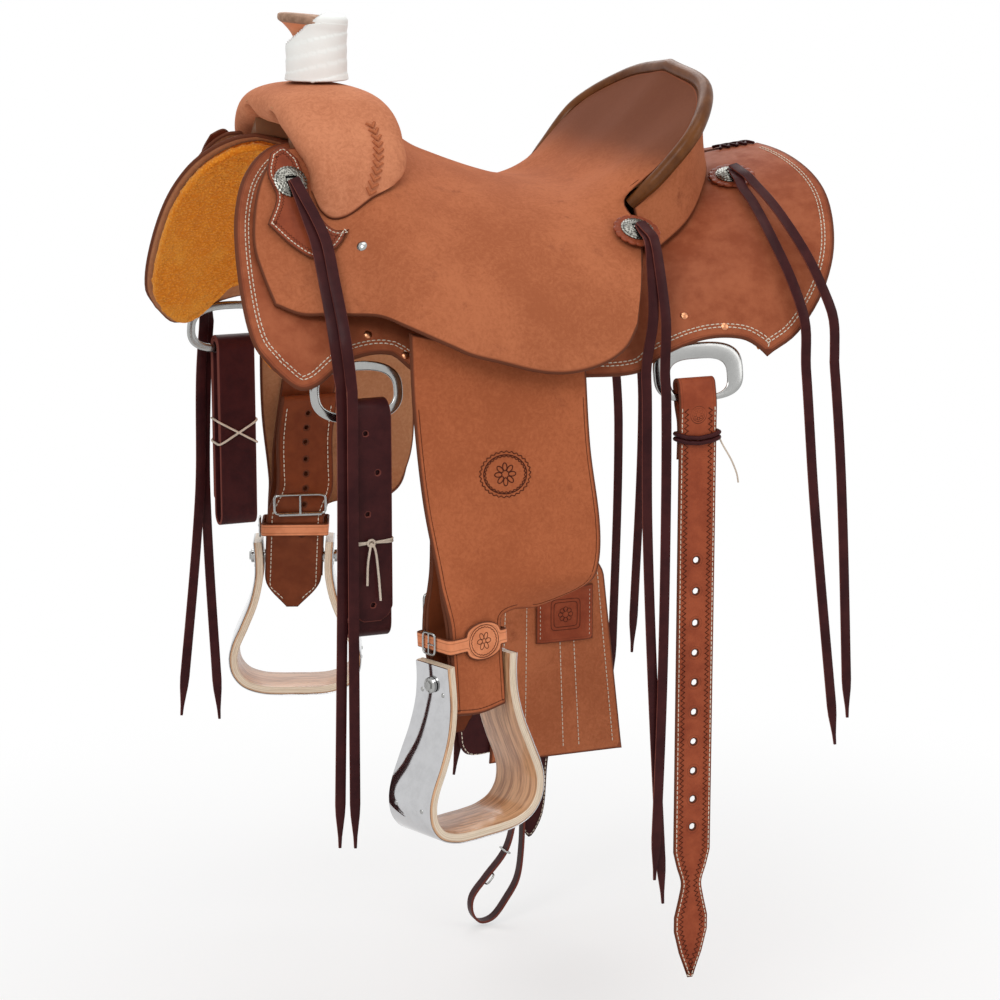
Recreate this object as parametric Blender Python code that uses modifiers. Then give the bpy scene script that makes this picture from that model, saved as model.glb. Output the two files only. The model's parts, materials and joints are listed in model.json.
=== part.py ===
# Western ranch saddle: a wooden tree dressed in leather, with fenders, stirrups, rigging and saddle strings.
# Metres, +Z up. The front is at -X and the near (left) side at -Y. The origin lies in the gullet channel,
# on the ridge of the stand that holds the saddle.
import math

import bpy
import bmesh
from mathutils import Matrix, Vector

# Clearances between pieces that touch on the real saddle
SEAT_GAP = 0.0005
PLY_GAP = 0.0008
BAR_GAP = 0.0022
PACK_GAP = 0.0016

# Leather, wood and fleece thicknesses
SKIRT_THICK = 0.0050
SEAT_THICK = 0.0048
FENDER_THICK = 0.0045
STRAP_THICK = 0.0036
FLEECE_THICK = 0.0140
BAR_EDGE_THICK = 0.0070
CANTLE_THICK = 0.0140
CANTLE_BACK_THICK = 0.0040
COVER_THICK = 0.0035
PATCH_THICK = 0.0030
LACE_THICK = 0.0028

# Skirt surface: for each station along X, the height of the ridge, the slope and the rounding of the side
SKIRT_SPREAD = 0.268
SKIRT_STATIONS = (
    (-0.370, 0.195, 1.10, 0.12),
    (-0.250, 0.150, 0.85, 0.12),
    (-0.120, 0.060, 0.35, 0.16),
    (0.000, 0.017, 0.10, 0.20),
    (0.120, 0.034, 0.06, 0.21),
    (0.220, 0.066, 0.04, 0.22),
    (0.340, 0.083, 0.03, 0.22),
)

# Seat and jockey surface: the same, with a fuller side that stands clear of the fender
SEAT_SPREAD = 0.295
SEAT_FULLNESS = 2.5
SEAT_STATIONS = (
    (-0.345, 0.250, 1.50, 0.060),
    (-0.300, 0.256, 1.45, 0.060),
    (-0.250, 0.215, 1.12, 0.080),
    (-0.200, 0.178, 0.70, 0.115),
    (-0.125, 0.106, 0.32, 0.175),
    (-0.080, 0.083, 0.17, 0.215),
    (0.000, 0.057, 0.02, 0.260),
    (0.070, 0.050, 0.00, 0.265),
    (0.130, 0.050, 0.00, 0.260),
)

# Outlines seen from above, one half, as x and distance from the centre plane
SKIRT_TOP = ((-0.270, 0.054), (-0.150, 0.040), (0.000, 0.034), (0.150, 0.018), (0.250, 0.004), (0.322, 0.003))
SKIRT_FRONT = (
    (-0.270, 0.054), (-0.293, 0.064), (-0.318, 0.082), (-0.338, 0.104), (-0.354, 0.136), (-0.362, 0.180),
    (-0.359, 0.210), (-0.343, 0.226),
)
SKIRT_BOTTOM = (
    (-0.343, 0.226), (-0.320, 0.239), (-0.298, 0.239), (-0.262, 0.229), (-0.215, 0.228), (-0.190, 0.241),
    (0.000, 0.249), (0.060, 0.252), (0.085, 0.248), (0.135, 0.246), (0.180, 0.253), (0.208, 0.2625),
)
FLEECE_BOTTOM = (
    (-0.343, 0.226), (-0.320, 0.230), (-0.298, 0.222), (-0.262, 0.207), (-0.215, 0.208), (-0.190, 0.232),
    (0.000, 0.243), (0.060, 0.245), (0.085, 0.232), (0.135, 0.230), (0.180, 0.238), (0.208, 0.2625),
)
SKIRT_REAR = (
    (0.322, 0.003), (0.331, 0.072), (0.335, 0.130), (0.330, 0.170), (0.312, 0.215), (0.286, 0.242),
    (0.250, 0.2575), (0.208, 0.2625),
)
SEAT_FRONT = ((-0.128, 0.000), (-0.131, 0.050), (-0.138, 0.095), (-0.150, 0.128))
SEAT_SEAM = ((-0.150, 0.128), (-0.156, 0.170), (-0.162, 0.230), (-0.165, 0.284))
SEAT_BOTTOM = ((-0.165, 0.284), (-0.149, 0.286), (-0.072, 0.289), (-0.014, 0.287), (0.030, 0.281), (0.048, 0.272))
JOCKEY_REAR = ((0.079, 0.152), (0.090, 0.176), (0.092, 0.196), (0.073, 0.225), (0.062, 0.252), (0.048, 0.272))
JOCKEY_BAY = (
    (-0.300, 0.098), (-0.278, 0.105), (-0.268, 0.130), (-0.250, 0.152), (-0.215, 0.156), (-0.180, 0.148),
    (-0.150, 0.128),
)
JOCKEY_FRONT = ((-0.300, 0.098), (-0.320, 0.110), (-0.335, 0.132), (-0.341, 0.160), (-0.330, 0.194))
JOCKEY_BOTTOM = (
    (-0.330, 0.194), (-0.313, 0.203), (-0.276, 0.214), (-0.250, 0.225), (-0.228, 0.243), (-0.206, 0.269),
    (-0.181, 0.281), (-0.165, 0.284),
)
SEAT_ROWS = 11
SEAT_COLUMNS = 14
JOCKEY_COLUMNS = 7
SEAM_ROW = 4
RIM_ROW = 7

# Tree bar outline: x, inner edge and outer edge as distances from the centre plane, and thickness
BAR_STATIONS = (
    (-0.268, 0.058, 0.124, 0.012), (-0.240, 0.052, 0.134, 0.012), (-0.200, 0.046, 0.150, 0.013),
    (-0.160, 0.040, 0.185, 0.018), (-0.085, 0.034, 0.185, 0.018), (-0.050, 0.032, 0.160, 0.017),
    (0.000, 0.032, 0.150, 0.015), (0.050, 0.032, 0.150, 0.010), (0.130, 0.034, 0.146, 0.008),
    (0.165, 0.034, 0.122, 0.010), (0.195, 0.036, 0.086, 0.011), (0.214, 0.040, 0.060, 0.011),
)
LEATHER_GROOVE_Y = 0.1800

# Cantle rim, near half from the top to the end beside the jockey: x, distance from the centre plane, z
RIM_POINTS = (
    (0.2098, 0.000, 0.1711),
    (0.2050, 0.100, 0.1545),
    (0.1650, 0.163, 0.1150),
    (0.1240, 0.163, 0.0680),
    (0.0930, 0.149, 0.0350),
)
CANTLE_BASE = ((0.238, 0.000), (0.228, 0.060), (0.205, 0.103), (0.165, 0.145), (0.112, 0.168))
CANTLE_FOOT_LIFT = 0.0050
BINDING_RADIUS = 0.0085
RIM_GAP = 0.0007
SEAT_RIM_GAP = 0.0042
DISH_CENTRE = (0.095, 0.000, 0.060)
DISH_START = 0.58
DISH_POWER = 1.5

# Fork: outer and inner contour across the saddle (y, z, y, z), half depth along X and centre along X
FORK_RINGS = (
    (0.000, 0.1660, 0.000, 0.1200, 0.0600, -0.2220),
    (0.045, 0.1645, 0.030, 0.1185, 0.0610, -0.2215),
    (0.080, 0.1580, 0.052, 0.1130, 0.0620, -0.2200),
    (0.112, 0.1410, 0.072, 0.1060, 0.0620, -0.2180),
    (0.136, 0.1140, 0.088, 0.0960, 0.0590, -0.2165),
    (0.152, 0.0850, 0.100, 0.0850, 0.0490, -0.2140),
    (0.161, 0.0560, 0.108, 0.0720, 0.0340, -0.2290),
)
FORK_SQUARENESS = 2.4
FORK_RING_POINTS = 14
FORK_GAP = 0.0030
FORK_COVER_LIFT = 0.0072
FORK_INSET = 0.0225
JOCKEY_UNDER_FORK_Y = 0.1440

# Horn: turned about an axis that leans back from the vertical
HORN_X = -0.2160
HORN_RINGS = (
    (0.0000, 0.0290, 0.0000), (0.0040, 0.0290, 0.0000), (0.0070, 0.0230, 0.0000), (0.0400, 0.0230, 0.0000),
    (0.0500, 0.0250, -0.0020), (0.0590, 0.0310, -0.0055), (0.0625, 0.0345, -0.0070), (0.0660, 0.0352, -0.0070),
    (0.0695, 0.0340, -0.0070), (0.0710, 0.0280, -0.0070),
)
HORN_STEPS = 20
CAP_TILT = math.radians(6.0)
WRAP_RADIUS = 0.0335
WRAP_THICK = 0.0032
WRAP_LOW = 0.0010
WRAP_FRONT = 0.0430
WRAP_CLIMB = 0.0070
WRAP_REAR = 0.0680

# Fender and stirrup leather: they hang in a plane that leans out by this much for each metre down
FENDER_PLANE_Y = 0.2580
FENDER_PLANE_Z = -0.1350
FENDER_LEAN = 0.16
FENDER_TOP = ((-0.203, -0.074), (-0.100, -0.100), (-0.006, -0.118))
FENDER_FRONT = (
    (-0.203, -0.074), (-0.204, -0.150), (-0.199, -0.250), (-0.186, -0.345), (-0.1855, -0.385), (-0.1855, -0.469),
)
FENDER_REAR = (
    (-0.006, -0.118), (-0.006, -0.205), (0.000, -0.290), (-0.006, -0.335), (-0.024, -0.358), (-0.062, -0.373),
    (-0.094, -0.370), (-0.1120, -0.375), (-0.1145, -0.382), (-0.1145, -0.469),
)
LEATHER_WIDTH = 0.0700
LEATHER_TOP_X = -0.125
LEATHER_FOOT_X = -0.150
LEATHER_BEND_Y = 0.1827
HANGER_Z = -0.0240
STIRRUP_YAW = math.radians(20.0)
TWIST_START_Z = -0.335
TWIST_END_Z = -0.382
BOLT_Z = -0.4370
BOLT_RADIUS = 0.0050
BOLT_SLEEVE_RADIUS = 0.0090
LEATHER_END_TOP_Z = -0.2350
LEATHER_END_TIP_Z = -0.5000

# Stirrup: the outer face of the bent wood, half of it, measured from the bolt
STIRRUP_OUTLINE = (
    (0.0480, 0.022), (0.0465, 0.000), (0.0470, -0.022), (0.0530, -0.050), (0.0650, -0.080), (0.0765, -0.106),
    (0.0800, -0.124), (0.0765, -0.143), (0.0640, -0.158), (0.0430, -0.166), (0.0200, -0.168), (0.0000, -0.168),
)
STIRRUP_WOOD_THICK = 0.0090
STIRRUP_CLAD_THICK = 0.0014
STIRRUP_DEPTH = 0.0680

HOBBLE_HEIGHT = 0.0160
HOBBLE_THICK = 0.0028
HOBBLE_Z = -0.3965
HOBBLE_END_LENGTH = 0.0480
HOBBLE_END_HEIGHT = 0.0400

# Rigging plates: centre x, width, height, the slot's width, height and rise, and the tuck behind the skirt
PLATE_THICK = 0.0040
FRONT_PLATE = (-0.253, 0.1020, 0.0640, 0.0820, 0.0440, 0.0000, 0.0035)
REAR_PLATE = (0.134, 0.1080, 0.0640, 0.0680, 0.0400, 0.0060, 0.0062)
PLATE_LEAN = math.radians(12.0)

LATIGO_WIDTH = 0.0460
LATIGO_TURNS = 3
LATIGO_PITCH = 0.0041
COIL_RADIUS = 0.0093
LATIGO_BOTTOM_Z = -0.3920
OFF_BILLET_WIDTH = 0.0450
OFF_BILLET_TURNS = 2
OFF_BILLET_BOTTOM_Z = -0.3740

REAR_BILLET_WIDTH = 0.0450
REAR_BILLET_TIP_Z = -0.8300
CINCH_TOP_Z = -0.2150
CINCH_THICK = 0.0060
CINCH_LEAN = 0.085
FLANK_BILLET_WIDTH = 0.0450
CINCH_STRAP_WIDTH = 0.0160
CONNECTOR_PIVOT = (0.1240, 0.2433, -0.7750)

CONCHO_RADIUS = 0.0185
CONCHO_RISE = 0.0050
ROSETTE_RADIUS = 0.0265
ROSETTE_THICK = 0.0030
ROSETTE_POINTS = 16
MID_ROSETTE_RISE = 0.0030
STRING_WIDTH = 0.0120

NEAR = -1
OFF = 1


def clear_scene():
    for item in list(bpy.data.objects):
        bpy.data.objects.remove(item, do_unlink=True)


def new_collection(name):
    collection = bpy.data.collections.new(name)
    bpy.context.scene.collection.children.link(collection)
    return collection


def finish_material(name, colour, roughness, metallic=0.0):
    material = bpy.data.materials.get(name)
    if material is None:
        material = bpy.data.materials.new(name)
        material.use_nodes = True
        shader = material.node_tree.nodes["Principled BSDF"]
        shader.inputs["Base Color"].default_value = (*colour, 1.0)
        shader.inputs["Roughness"].default_value = roughness
        shader.inputs["Metallic"].default_value = metallic
    return material


FINISHES = {
    "roughout": ((0.52, 0.25, 0.14), 0.85, 0.0),
    "skirting": ((0.50, 0.22, 0.12), 0.60, 0.0),
    "burgundy": ((0.10, 0.03, 0.03), 0.45, 0.0),
    "binding": ((0.22, 0.11, 0.04), 0.35, 0.0),
    "tooled": ((0.38, 0.13, 0.06), 0.40, 0.0),
    "fleece": ((0.80, 0.42, 0.10), 0.95, 0.0),
    "wood": ((0.70, 0.52, 0.32), 0.55, 0.0),
    "wrap": ((0.85, 0.87, 0.85), 0.60, 0.0),
    "steel": ((0.62, 0.63, 0.64), 0.25, 1.0),
    "rawhide": ((0.72, 0.62, 0.45), 0.60, 0.0),
}


def keep(obj, finish):
    # Puts a finished object in the saddle's collection with its own material
    colour, roughness, metallic = FINISHES[finish]
    obj.data.materials.clear()
    obj.data.materials.append(finish_material(obj.name + "_" + finish, colour, roughness, metallic))
    for owner in list(obj.users_collection):
        owner.objects.unlink(obj)
    SADDLE.objects.link(obj)
    return obj


def mesh_object(name, points, faces):
    mesh = bpy.data.meshes.new(name)
    mesh.from_pydata([tuple(p) for p in points], [], faces)
    mesh.update()
    obj = bpy.data.objects.new(name, mesh)
    bpy.context.scene.collection.objects.link(obj)
    return obj


def smooth(obj, angle=35.0):
    obj.data.shade_smooth()
    obj.data.set_sharp_from_angle(angle=math.radians(angle))
    return obj


def curve_through(points, count):
    # Points at even steps along a smooth line through the given points
    points = [Vector(p) for p in points]
    fine = []
    for i in range(len(points) - 1):
        before = points[max(i - 1, 0)]
        low = points[i]
        high = points[i + 1]
        after = points[min(i + 2, len(points) - 1)]
        gap_before = max((low - before).length, 1e-6)
        gap = (high - low).length
        gap_after = max((after - high).length, 1e-6)
        slope_low = (high - before) / (gap + gap_before) * gap
        slope_high = (after - low) / (gap + gap_after) * gap
        if i == 0:
            slope_low = high - low
        if i == len(points) - 2:
            slope_high = high - low
        for k in range(12):
            t = k / 12
            fine.append(
                low * (2 * t ** 3 - 3 * t ** 2 + 1)
                + slope_low * (t ** 3 - 2 * t ** 2 + t)
                + high * (-2 * t ** 3 + 3 * t ** 2)
                + slope_high * (t ** 3 - t ** 2)
            )
    fine.append(points[-1])
    return even_steps(fine, count)


def even_steps(points, count):
    # Resamples a line of points to an even number of steps
    lengths = [0.0]
    for a, b in zip(points, points[1:]):
        lengths.append(lengths[-1] + (b - a).length)
    result = []
    k = 0
    for i in range(count):
        target = lengths[-1] * i / (count - 1)
        while k < len(lengths) - 2 and lengths[k + 1] < target:
            k += 1
        share = (target - lengths[k]) / max(lengths[k + 1] - lengths[k], 1e-9)
        result.append(points[k].lerp(points[k + 1], min(max(share, 0.0), 1.0)))
    return result


def follow(stations, x, column):
    # Smooth value of one column of a station table at x, held level past both ends
    if x <= stations[0][0]:
        return stations[0][column]
    if x >= stations[-1][0]:
        return stations[-1][column]
    i = 0
    while stations[i + 1][0] < x:
        i += 1
    before = stations[max(i - 1, 0)]
    low = stations[i]
    high = stations[i + 1]
    after = stations[min(i + 2, len(stations) - 1)]
    span = high[0] - low[0]
    t = (x - low[0]) / span
    slope_low = (high[column] - before[column]) / (high[0] - before[0]) * span
    slope_high = (after[column] - low[column]) / (after[0] - low[0]) * span
    start = (2 * t ** 3 - 3 * t ** 2 + 1) * low[column] + (t ** 3 - 2 * t ** 2 + t) * slope_low
    end = (-2 * t ** 3 + 3 * t ** 2) * high[column] + (t ** 3 - t ** 2) * slope_high
    return start + end


def skirt_height(x, y):
    # Outer face of the skirt
    part = min(abs(y) / SKIRT_SPREAD, 0.999)
    drop = 1 - math.sqrt(1 - part ** 2)
    ridge = follow(SKIRT_STATIONS, x, 1)
    slope = follow(SKIRT_STATIONS, x, 2)
    return ridge - slope * abs(y) - follow(SKIRT_STATIONS, x, 3) * drop


def seat_height(x, y):
    # Outer face of the seat and its jockeys, without the dish of the cantle
    part = min(abs(y) / SEAT_SPREAD, 0.999)
    drop = 1 - (1 - part ** SEAT_FULLNESS) ** (1 / SEAT_FULLNESS)
    ridge = follow(SEAT_STATIONS, x, 1)
    slope = follow(SEAT_STATIONS, x, 2)
    return ridge - slope * abs(y) - follow(SEAT_STATIONS, x, 3) * drop


def surface_normal(height, x, y):
    step = 0.002
    dx = (height(x + step, y) - height(x - step, y)) / (2 * step)
    dy = (height(x, y + step) - height(x, y - step)) / (2 * step)
    return Vector((-dx, -dy, 1.0)).normalized()


def on_surface(height, x, y, lift=0.0):
    # A point of a surface, moved off it along the surface's normal
    return Vector((x, y, height(x, y))) + surface_normal(height, x, y) * lift


def coons(left, right, top, bottom, columns, rows):
    # Grid of plan points between four smooth sides
    return between_sides(
        curve_through(left, rows + 1), curve_through(right, rows + 1), curve_through(top, columns + 1),
        curve_through(bottom, columns + 1),
    )


def between_sides(left, right, top, bottom):
    # Grid between four lines of points; columns run from left to right and rows from top to bottom
    rows = len(left) - 1
    columns = len(top) - 1
    grid = []
    for j in range(rows + 1):
        v = j / rows
        line = []
        for i in range(columns + 1):
            u = i / columns
            across = left[j] * (1 - u) + right[j] * u
            down = top[i] * (1 - v) + bottom[i] * v
            corners = (top[0] * (1 - u) + top[-1] * u) * (1 - v) + (bottom[0] * (1 - u) + bottom[-1] * u) * v
            line.append(across + down - corners)
        grid.append(line)
    return grid


def flat(points):
    return [(p[0], p[1], 0.0) for p in points]


def sheet(name, grid, thickness, offset=-1.0, close_rows=False, skip=None):
    # An open grid of points given thickness; the grid's own face looks outwards
    rows = len(grid)
    columns = len(grid[0])
    faces = []
    for j in range(rows if close_rows else rows - 1):
        k = (j + 1) % rows
        for i in range(columns - 1):
            if skip is None or not skip(j, i):
                faces.append((j * columns + i, j * columns + i + 1, k * columns + i + 1, k * columns + i))
    used = sorted({corner for face in faces for corner in face})
    place = {corner: number for number, corner in enumerate(used)}
    points = [p for line in grid for p in line]
    points = [points[corner] for corner in used]
    obj = mesh_object(name, points, [tuple(place[corner] for corner in face) for face in faces])
    thicken = obj.modifiers.new("Thickness", "SOLIDIFY")
    thicken.thickness = thickness
    thicken.offset = offset
    return smooth(obj)


def between(thickness, depth):
    # Solidify offset that puts the outer face at this depth below the surface it is made from
    return -2.0 * depth / thickness - 1.0


def sided(grid, side):
    # The same grid on the near or the off side, with its faces still looking outwards
    if side == OFF:
        return [list(line) for line in grid]
    return [[Vector((p[0], -p[1], p[2])) for p in reversed(line)] for line in grid]


def closed_loft(name, rings):
    # Rings of equal count joined in order, with both ends closed
    count = len(rings[0])
    points = [p for ring in rings for p in ring]
    faces = []
    for j in range(len(rings) - 1):
        for i in range(count):
            k = (i + 1) % count
            faces.append((j * count + i, j * count + k, (j + 1) * count + k, (j + 1) * count + i))
    faces.append(tuple(reversed(range(count))))
    last = (len(rings) - 1) * count
    faces.append(tuple(last + i for i in range(count)))
    obj = mesh_object(name, points, faces)
    outward(obj)
    return smooth(obj)


def outward(obj):
    # Turns every face of a closed mesh outwards
    work = bmesh.new()
    work.from_mesh(obj.data)
    bmesh.ops.recalc_face_normals(work, faces=work.faces)
    if work.calc_volume(signed=True) < 0.0:
        bmesh.ops.reverse_faces(work, faces=work.faces)
    work.to_mesh(obj.data)
    work.free()


def slab(name, upper, lower):
    # A closed solid between an upper and a lower grid of the same size
    rows = len(upper)
    columns = len(upper[0])
    count = rows * columns
    points = [p for line in upper for p in line] + [p for line in lower for p in line]
    faces = []
    for j in range(rows - 1):
        for i in range(columns - 1):
            a = j * columns + i
            faces.append((a, a + 1, a + columns + 1, a + columns))
            faces.append((count + a, count + a + columns, count + a + columns + 1, count + a + 1))
    edge = [i for i in range(columns)]
    edge += [j * columns + columns - 1 for j in range(1, rows)]
    edge += [(rows - 1) * columns + i for i in range(columns - 2, -1, -1)]
    edge += [j * columns for j in range(rows - 2, 0, -1)]
    for a, b in zip(edge, edge[1:] + edge[:1]):
        faces.append((a, b, count + b, count + a))
    obj = mesh_object(name, points, faces)
    outward(obj)
    return smooth(obj)


def outline_curve(name, outlines, half_thickness, bevel=0.0):
    # A flat plate from closed outlines in its own XY plane; inner outlines are holes
    curve = bpy.data.curves.new(name, "CURVE")
    curve.dimensions = "2D"
    curve.fill_mode = "BOTH"
    curve.extrude = half_thickness - bevel
    curve.bevel_depth = bevel
    curve.bevel_resolution = 0
    for outline in outlines:
        spline = curve.splines.new("POLY")
        spline.points.add(len(outline) - 1)
        for point, place in zip(spline.points, outline):
            point.co = (place[0], place[1], 0.0, 1.0)
        spline.use_cyclic_u = True
    obj = bpy.data.objects.new(name, curve)
    bpy.context.scene.collection.objects.link(obj)
    return obj


def to_mesh(obj):
    # Turns a curve object into a welded mesh object of the same name
    bpy.context.view_layer.update()
    graph = bpy.context.evaluated_depsgraph_get()
    mesh = bpy.data.meshes.new_from_object(obj.evaluated_get(graph))
    work = bmesh.new()
    work.from_mesh(mesh)
    bmesh.ops.remove_doubles(work, verts=work.verts, dist=0.00001)
    bmesh.ops.recalc_face_normals(work, faces=work.faces)
    work.to_mesh(mesh)
    work.free()
    name = obj.name
    place = obj.matrix_world.copy()
    bpy.data.objects.remove(obj, do_unlink=True)
    made = bpy.data.objects.new(name, mesh)
    made.matrix_world = place
    bpy.context.scene.collection.objects.link(made)
    return made


def turned(name, profile, steps=32, ring=False):
    # A turned solid: the profile runs down its outer side, from the axis at the top to the axis at the bottom,
    # or back up its inner side to where it began for a ring
    mesh = bpy.data.meshes.new(name)
    edges = [(i, i + 1) for i in range(len(profile) - 1)]
    if ring:
        edges.append((len(profile) - 1, 0))
    mesh.from_pydata([(r, 0.0, z) for r, z in profile], edges, [])
    obj = bpy.data.objects.new(name, mesh)
    bpy.context.scene.collection.objects.link(obj)
    lathe = obj.modifiers.new("Lathe", "SCREW")
    lathe.steps = steps
    lathe.render_steps = steps
    lathe.use_merge_vertices = True
    lathe.merge_threshold = 0.00005
    return obj


def cut(obj, cutter):
    CUTTERS.objects.link(cutter)
    bpy.context.scene.collection.objects.unlink(cutter)
    cutter.hide_render = True
    cutter.display_type = "WIRE"
    hole = obj.modifiers.new("Cut", "BOOLEAN")
    hole.operation = "DIFFERENCE"
    hole.solver = "EXACT"
    hole.object = cutter
    return obj


def rod_cutter(name, radius, length, place):
    work = bmesh.new()
    bmesh.ops.create_cone(work, cap_ends=True, segments=20, radius1=radius, radius2=radius, depth=length)
    mesh = bpy.data.meshes.new(name)
    work.to_mesh(mesh)
    work.free()
    obj = bpy.data.objects.new(name, mesh)
    obj.matrix_world = place
    bpy.context.scene.collection.objects.link(obj)
    return obj


def oval(width, height, count, rise=0.0, squareness=2.3):
    points = []
    for i in range(count):
        angle = 2 * math.pi * i / count
        c = math.cos(angle)
        s = math.sin(angle)
        x = width / 2 * math.copysign(abs(c) ** (2 / squareness), c)
        y = height / 2 * math.copysign(abs(s) ** (2 / squareness), s)
        points.append((x, y + rise))
    return points


def frame_matrix(origin, x_axis, normal):
    # Placement whose Z is the normal and whose X is as near as it can be to x_axis
    z_axis = Vector(normal).normalized()
    x_axis = Vector(x_axis)
    x_axis = (x_axis - z_axis * x_axis.dot(z_axis)).normalized()
    y_axis = z_axis.cross(x_axis)
    turn = Matrix((x_axis, y_axis, z_axis)).transposed().to_4x4()
    return Matrix.Translation(origin) @ turn


def skirt_grid(columns, rows, bottom, inset=0.0):
    grid = coons(flat(SKIRT_FRONT), flat(SKIRT_REAR), flat(SKIRT_TOP), flat(bottom), columns, rows)
    middle = Vector((0.0, 0.140, 0.0))
    result = []
    for line in grid:
        row = []
        for p in line:
            p = p - (p - middle).normalized() * inset
            row.append(Vector((p.x, p.y, skirt_height(p.x, p.y))))
        result.append(row)
    return result


def make_skirts():
    for side, word in ((NEAR, "near"), (OFF, "off")):
        grid = sided(skirt_grid(16, 7, SKIRT_BOTTOM), side)
        keep(sheet("skirt_" + word, grid, SKIRT_THICK), "skirting")
        depth = SKIRT_THICK + BAR_GAP
        grid = sided(skirt_grid(16, 7, FLEECE_BOTTOM, 0.006), side)
        keep(sheet("fleece_" + word, grid, FLEECE_THICK, between(FLEECE_THICK, depth)), "fleece")


def secant(height, x, y):
    return 1.0 / surface_normal(height, x, y).z


def bar_top(x, y):
    # Upper face of a tree bar, feathered towards its outer edge
    inner = follow(BAR_STATIONS, x, 1)
    outer = follow(BAR_STATIONS, x, 2)
    full = follow(BAR_STATIONS, x, 3)
    across = min(max((abs(y) - inner) / (outer - inner), 0.0), 1.0)
    fade = max(across - 0.45, 0.0) / 0.55
    thick = full + (min(BAR_EDGE_THICK, full) - full) * fade ** 2
    return skirt_height(x, y) + (BAR_GAP + thick) * secant(skirt_height, x, y)


def bar_grid(columns, rows):
    first = BAR_STATIONS[0][0]
    last = BAR_STATIONS[-1][0]
    upper = []
    lower = []
    for j in range(rows + 1):
        top_line = []
        low_line = []
        for i in range(columns + 1):
            x = first + (last - first) * i / columns
            inner = follow(BAR_STATIONS, x, 1)
            outer = min(follow(BAR_STATIONS, x, 2), LEATHER_GROOVE_Y)
            y = inner + (outer - inner) * j / rows
            top_line.append(Vector((x, y, bar_top(x, y))))
            rest = skirt_height(x, y) + BAR_GAP * secant(skirt_height, x, y)
            low_line.append(Vector((x, y, rest)))
        upper.append(top_line)
        lower.append(low_line)
    return upper, lower


def make_bars():
    upper, lower = bar_grid(14, 4)
    for side, word in ((NEAR, "near"), (OFF, "off")):
        bar = slab("tree_bar_" + word, sided(upper, side), sided(lower, side))
        keep(bar, "rawhide")


def rim_half(count):
    return curve_through([Vector(p) for p in RIM_POINTS], count)


def beside_rim(count, target, distance):
    # Points beside the cantle's rim, square to it on the side of the target
    line = rim_half(count)
    points = []
    for k, p in enumerate(line):
        along = line[min(k + 1, count - 1)] - line[max(k - 1, 0)]
        if k == 0:
            along = Vector((0.0, 1.0, 0.0))
        along.normalize()
        towards = (target[k] if isinstance(target, list) else Vector(target)) - p
        towards -= along * towards.dot(along)
        points.append(p + towards.normalized() * distance)
    return points


def seat_half():
    # Half of the seat behind the fork, with the dish raised to the cantle rim, and half of the front jockey
    edge = beside_rim(RIM_ROW + 1, DISH_CENTRE, BINDING_RADIUS + RIM_GAP)
    seam = curve_through(flat(SEAT_SEAM), SEAT_ROWS - SEAM_ROW + 1)
    seat = seat_behind_fork(edge, seam)
    # Second pass: the leather's mid thickness aims at the middle of the binding
    rim = rim_half(RIM_ROW + 1)
    target = [seat[j][SEAT_COLUMNS - 2] for j in range(RIM_ROW + 1)]
    edge = beside_rim(RIM_ROW + 1, target, BINDING_RADIUS + SEAT_RIM_GAP)
    raised = []
    for k, p in enumerate(edge):
        along = (rim[min(k + 1, RIM_ROW)] - rim[max(k - 1, 0)]).normalized()
        normal = (p - rim[k]).cross(along).normalized()
        if normal.z < 0:
            normal = -normal
        away = 0.0030 if k >= RIM_ROW - 2 else 0.0
        raised.append(p + normal * SEAT_THICK / 2 + (p - rim[k]).normalized() * away)
    seat = seat_behind_fork(raised, seam)
    rows = SEAT_ROWS - SEAM_ROW
    lobe = between_sides(
        curve_through(flat(JOCKEY_FRONT), rows + 1), seam, curve_through(flat(JOCKEY_BAY), JOCKEY_COLUMNS + 1),
        curve_through(flat(JOCKEY_BOTTOM), JOCKEY_COLUMNS + 1),
    )
    lobe = [[Vector((p.x, p.y, seat_height(p.x, p.y))) for p in line] for line in lobe]
    return seat, lobe


def seat_behind_fork(edge, seam):
    jockey = [edge[-1]] + [Vector((x, y, seat_height(x, y))) for x, y in JOCKEY_REAR]
    right = edge + curve_through(jockey, SEAT_ROWS - RIM_ROW + 1)[1:]
    front = curve_through(flat(SEAT_FRONT), SEAM_ROW + 1)
    top = curve_through([(SEAT_FRONT[0][0], 0.0, 0.0), (right[0].x, 0.0, 0.0)], SEAT_COLUMNS + 1)
    bottom = curve_through(flat(SEAT_BOTTOM), SEAT_COLUMNS + 1)
    plan_right = [Vector((p.x, p.y, 0.0)) for p in right]
    plan = between_sides(front + seam[1:], plan_right, top, bottom)
    seat = []
    for j, line in enumerate(plan):
        lift = right[j].z - seat_height(right[j].x, right[j].y) if j <= RIM_ROW else 0.0
        row = []
        for i, p in enumerate(line):
            share = max(i / SEAT_COLUMNS - DISH_START, 0.0) / (1.0 - DISH_START)
            row.append(Vector((p.x, p.y, seat_height(p.x, p.y) + lift * share ** DISH_POWER)))
        seat.append(row)
    return seat


def whole_from_half(half):
    # Joins a half grid with its mirror image across the centre plane
    near_rows = [[Vector((p.x, -p.y, p.z)) for p in line] for line in reversed(half[1:])]
    return near_rows + [list(line) for line in half]


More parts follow.
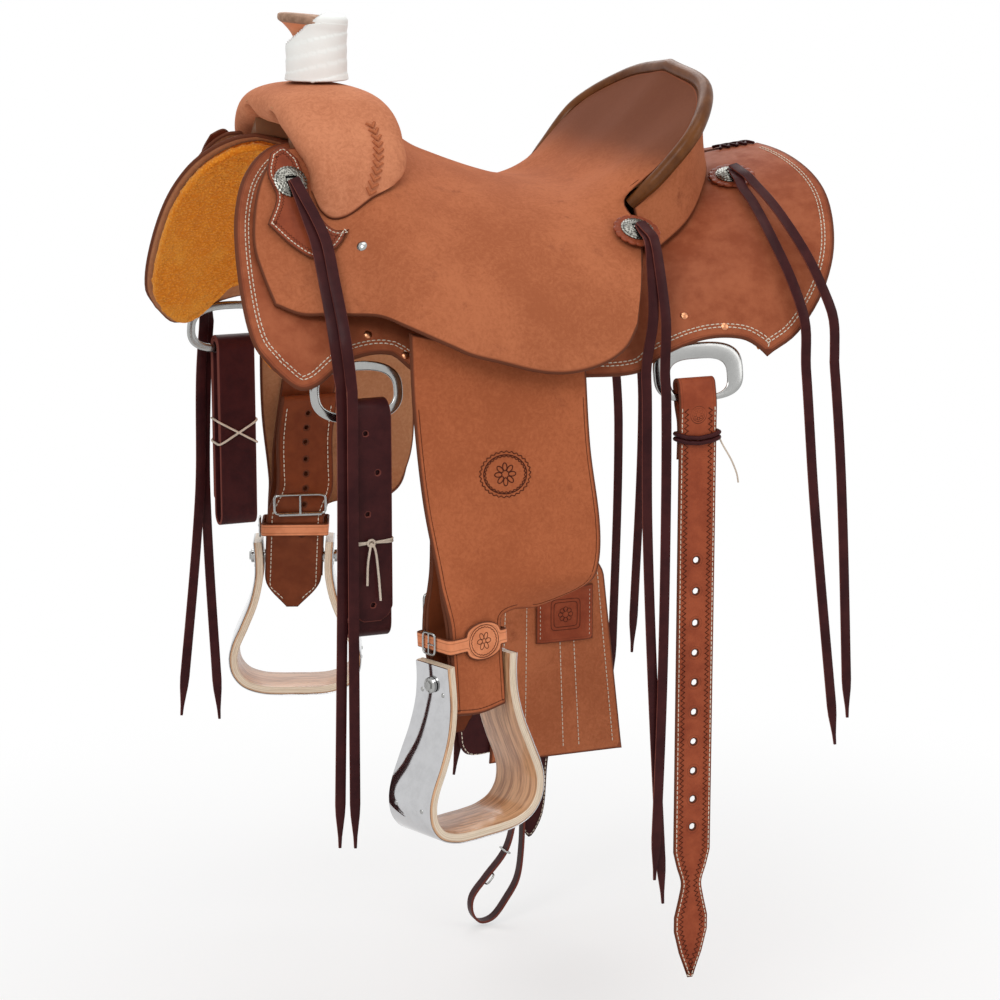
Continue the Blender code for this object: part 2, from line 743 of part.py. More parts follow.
def make_seat():
    seat, lobe = seat_half()
    half = []
    for j, line in enumerate(seat):
        front = lobe[max(j - SEAM_ROW, 0)][:-1]
        half.append(list(front) + list(line))

    def under_fork(j, i):
        return abs(j + 0.5 - SEAT_ROWS) < SEAM_ROW and i < JOCKEY_COLUMNS

    keep(sheet("seat", whole_from_half(half), SEAT_THICK, skip=under_fork), "roughout")
    whole = whole_from_half(seat)
    under = offset_grid(whole, SEAT_THICK + PLY_GAP)
    middle = SEAT_ROWS
    # The ground seat fills the space between the bars and the seat leather
    upper = []
    lower = []
    for line in under[middle - 4:middle + 5]:
        top_line = line[1:8]
        upper.append(top_line)
        lower.append([Vector((p.x, p.y, bar_top(p.x, max(abs(p.y), 0.032)) + BAR_GAP)) for p in top_line])
    keep(slab("ground_seat", upper, lower), "rawhide")
    # The wooden cantle stands behind the dish of the seat
    upper = []
    lower = []
    back = offset_grid(whole, SEAT_THICK + PLY_GAP + CANTLE_THICK)
    for j in range(middle - RIM_ROW + 4, middle + RIM_ROW - 3):
        top_line = under[j][8:SEAT_COLUMNS]
        low_line = []
        for i, p in enumerate(back[j][8:SEAT_COLUMNS]):
            floor = bar_top(p.x, max(abs(p.y), 0.032)) + BAR_GAP
            share = 0.45 if i == len(top_line) - 1 else 1.0
            q = top_line[i].lerp(p, share)
            low_line.append(Vector((q.x, q.y, max(q.z, min(floor, top_line[i].z - 0.003)))))
        upper.append(top_line)
        lower.append(low_line)
    keep(slab("tree_cantle", upper, lower), "rawhide")


def offset_grid(grid, depth):
    # A grid moved inwards along its own normals
    rows = len(grid)
    columns = len(grid[0])
    result = []
    for j in range(rows):
        line = []
        for i in range(columns):
            along = grid[j][min(i + 1, columns - 1)] - grid[j][max(i - 1, 0)]
            across = grid[min(j + 1, rows - 1)][i] - grid[max(j - 1, 0)][i]
            line.append(grid[j][i] - along.cross(across).normalized() * depth)
        result.append(line)
    return result


def make_cantle():
    count = RIM_ROW * 2 + 1
    base = curve_through([(x, y, skirt_height(x, y) + CANTLE_FOOT_LIFT) for x, y in CANTLE_BASE], count)
    top = beside_rim(count, base, BINDING_RADIUS + RIM_GAP)
    half = []
    for start, foot in zip(top, base):
        line = []
        for i in range(4):
            share = i / 3
            sag = Vector((-0.6, 0.0, 0.4)) * 0.006 * math.sin(math.pi * share)
            line.append(start.lerp(foot, share) + sag)
        half.append(line)
    keep(sheet("cantle_back", whole_from_half(half), CANTLE_BACK_THICK), "roughout")
    line = [Vector((p.x, -p.y, p.z)) for p in reversed(rim_half(count)[1:])] + rim_half(count)
    keep(tube("cantle_binding", line, BINDING_RADIUS, 8), "binding")


def tube(name, line, radius, count):
    # A round roll along a line, tapered a little at both ends
    rings = []
    for k, p in enumerate(line):
        ahead = line[min(k + 1, len(line) - 1)]
        behind = line[max(k - 1, 0)]
        along = (ahead - behind).normalized()
        up = Vector(DISH_CENTRE) - p
        side = along.cross(up).normalized()
        up = side.cross(along).normalized()
        size = radius * (0.75 if k in (0, len(line) - 1) else 1.0)
        ring = []
        for i in range(count):
            angle = 2 * math.pi * i / count
            ring.append(p + (side * math.cos(angle) + up * math.sin(angle)) * size)
        rings.append(ring)
    return closed_loft(name, rings)


def fork_row(share):
    # Contour values at a share of the way from the crown to the foot
    place = share * (len(FORK_RINGS) - 1)
    rows = [(i, *row) for i, row in enumerate(FORK_RINGS)]
    return [follow(rows, place, column) for column in range(1, 7)]


def fork_floor(x, y, lift):
    # What a foot of the fork stands on: the bar inside, the jockey under the edge of the swell
    y = abs(y)
    floor = bar_top(x, y) + FORK_GAP
    if y > JOCKEY_UNDER_FORK_Y - 0.012:
        floor = max(floor, seat_height(x, y) + lift)
    return floor


def fork_ring(share, inset, side):
    y_out, z_out, y_in, z_in, depth, centre_x = fork_row(share)
    inset *= 0.64 + 0.36 * ease((share - 0.30) / 0.30)
    centre = Vector((centre_x, (y_out + y_in) / 2, (z_out + z_in) / 2))
    half = Vector((0.0, (y_out - y_in) / 2, (z_out - z_in) / 2))
    reach = half.length
    half = half.normalized()
    ring = []
    for i in range(FORK_RING_POINTS):
        angle = 2 * math.pi * i / FORK_RING_POINTS
        c = math.cos(angle)
        s = math.sin(angle)
        power = 2 / FORK_SQUARENESS
        along = (depth - inset) * math.copysign(abs(c) ** power, c)
        out = (reach - inset) * math.copysign(abs(s) ** power, s)
        p = centre + Vector((along, 0.0, 0.0)) + half * out
        if p.y > 0.030:
            p.z = max(p.z, fork_floor(p.x, p.y, FORK_COVER_LIFT) + inset)
        ring.append(Vector((p.x, side * p.y, p.z)))
    return ring


def fork_foot(inset, side):
    # The last ring follows the bar and the jockey just below it
    ring = fork_ring(1.0, inset, OFF)
    return [Vector((p.x, side * p.y, fork_floor(p.x, p.y, FORK_COVER_LIFT) + inset)) for p in ring]


def fork_rings(inset):
    count = 9
    rings = [fork_foot(inset, NEAR)]
    for k in range(count - 1, 0, -1):
        rings.append(fork_ring(k / count, inset, NEAR))
    rings.append(fork_ring(0.0, inset, OFF))
    for k in range(1, count):
        rings.append(fork_ring(k / count, inset, OFF))
    rings.append(fork_foot(inset, OFF))
    return rings


def make_fork():
    rings = [ring + ring[:1] for ring in fork_rings(0.0)]
    count = FORK_RING_POINTS
    points = [p for ring in rings for p in ring[:count]]
    faces = []
    for j in range(len(rings) - 1):
        for i in range(count):
            k = (i + 1) % count
            faces.append((j * count + i, (j + 1) * count + i, (j + 1) * count + k, j * count + k))
    cover = mesh_object("fork_cover", points, faces)
    thicken = cover.modifiers.new("Thickness", "SOLIDIFY")
    thicken.thickness = COVER_THICK
    thicken.offset = -1.0
    keep(smooth(cover), "roughout")
    keep(closed_loft("tree_fork", fork_rings(FORK_INSET)), "rawhide")


def make_horn():
    # The cap sits forward of the neck and tips up at the front; the wrap climbs from its front to its rear
    base = FORK_RINGS[0][1] + 0.0020
    rings = []
    for rise, radius, shift in HORN_RINGS:
        tilt = math.tan(CAP_TILT) * ease((rise - 0.045) / 0.015)
        ring = []
        for i in range(HORN_STEPS):
            angle = 2 * math.pi * i / HORN_STEPS
            x = radius * math.cos(angle)
            ring.append(Vector((HORN_X + shift + x, radius * math.sin(angle), base + rise - x * tilt)))
        rings.append(ring)
    keep(closed_loft("horn", rings), "wood")
    rows = []
    for i in range(HORN_STEPS):
        angle = -2 * math.pi * i / HORN_STEPS
        high = WRAP_FRONT + WRAP_CLIMB * (0.5 + 0.5 * math.cos(angle))
        high += (WRAP_REAR - WRAP_FRONT - WRAP_CLIMB) * ease((math.cos(angle) - 0.66) / 0.20)
        line = []
        for k in range(4):
            rise = WRAP_LOW + (high - WRAP_LOW) * k / 3
            radius = WRAP_RADIUS + 0.0012 * (1 - ease(rise / 0.012))
            x = HORN_X + radius * math.cos(angle)
            line.append(Vector((x, radius * math.sin(angle), base + rise)))
        rows.append(line)
    wrap = sheet("horn_wrap", rows, WRAP_THICK, -1.0, close_rows=True)
    keep(wrap, "wrap")


def plate_axes(side):
    down = Vector((0.0, side * math.sin(PLATE_LEAN), -math.cos(PLATE_LEAN)))
    out = Vector((0.0, side * math.cos(PLATE_LEAN), math.sin(PLATE_LEAN)))
    return down, out


def plate_centre(spec, side):
    # The plate hangs straight below the cut edge of the skirt
    x = spec[0]
    height = spec[2]
    y = edge_y(x)
    down, out = plate_axes(side)
    edge = Vector((x, side * y, skirt_height(x, y)))
    top = edge - out * (SKIRT_THICK + spec[6]) + down * 0.0010
    return top + down * (height / 2)


def edge_y(x):
    # Distance of the skirt's bottom edge from the centre plane
    for a, b in zip(SKIRT_BOTTOM, SKIRT_BOTTOM[1:]):
        if a[0] <= x <= b[0]:
            return a[1] + (b[1] - a[1]) * (x - a[0]) / (b[0] - a[0])
    return SKIRT_BOTTOM[0][1]


def make_plates():
    for spec, place in ((FRONT_PLATE, "front"), (REAR_PLATE, "rear")):
        for side, word in ((NEAR, "near"), (OFF, "off")):
            width, height, slot_width, slot_height, rise = spec[1:6]
            outlines = [oval(width, height, 24, 0.0, 3.0), oval(slot_width, slot_height, 20, rise, 3.4)]
            plate = outline_curve("rigging_plate_" + place + "_" + word, outlines, PLATE_THICK / 2, 0.0006)
            plate = to_mesh(plate)
            out = plate_axes(side)[1]
            plate.matrix_world = frame_matrix(plate_centre(spec, side), Vector((side, 0.0, 0.0)), out)
            keep(smooth(plate, 50), "steel")


def bar_of(spec, side):
    # Centre of the lower bar of a rigging plate, and half its height
    height = spec[2]
    slot_height = spec[4]
    rise = spec[5]
    down = plate_axes(side)[0]
    high = slot_height / 2 - rise
    low = height / 2
    return plate_centre(spec, side) + down * (high + low) / 2, (low - high) / 2


def plane_y(z):
    # Inner face of the fender, as a distance from the centre plane
    return FENDER_PLANE_Y + FENDER_LEAN * (FENDER_PLANE_Z - z)


def ease(x):
    x = min(max(x, 0.0), 1.0)
    return x * x * (3 - 2 * x)


def fender_point(side, a, d, z):
    # A point of the fender's pack: a along its width from the leather's centre line, d outwards from its plane
    share = ease((TWIST_START_Z - z) / (TWIST_START_Z - TWIST_END_Z))
    yaw = STIRRUP_YAW * share
    x = leather_x(z) + a * math.cos(yaw) + d * math.sin(yaw)
    y = plane_y(z) - a * math.sin(yaw) + d * math.cos(yaw)
    return Vector((x, side * y, z))


def leather_x(z):
    return LEATHER_TOP_X + (LEATHER_FOOT_X - LEATHER_TOP_X) * ease((HANGER_Z - 0.06 - z) / 0.22)


def make_fender(side, word):
    top = flat(FENDER_TOP)
    left = flat(FENDER_FRONT)
    right = flat(FENDER_REAR)
    low = (left[-1], ((left[-1][0] + right[-1][0]) / 2, left[-1][1] - 0.004, 0.0), right[-1])
    grid = coons(left, right, top, low, 6, 18)
    lines = []
    for line in reversed(grid):
        lines.append([fender_point(side, p[0] - leather_x(p[1]), 0.0, p[1]) for p in line])
    if side == NEAR:
        lines = [list(reversed(line)) for line in lines]
    fender = sheet("fender_" + word, lines, FENDER_THICK, 1.0)
    turn_over(fender)
    keep(fender, "roughout")


def turn_over(obj):
    # Reverses an open sheet, so that its face looks outwards
    work = bmesh.new()
    work.from_mesh(obj.data)
    bmesh.ops.reverse_faces(work, faces=work.faces)
    work.to_mesh(obj.data)
    work.free()


BOLT_D = -(PACK_GAP + 0.0020 + BOLT_SLEEVE_RADIUS + 0.0030)


def make_stirrup_leather(side, word):
    # One strap: from the groove of the bar down outside, round the stirrup's sleeve, up inside, folded over
    # near the skirt, and down again to the buckled tip
    half = 0.0020
    outer = -(PACK_GAP + half)
    top_z = HANGER_Z + LEATHER_WIDTH / 2
    neck = [(LEATHER_BEND_Y, top_z), (LEATHER_BEND_Y, top_z - 0.010), (LEATHER_BEND_Y, HANGER_Z)]
    neck += [(0.1850, -0.036), (0.2050, -0.057)]
    neck += [(0.2330, -0.085), (0.2500, -0.108)]
    rows = []
    for y, z in neck:
        width = LEATHER_WIDTH
        if z > HANGER_Z:
            width = 2 * math.sqrt(max((LEATHER_WIDTH / 2) ** 2 - (z - HANGER_Z) ** 2, 0.010 ** 2))
        rows.append((y, z, width))
    points = []
    for y, z, width in rows:
        points.append([Vector((leather_x(z) + s * width / 2, side * y, z)) for s in (-1, 1)])
    path = [(outer, -0.135), (outer, -0.220), (outer, -0.300)]
    path += [(outer, -0.335 - 0.0118 * k) for k in range(5)] + [(outer, -0.412)]
    turn = BOLT_SLEEVE_RADIUS + 0.0030
    loop = []
    for k in range(7):
        angle = math.pi * k / 6
        loop.append(len(path))
        path.append((BOLT_D + turn * math.cos(angle), BOLT_Z - turn * math.sin(angle)))
    path += [(-0.0320, -0.4150), (-0.0365, -0.3900), (-0.0360, -0.3820), (-0.0345, -0.3650), (-0.0310, -0.3480)]
    path += [(-0.0240, -0.3250), (-0.0160, -0.2850)]
    path += [(-0.0130, -0.2450)]
    fold = 0.0027
    for k in range(5):
        angle = math.pi * k / 4
        path.append((-0.0130 - fold + fold * math.cos(angle), LEATHER_END_TOP_Z + fold * math.sin(angle)))
    last = 2 * fold
    path += [(-0.0130 - last, -0.2450), (-0.0160 - last, -0.2850), (-0.0240 - last, -0.3250)]
    path += [(-0.0310 - last, -0.3480), (-0.0345 - last, -0.3650), (-0.0360 - last, -0.3820)]
    path += [(-0.0365 - last, -0.3900), (-0.0330 - last, -0.4150)]
    path += [(-0.0300 - last, -0.4400), (-0.0295 - last, -0.4700), (-0.0295 - last, LEATHER_END_TIP_Z)]
    for k, (d, z) in enumerate(path):
        width = LEATHER_WIDTH
        if k == len(path) - 1:
            width = 0.0140
        if k == len(path) - 2:
            width = LEATHER_WIDTH * 0.92
        if k in loop:
            row = [fender_point(side, s * width / 2, d, BOLT_Z) for s in (-1, 1)]
            points.append([Vector((p.x, p.y, z)) for p in row])
        else:
            points.append([fender_point(side, s * width / 2, d, z) for s in (-1, 1)])
    leather = sheet("stirrup_leather_" + word, points, 2 * half, 0.0)
    keep(leather, "skirting")


def stirrup_frame(side):
    # Placement of a stirrup: X along the bolt, Y across the tread outwards, Z up
    centre = fender_point(side, 0.0, BOLT_D, BOLT_Z)
    yaw = STIRRUP_YAW
    along = Vector((math.cos(yaw), -side * math.sin(yaw), 0.0))
    out = Vector((math.sin(yaw), side * math.cos(yaw), 0.0))
    up = Vector((0.0, 0.0, 1.0))
    if side == NEAR:
        across = -out
    else:
        across = out
    turn = Matrix((along, across, up)).transposed().to_4x4()
    return Matrix.Translation(centre) @ turn


def stirrup_line(shrink, count):
    right = [Vector((x, 0.0, z)) for x, z in STIRRUP_OUTLINE]
    left = [Vector((-x, 0.0, z)) for x, z in reversed(STIRRUP_OUTLINE[:-1])]
    line = curve_through(right + left, count)
    moved = []
    for k, p in enumerate(line):
        along = (line[min(k + 1, count - 1)] - line[max(k - 1, 0)]).normalized()
        inward = Vector((along.z, 0.0, -along.x))
        if inward.dot(Vector((0.0, 0.0, -0.085)) - p) < 0:
            inward = -inward
        moved.append(p + inward * shrink)
    return moved


def stirrup_depth(z):
    share = ease((0.022 - z) / 0.11)
    return 0.052 + (STIRRUP_DEPTH - 0.052) * share


def make_stirrup(side, word):
    place = stirrup_frame(side)
    spin = Matrix.Rotation(math.pi / 2, 4, "Y")
    columns = 2

    def band(name, shrink, thickness, offset, narrow):
        points = []
        for p in stirrup_line(shrink, 29):
            depth = stirrup_depth(p.z) - narrow
            row = [Vector((p.x, depth * (i / (columns - 1) - 0.5), p.z)) for i in range(columns)]
            points.append(row)
        obj = sheet(name, points, thickness, offset)
        return obj

    wood = band("stirrup_wood_" + word, STIRRUP_WOOD_THICK / 2, STIRRUP_WOOD_THICK, 0.0, 0.0)
    wood.matrix_world = place
    hole = rod_cutter("stirrup_hole_" + word, BOLT_RADIUS + 0.0004, 0.2, place @ spin)
    cut(wood, hole)
    keep(wood, "wood")
    shrink = -(SEAT_GAP + STIRRUP_CLAD_THICK / 2)
    clad = band("stirrup_cladding_" + word, shrink, STIRRUP_CLAD_THICK, 0.0, 0.0030)
    clad.matrix_world = place
    hole = rod_cutter("cladding_hole_" + word, BOLT_RADIUS + 0.0004, 0.2, place @ spin)
    cut(clad, hole)
    keep(clad, "steel")
    outside = STIRRUP_OUTLINE[1][0] + SEAT_GAP + STIRRUP_CLAD_THICK + 0.0010
    inside = STIRRUP_OUTLINE[1][0] - STIRRUP_WOOD_THICK - 0.0012
    head = outside + 0.0045
    profile = [
        (0.0, head), (0.0065, head), (0.0085, head - 0.0012), (0.0085, outside), (BOLT_RADIUS, outside),
        (BOLT_RADIUS, inside), (BOLT_SLEEVE_RADIUS, inside), (BOLT_SLEEVE_RADIUS, -inside), (BOLT_RADIUS, -inside),
        (BOLT_RADIUS, -outside), (0.0085, -outside), (0.0085, -head), (0.0, -head),
    ]
    bolt = turned("stirrup_bolt_" + word, profile, 14)
    bolt.matrix_world = place @ spin
    keep(smooth(bolt), "steel")


def make_hobble(side, word):
    # The strap that gathers the fender and the leathers above the stirrup, with its tooled end outside
    z = HOBBLE_Z
    half = LEATHER_WIDTH / 2 + 0.0046
    outer = FENDER_THICK + 0.0010 + HOBBLE_THICK / 2
    inner = -0.0365 - 0.0052 - 0.0020 - 0.0012 - HOBBLE_THICK / 2
    corner = 0.0036
    loop = []
    for cx, cd, start in (
        (half - corner, outer - corner, 0.0), (-half + corner, outer - corner, 90.0),
        (-half + corner, inner + corner, 180.0), (half - corner, inner + corner, 270.0),
    ):
        for k in range(4):
            angle = math.radians(start + 30.0 * k)
            loop.append((cx + corner * math.cos(angle), cd + corner * math.sin(angle)))
        if start == 0.0:
            for k in range(1, 8):
                loop.append((half - corner - (2 * half - 2 * corner) * k / 8, outer))
    rows = []
    for a, d in loop:
        tall = HOBBLE_HEIGHT / 2
        part = (a - 0.006) / (HOBBLE_END_LENGTH / 2)
        if d > outer - 0.0005 and abs(part) < 1.0:
            tall += (HOBBLE_END_HEIGHT - HOBBLE_HEIGHT) / 2 * math.sqrt(1.0 - part ** 2)
        rows.append([fender_point_at(side, a, d, z, s * tall) for s in (-1, -0.4, 0.4, 1)])
    hobble = sheet("hobble_strap_" + word, rows, HOBBLE_THICK, 0.0, close_rows=True)
    keep(hobble, "skirting")
    frame = frame_matrix(
        fender_point_at(side, -half - HOBBLE_THICK / 2 - 0.0022, inner * 0.5, z, 0.0),
        fender_point_at(side, 0.0, 1.0, z, 0.0) - fender_point_at(side, 0.0, 0.0, z, 0.0),
        fender_point_at(side, -1.0, 0.0, z, 0.0) - fender_point_at(side, 0.0, 0.0, z, 0.0),
    )
    points = [frame @ Vector((x, y, 0.0)) for x, y in oval(0.0190, 0.0230, 16, 0.0, 5.0)]
    keep(smooth(round_loop("hobble_buckle_" + word, points, 0.0013, 6), 60), "steel")


def round_loop(name, line, radius, count):
    # A closed ring of round wire through the given points
    middle = sum(line, Vector()) / len(line)
    total = len(line)
    normal = (line[0] - middle).cross(line[total // 4] - middle).normalized()
    points = []
    for k, p in enumerate(line):
        along = (line[(k + 1) % total] - line[k - 1]).normalized()
        side = along.cross(normal).normalized()
        for i in range(count):
            angle = 2 * math.pi * i / count
            points.append(p + (side * math.cos(angle) + normal * math.sin(angle)) * radius)
    faces = []
    for k in range(total):
        n = (k + 1) % total
        for i in range(count):
            m = (i + 1) % count
            faces.append((k * count + i, k * count + m, n * count + m, n * count + i))
    obj = mesh_object(name, points, faces)
    outward(obj)
    return obj


def fender_point_at(side, a, d, z, rise):
    # As fender_point, with the turn and lean of height z kept while rising above it
    p = fender_point(side, a, d, z)
    return Vector((p.x, p.y - side * FENDER_LEAN * rise, z + rise))


def hanging_strip(name, path, x, widths, thickness, side):
    # A strap of even width in X along a path of (y, z) with y outwards
    rows = []
    for (y, z), width in zip(path, widths):
        rows.append([Vector((x - width / 2, side * y, z)), Vector((x + width / 2, side * y, z))])
    return sheet(name, rows, thickness, 0.0)


def coil(centre_y, bar_z, bottom_z, start_radius, pitch, turns, start_depth):
    # A strap wound in long loops over a bar: over the top, down outside, under, and up inside again
    path = [(centre_y - start_radius, bar_z - start_depth)]
    steps = 6
    for turn in range(turns):
        for k in range(steps + 1):
            share = k / steps
            radius = start_radius + pitch * (turn + share * 0.5)
            angle = math.pi * (1 - share)
            path.append((centre_y + radius * math.cos(angle), bar_z + radius * math.sin(angle)))
        low = bottom_z + (turns - 1 - turn) * 0.012
        if turn == turns - 1:
            radius = start_radius + pitch * (turn + 0.5)
            path.append((centre_y + radius, (bar_z + low) / 2))
            path.append((centre_y + radius, low + 0.030))
        else:
            for k in range(steps + 1):
                share = k / steps
                radius = start_radius + pitch * (turn + 0.5 + share * 0.5)
                angle = -math.pi * share
                path.append((centre_y + radius * math.cos(angle), low + radius * math.sin(angle)))
    return path


def make_latigos():
    for side, name, width, turns, bottom, shift in (
        (NEAR, "latigo_near", LATIGO_WIDTH, LATIGO_TURNS, LATIGO_BOTTOM_Z, 0.0060),
        (OFF, "off_billet", OFF_BILLET_WIDTH, OFF_BILLET_TURNS, OFF_BILLET_BOTTOM_Z, 0.0060),
    ):
        bar = bar_of(FRONT_PLATE, side)[0]
        path = coil(abs(bar.y), bar.z, bottom, COIL_RADIUS, LATIGO_PITCH, turns, 0.110)
        # The loops open downwards, so the outermost turn is also the longest
        strap = hanging_strip(name, path, FRONT_PLATE[0] + shift, [width] * len(path), STRAP_THICK - 0.0002, side)
        keep(strap, "burgundy")


def loop_path(spec, side, tail_z, end_z, gap):
    # A strap looped round the lower bar of a rigging plate: from its inner end, over the bar, to its tip
    bar, half = bar_of(spec, side)
    down, out = plate_axes(side)
    reach = PLATE_THICK / 2 + gap + STRAP_THICK / 2
    path = []

    def add(n, s):
        p = bar + out * n + down * s
        path.append((abs(p.y), p.z))

    top = -half - 0.0006
    join = STRAP_THICK / 2 + 0.0006
    inner = []
    inner.append((-reach, half + 0.002))
    for k in range(7):
        angle = math.pi * (1 - k / 6)
        inner.append((reach * math.cos(angle), top - reach * math.sin(angle)))
    inner.append((reach, half + 0.002))
    below = bar + down * (half + 0.020)
    first = [(abs(below.y) - join, tail_z), (abs(below.y) - join, below.z - 0.004)]
    for p in first:
        path.append(p)
    for n, s in inner:
        add(n, s)
    path.append((abs(below.y) + join, below.z - 0.004))
    for k in range(1, 6):
        path.append((abs(below.y) + join, below.z - 0.004 + (end_z - below.z + 0.004) * k / 5))
    return path


def make_rear_billet():
    path = loop_path(REAR_PLATE, NEAR, -0.232, -0.680, 0.0024)
    widths = [REAR_BILLET_WIDTH] * len(path)
    y = path[-1][0]
    for z, width in (
        (-0.698, 0.036), (-0.717, 0.025), (-0.736, 0.031), (-0.757, 0.041), (-0.774, 0.041), (-0.800, 0.028),
        (REAR_BILLET_TIP_Z, 0.006),
    ):
        path.append((y, z))
        widths.append(width)
    x = REAR_PLATE[0] - 0.0060
    keep(hanging_strip("rear_billet_near", path, x, widths, STRAP_THICK, NEAR), "tooled")


def cinch_x(z):
    # Centre of the flank cinch, which hangs with a lean to the rear
    return REAR_PLATE[0] + CINCH_LEAN * (-0.150 - z)


def make_flank_cinch():
    path = loop_path(REAR_PLATE, OFF, -0.225, CINCH_TOP_Z - 0.235, 0.0024)
    rows = []
    for k, (y, z) in enumerate(path):
        x = cinch_x(z)
        half = FLANK_BILLET_WIDTH / 2
        rows.append([Vector((x - half, y, z)), Vector((x + half, y, z))])
    keep(sheet("flank_billet_off", rows, STRAP_THICK, 0.0), "burgundy")
    y = path[-1][0] - STRAP_THICK / 2 - PLY_GAP - CINCH_THICK / 2
    rows = []
    for k in range(7):
        share = k / 6
        z = -0.428 + (-0.722 + 0.428) * share
        half = (0.068 + 0.024 * share) if k else 0.060
        centre = 0.1695 + 0.0085 * share
        rows.append([Vector((centre + half * s, y, z - 0.012 * s * (1 - share))) for s in (-1, -0.5, 0, 0.5, 1)])
    keep(sheet("flank_cinch", rows, CINCH_THICK, 0.0), "roughout")
    keeper_y = y - CINCH_THICK / 2 - SEAT_GAP - 0.0040
    grid = []
    for z in (-0.498, -0.532, -0.570):
        line = []
        for s in (-1.0, -0.8, 0.8, 1.0):
            bulge = 0.0030 if abs(s) == 1.0 else 0.0
            line.append(Vector((0.187 + 0.039 * s, keeper_y + bulge, z)))
        grid.append(line)
    keep(sheet("cinch_keeper", grid, 0.0020, 0.0), "tooled")
    tug_y = y + CINCH_THICK / 2 + PLY_GAP + 0.0020
    outline = (
        (0.0500, -0.600), (0.0470, -0.690), (0.0580, -0.708), (0.0900, -0.708), (0.1080, -0.700), (0.1260, -0.720),
        (0.1280, -0.790), (0.1430, -0.829), (0.1620, -0.800), (0.1680, -0.740), (0.1720, -0.680), (0.1500, -0.640),
        (0.1000, -0.610), (0.0800, -0.590),
    )
    tug = to_mesh(outline_curve("cinch_tug", [outline], 0.0020))
    tug.matrix_world = frame_matrix((0.0, tug_y, 0.0), (1.0, 0.0, 0.0), (0.0, -1.0, 0.0))
    keep(smooth(tug), "burgundy")
    # The connector strap: over the tug's edge and down to a long loop
    top = Vector((0.1180, tug_y - 0.0103, -0.7700))
    line = [
        top, Vector((0.1170, top.y, -0.800)), Vector((0.1060, top.y, -0.838)), Vector((0.0780, top.y, -0.872)),
        Vector((0.0600, top.y, -0.895)), Vector((0.0590, top.y, -0.915)), Vector((0.0700, top.y, -0.929)),
        Vector((0.0880, top.y, -0.926)), Vector((0.1060, top.y, -0.905)), Vector((0.1220, top.y, -0.878)),
        Vector((0.1280, top.y, -0.840)), Vector((0.1300, top.y, -0.790)),
    ]
    rows = []
    for p in curve_through(line, 26):
        half = CINCH_STRAP_WIDTH / 2
        rows.append([p - Vector((0.0, half, 0.0)), p + Vector((0.0, half, 0.0))])
    keep(sheet("cinch_connector", rows, 0.0030, 0.0), "burgundy")


def concho_profile():
    r = CONCHO_RADIUS
    return [
        (0.0, CONCHO_RISE), (r * 0.50, CONCHO_RISE * 0.90), (r * 0.85, CONCHO_RISE * 0.50), (r, 0.0012), (r, 0.0),
        (0.0, 0.0),
    ]


def rosette_outline():
    points = []
    count = ROSETTE_POINTS
    for i in range(count * 2):
        angle = math.pi * i / count
        radius = ROSETTE_RADIUS if i % 2 == 0 else ROSETTE_RADIUS * 0.91
        points.append((radius * math.cos(angle), radius * math.sin(angle)))
    return points


def side_point(p, side):
    return Vector((p[0], side * p[1], p[2]))


def concho_place(height, x, y, lift, side):
    normal = surface_normal(height, x, y)
    origin = on_surface(height, x, y, lift)
    normal = Vector((normal.x, side * normal.y, normal.z))
    return frame_matrix(side_point(origin, side), (1.0, 0.0, 0.0), normal)


PATCH_TOP = ((-0.3050, 0.1060), (-0.2900, 0.1020), (-0.2770, 0.1090))
PATCH_LEFT = ((-0.3050, 0.1060), (-0.3120, 0.1180), (-0.3080, 0.1340), (-0.3220, 0.1480))
PATCH_RIGHT = ((-0.2770, 0.1090), (-0.2730, 0.1230), (-0.2700, 0.1420), (-0.2560, 0.1610), (-0.2380, 0.1690))
PATCH_BOTTOM = ((-0.3220, 0.1480), (-0.3000, 0.1670), (-0.2790, 0.1780), (-0.2550, 0.1760), (-0.2380, 0.1690))

FRONT_CONCHO = (-0.290, 0.126)
MID_CONCHO = (0.080, 0.194)
REAR_CONCHO = (0.243, 0.096)

# Saddle strings: the two tails of each lace from its concho to its tip, near side
FRONT_TAILS = (
    (
        (-0.283, 0.154, 0.030), (-0.279, 0.171, 0.006), (-0.277, 0.203, -0.042),
        (-0.277, 0.229, -0.085), (-0.277, 0.247, -0.130), (-0.279, 0.2555, -0.200), (-0.281, 0.256, -0.350),
        (-0.287, 0.256, -0.622),
    ),
    (
        (-0.275, 0.154, 0.030), (-0.268, 0.173, 0.004), (-0.266, 0.206, -0.042),
        (-0.266, 0.235, -0.085), (-0.268, 0.256, -0.130), (-0.270, 0.262, -0.200), (-0.271, 0.263, -0.350),
        (-0.272, 0.263, -0.622),
    ),
)
MID_TAILS = (
    (
        (0.081, 0.225, -0.034), (0.077, 0.238, -0.080), (0.067, 0.252, -0.1200),
        (0.066, 0.2575, -0.160), (0.068, 0.258, -0.300), (0.078, 0.257, -0.500), (0.093, 0.256, -0.737),
    ),
    (
        (0.089, 0.225, -0.036), (0.089, 0.240, -0.084), (0.087, 0.254, -0.1200),
        (0.087, 0.2615, -0.160), (0.088, 0.262, -0.300), (0.086, 0.262, -0.500), (0.080, 0.261, -0.706),
    ),
)
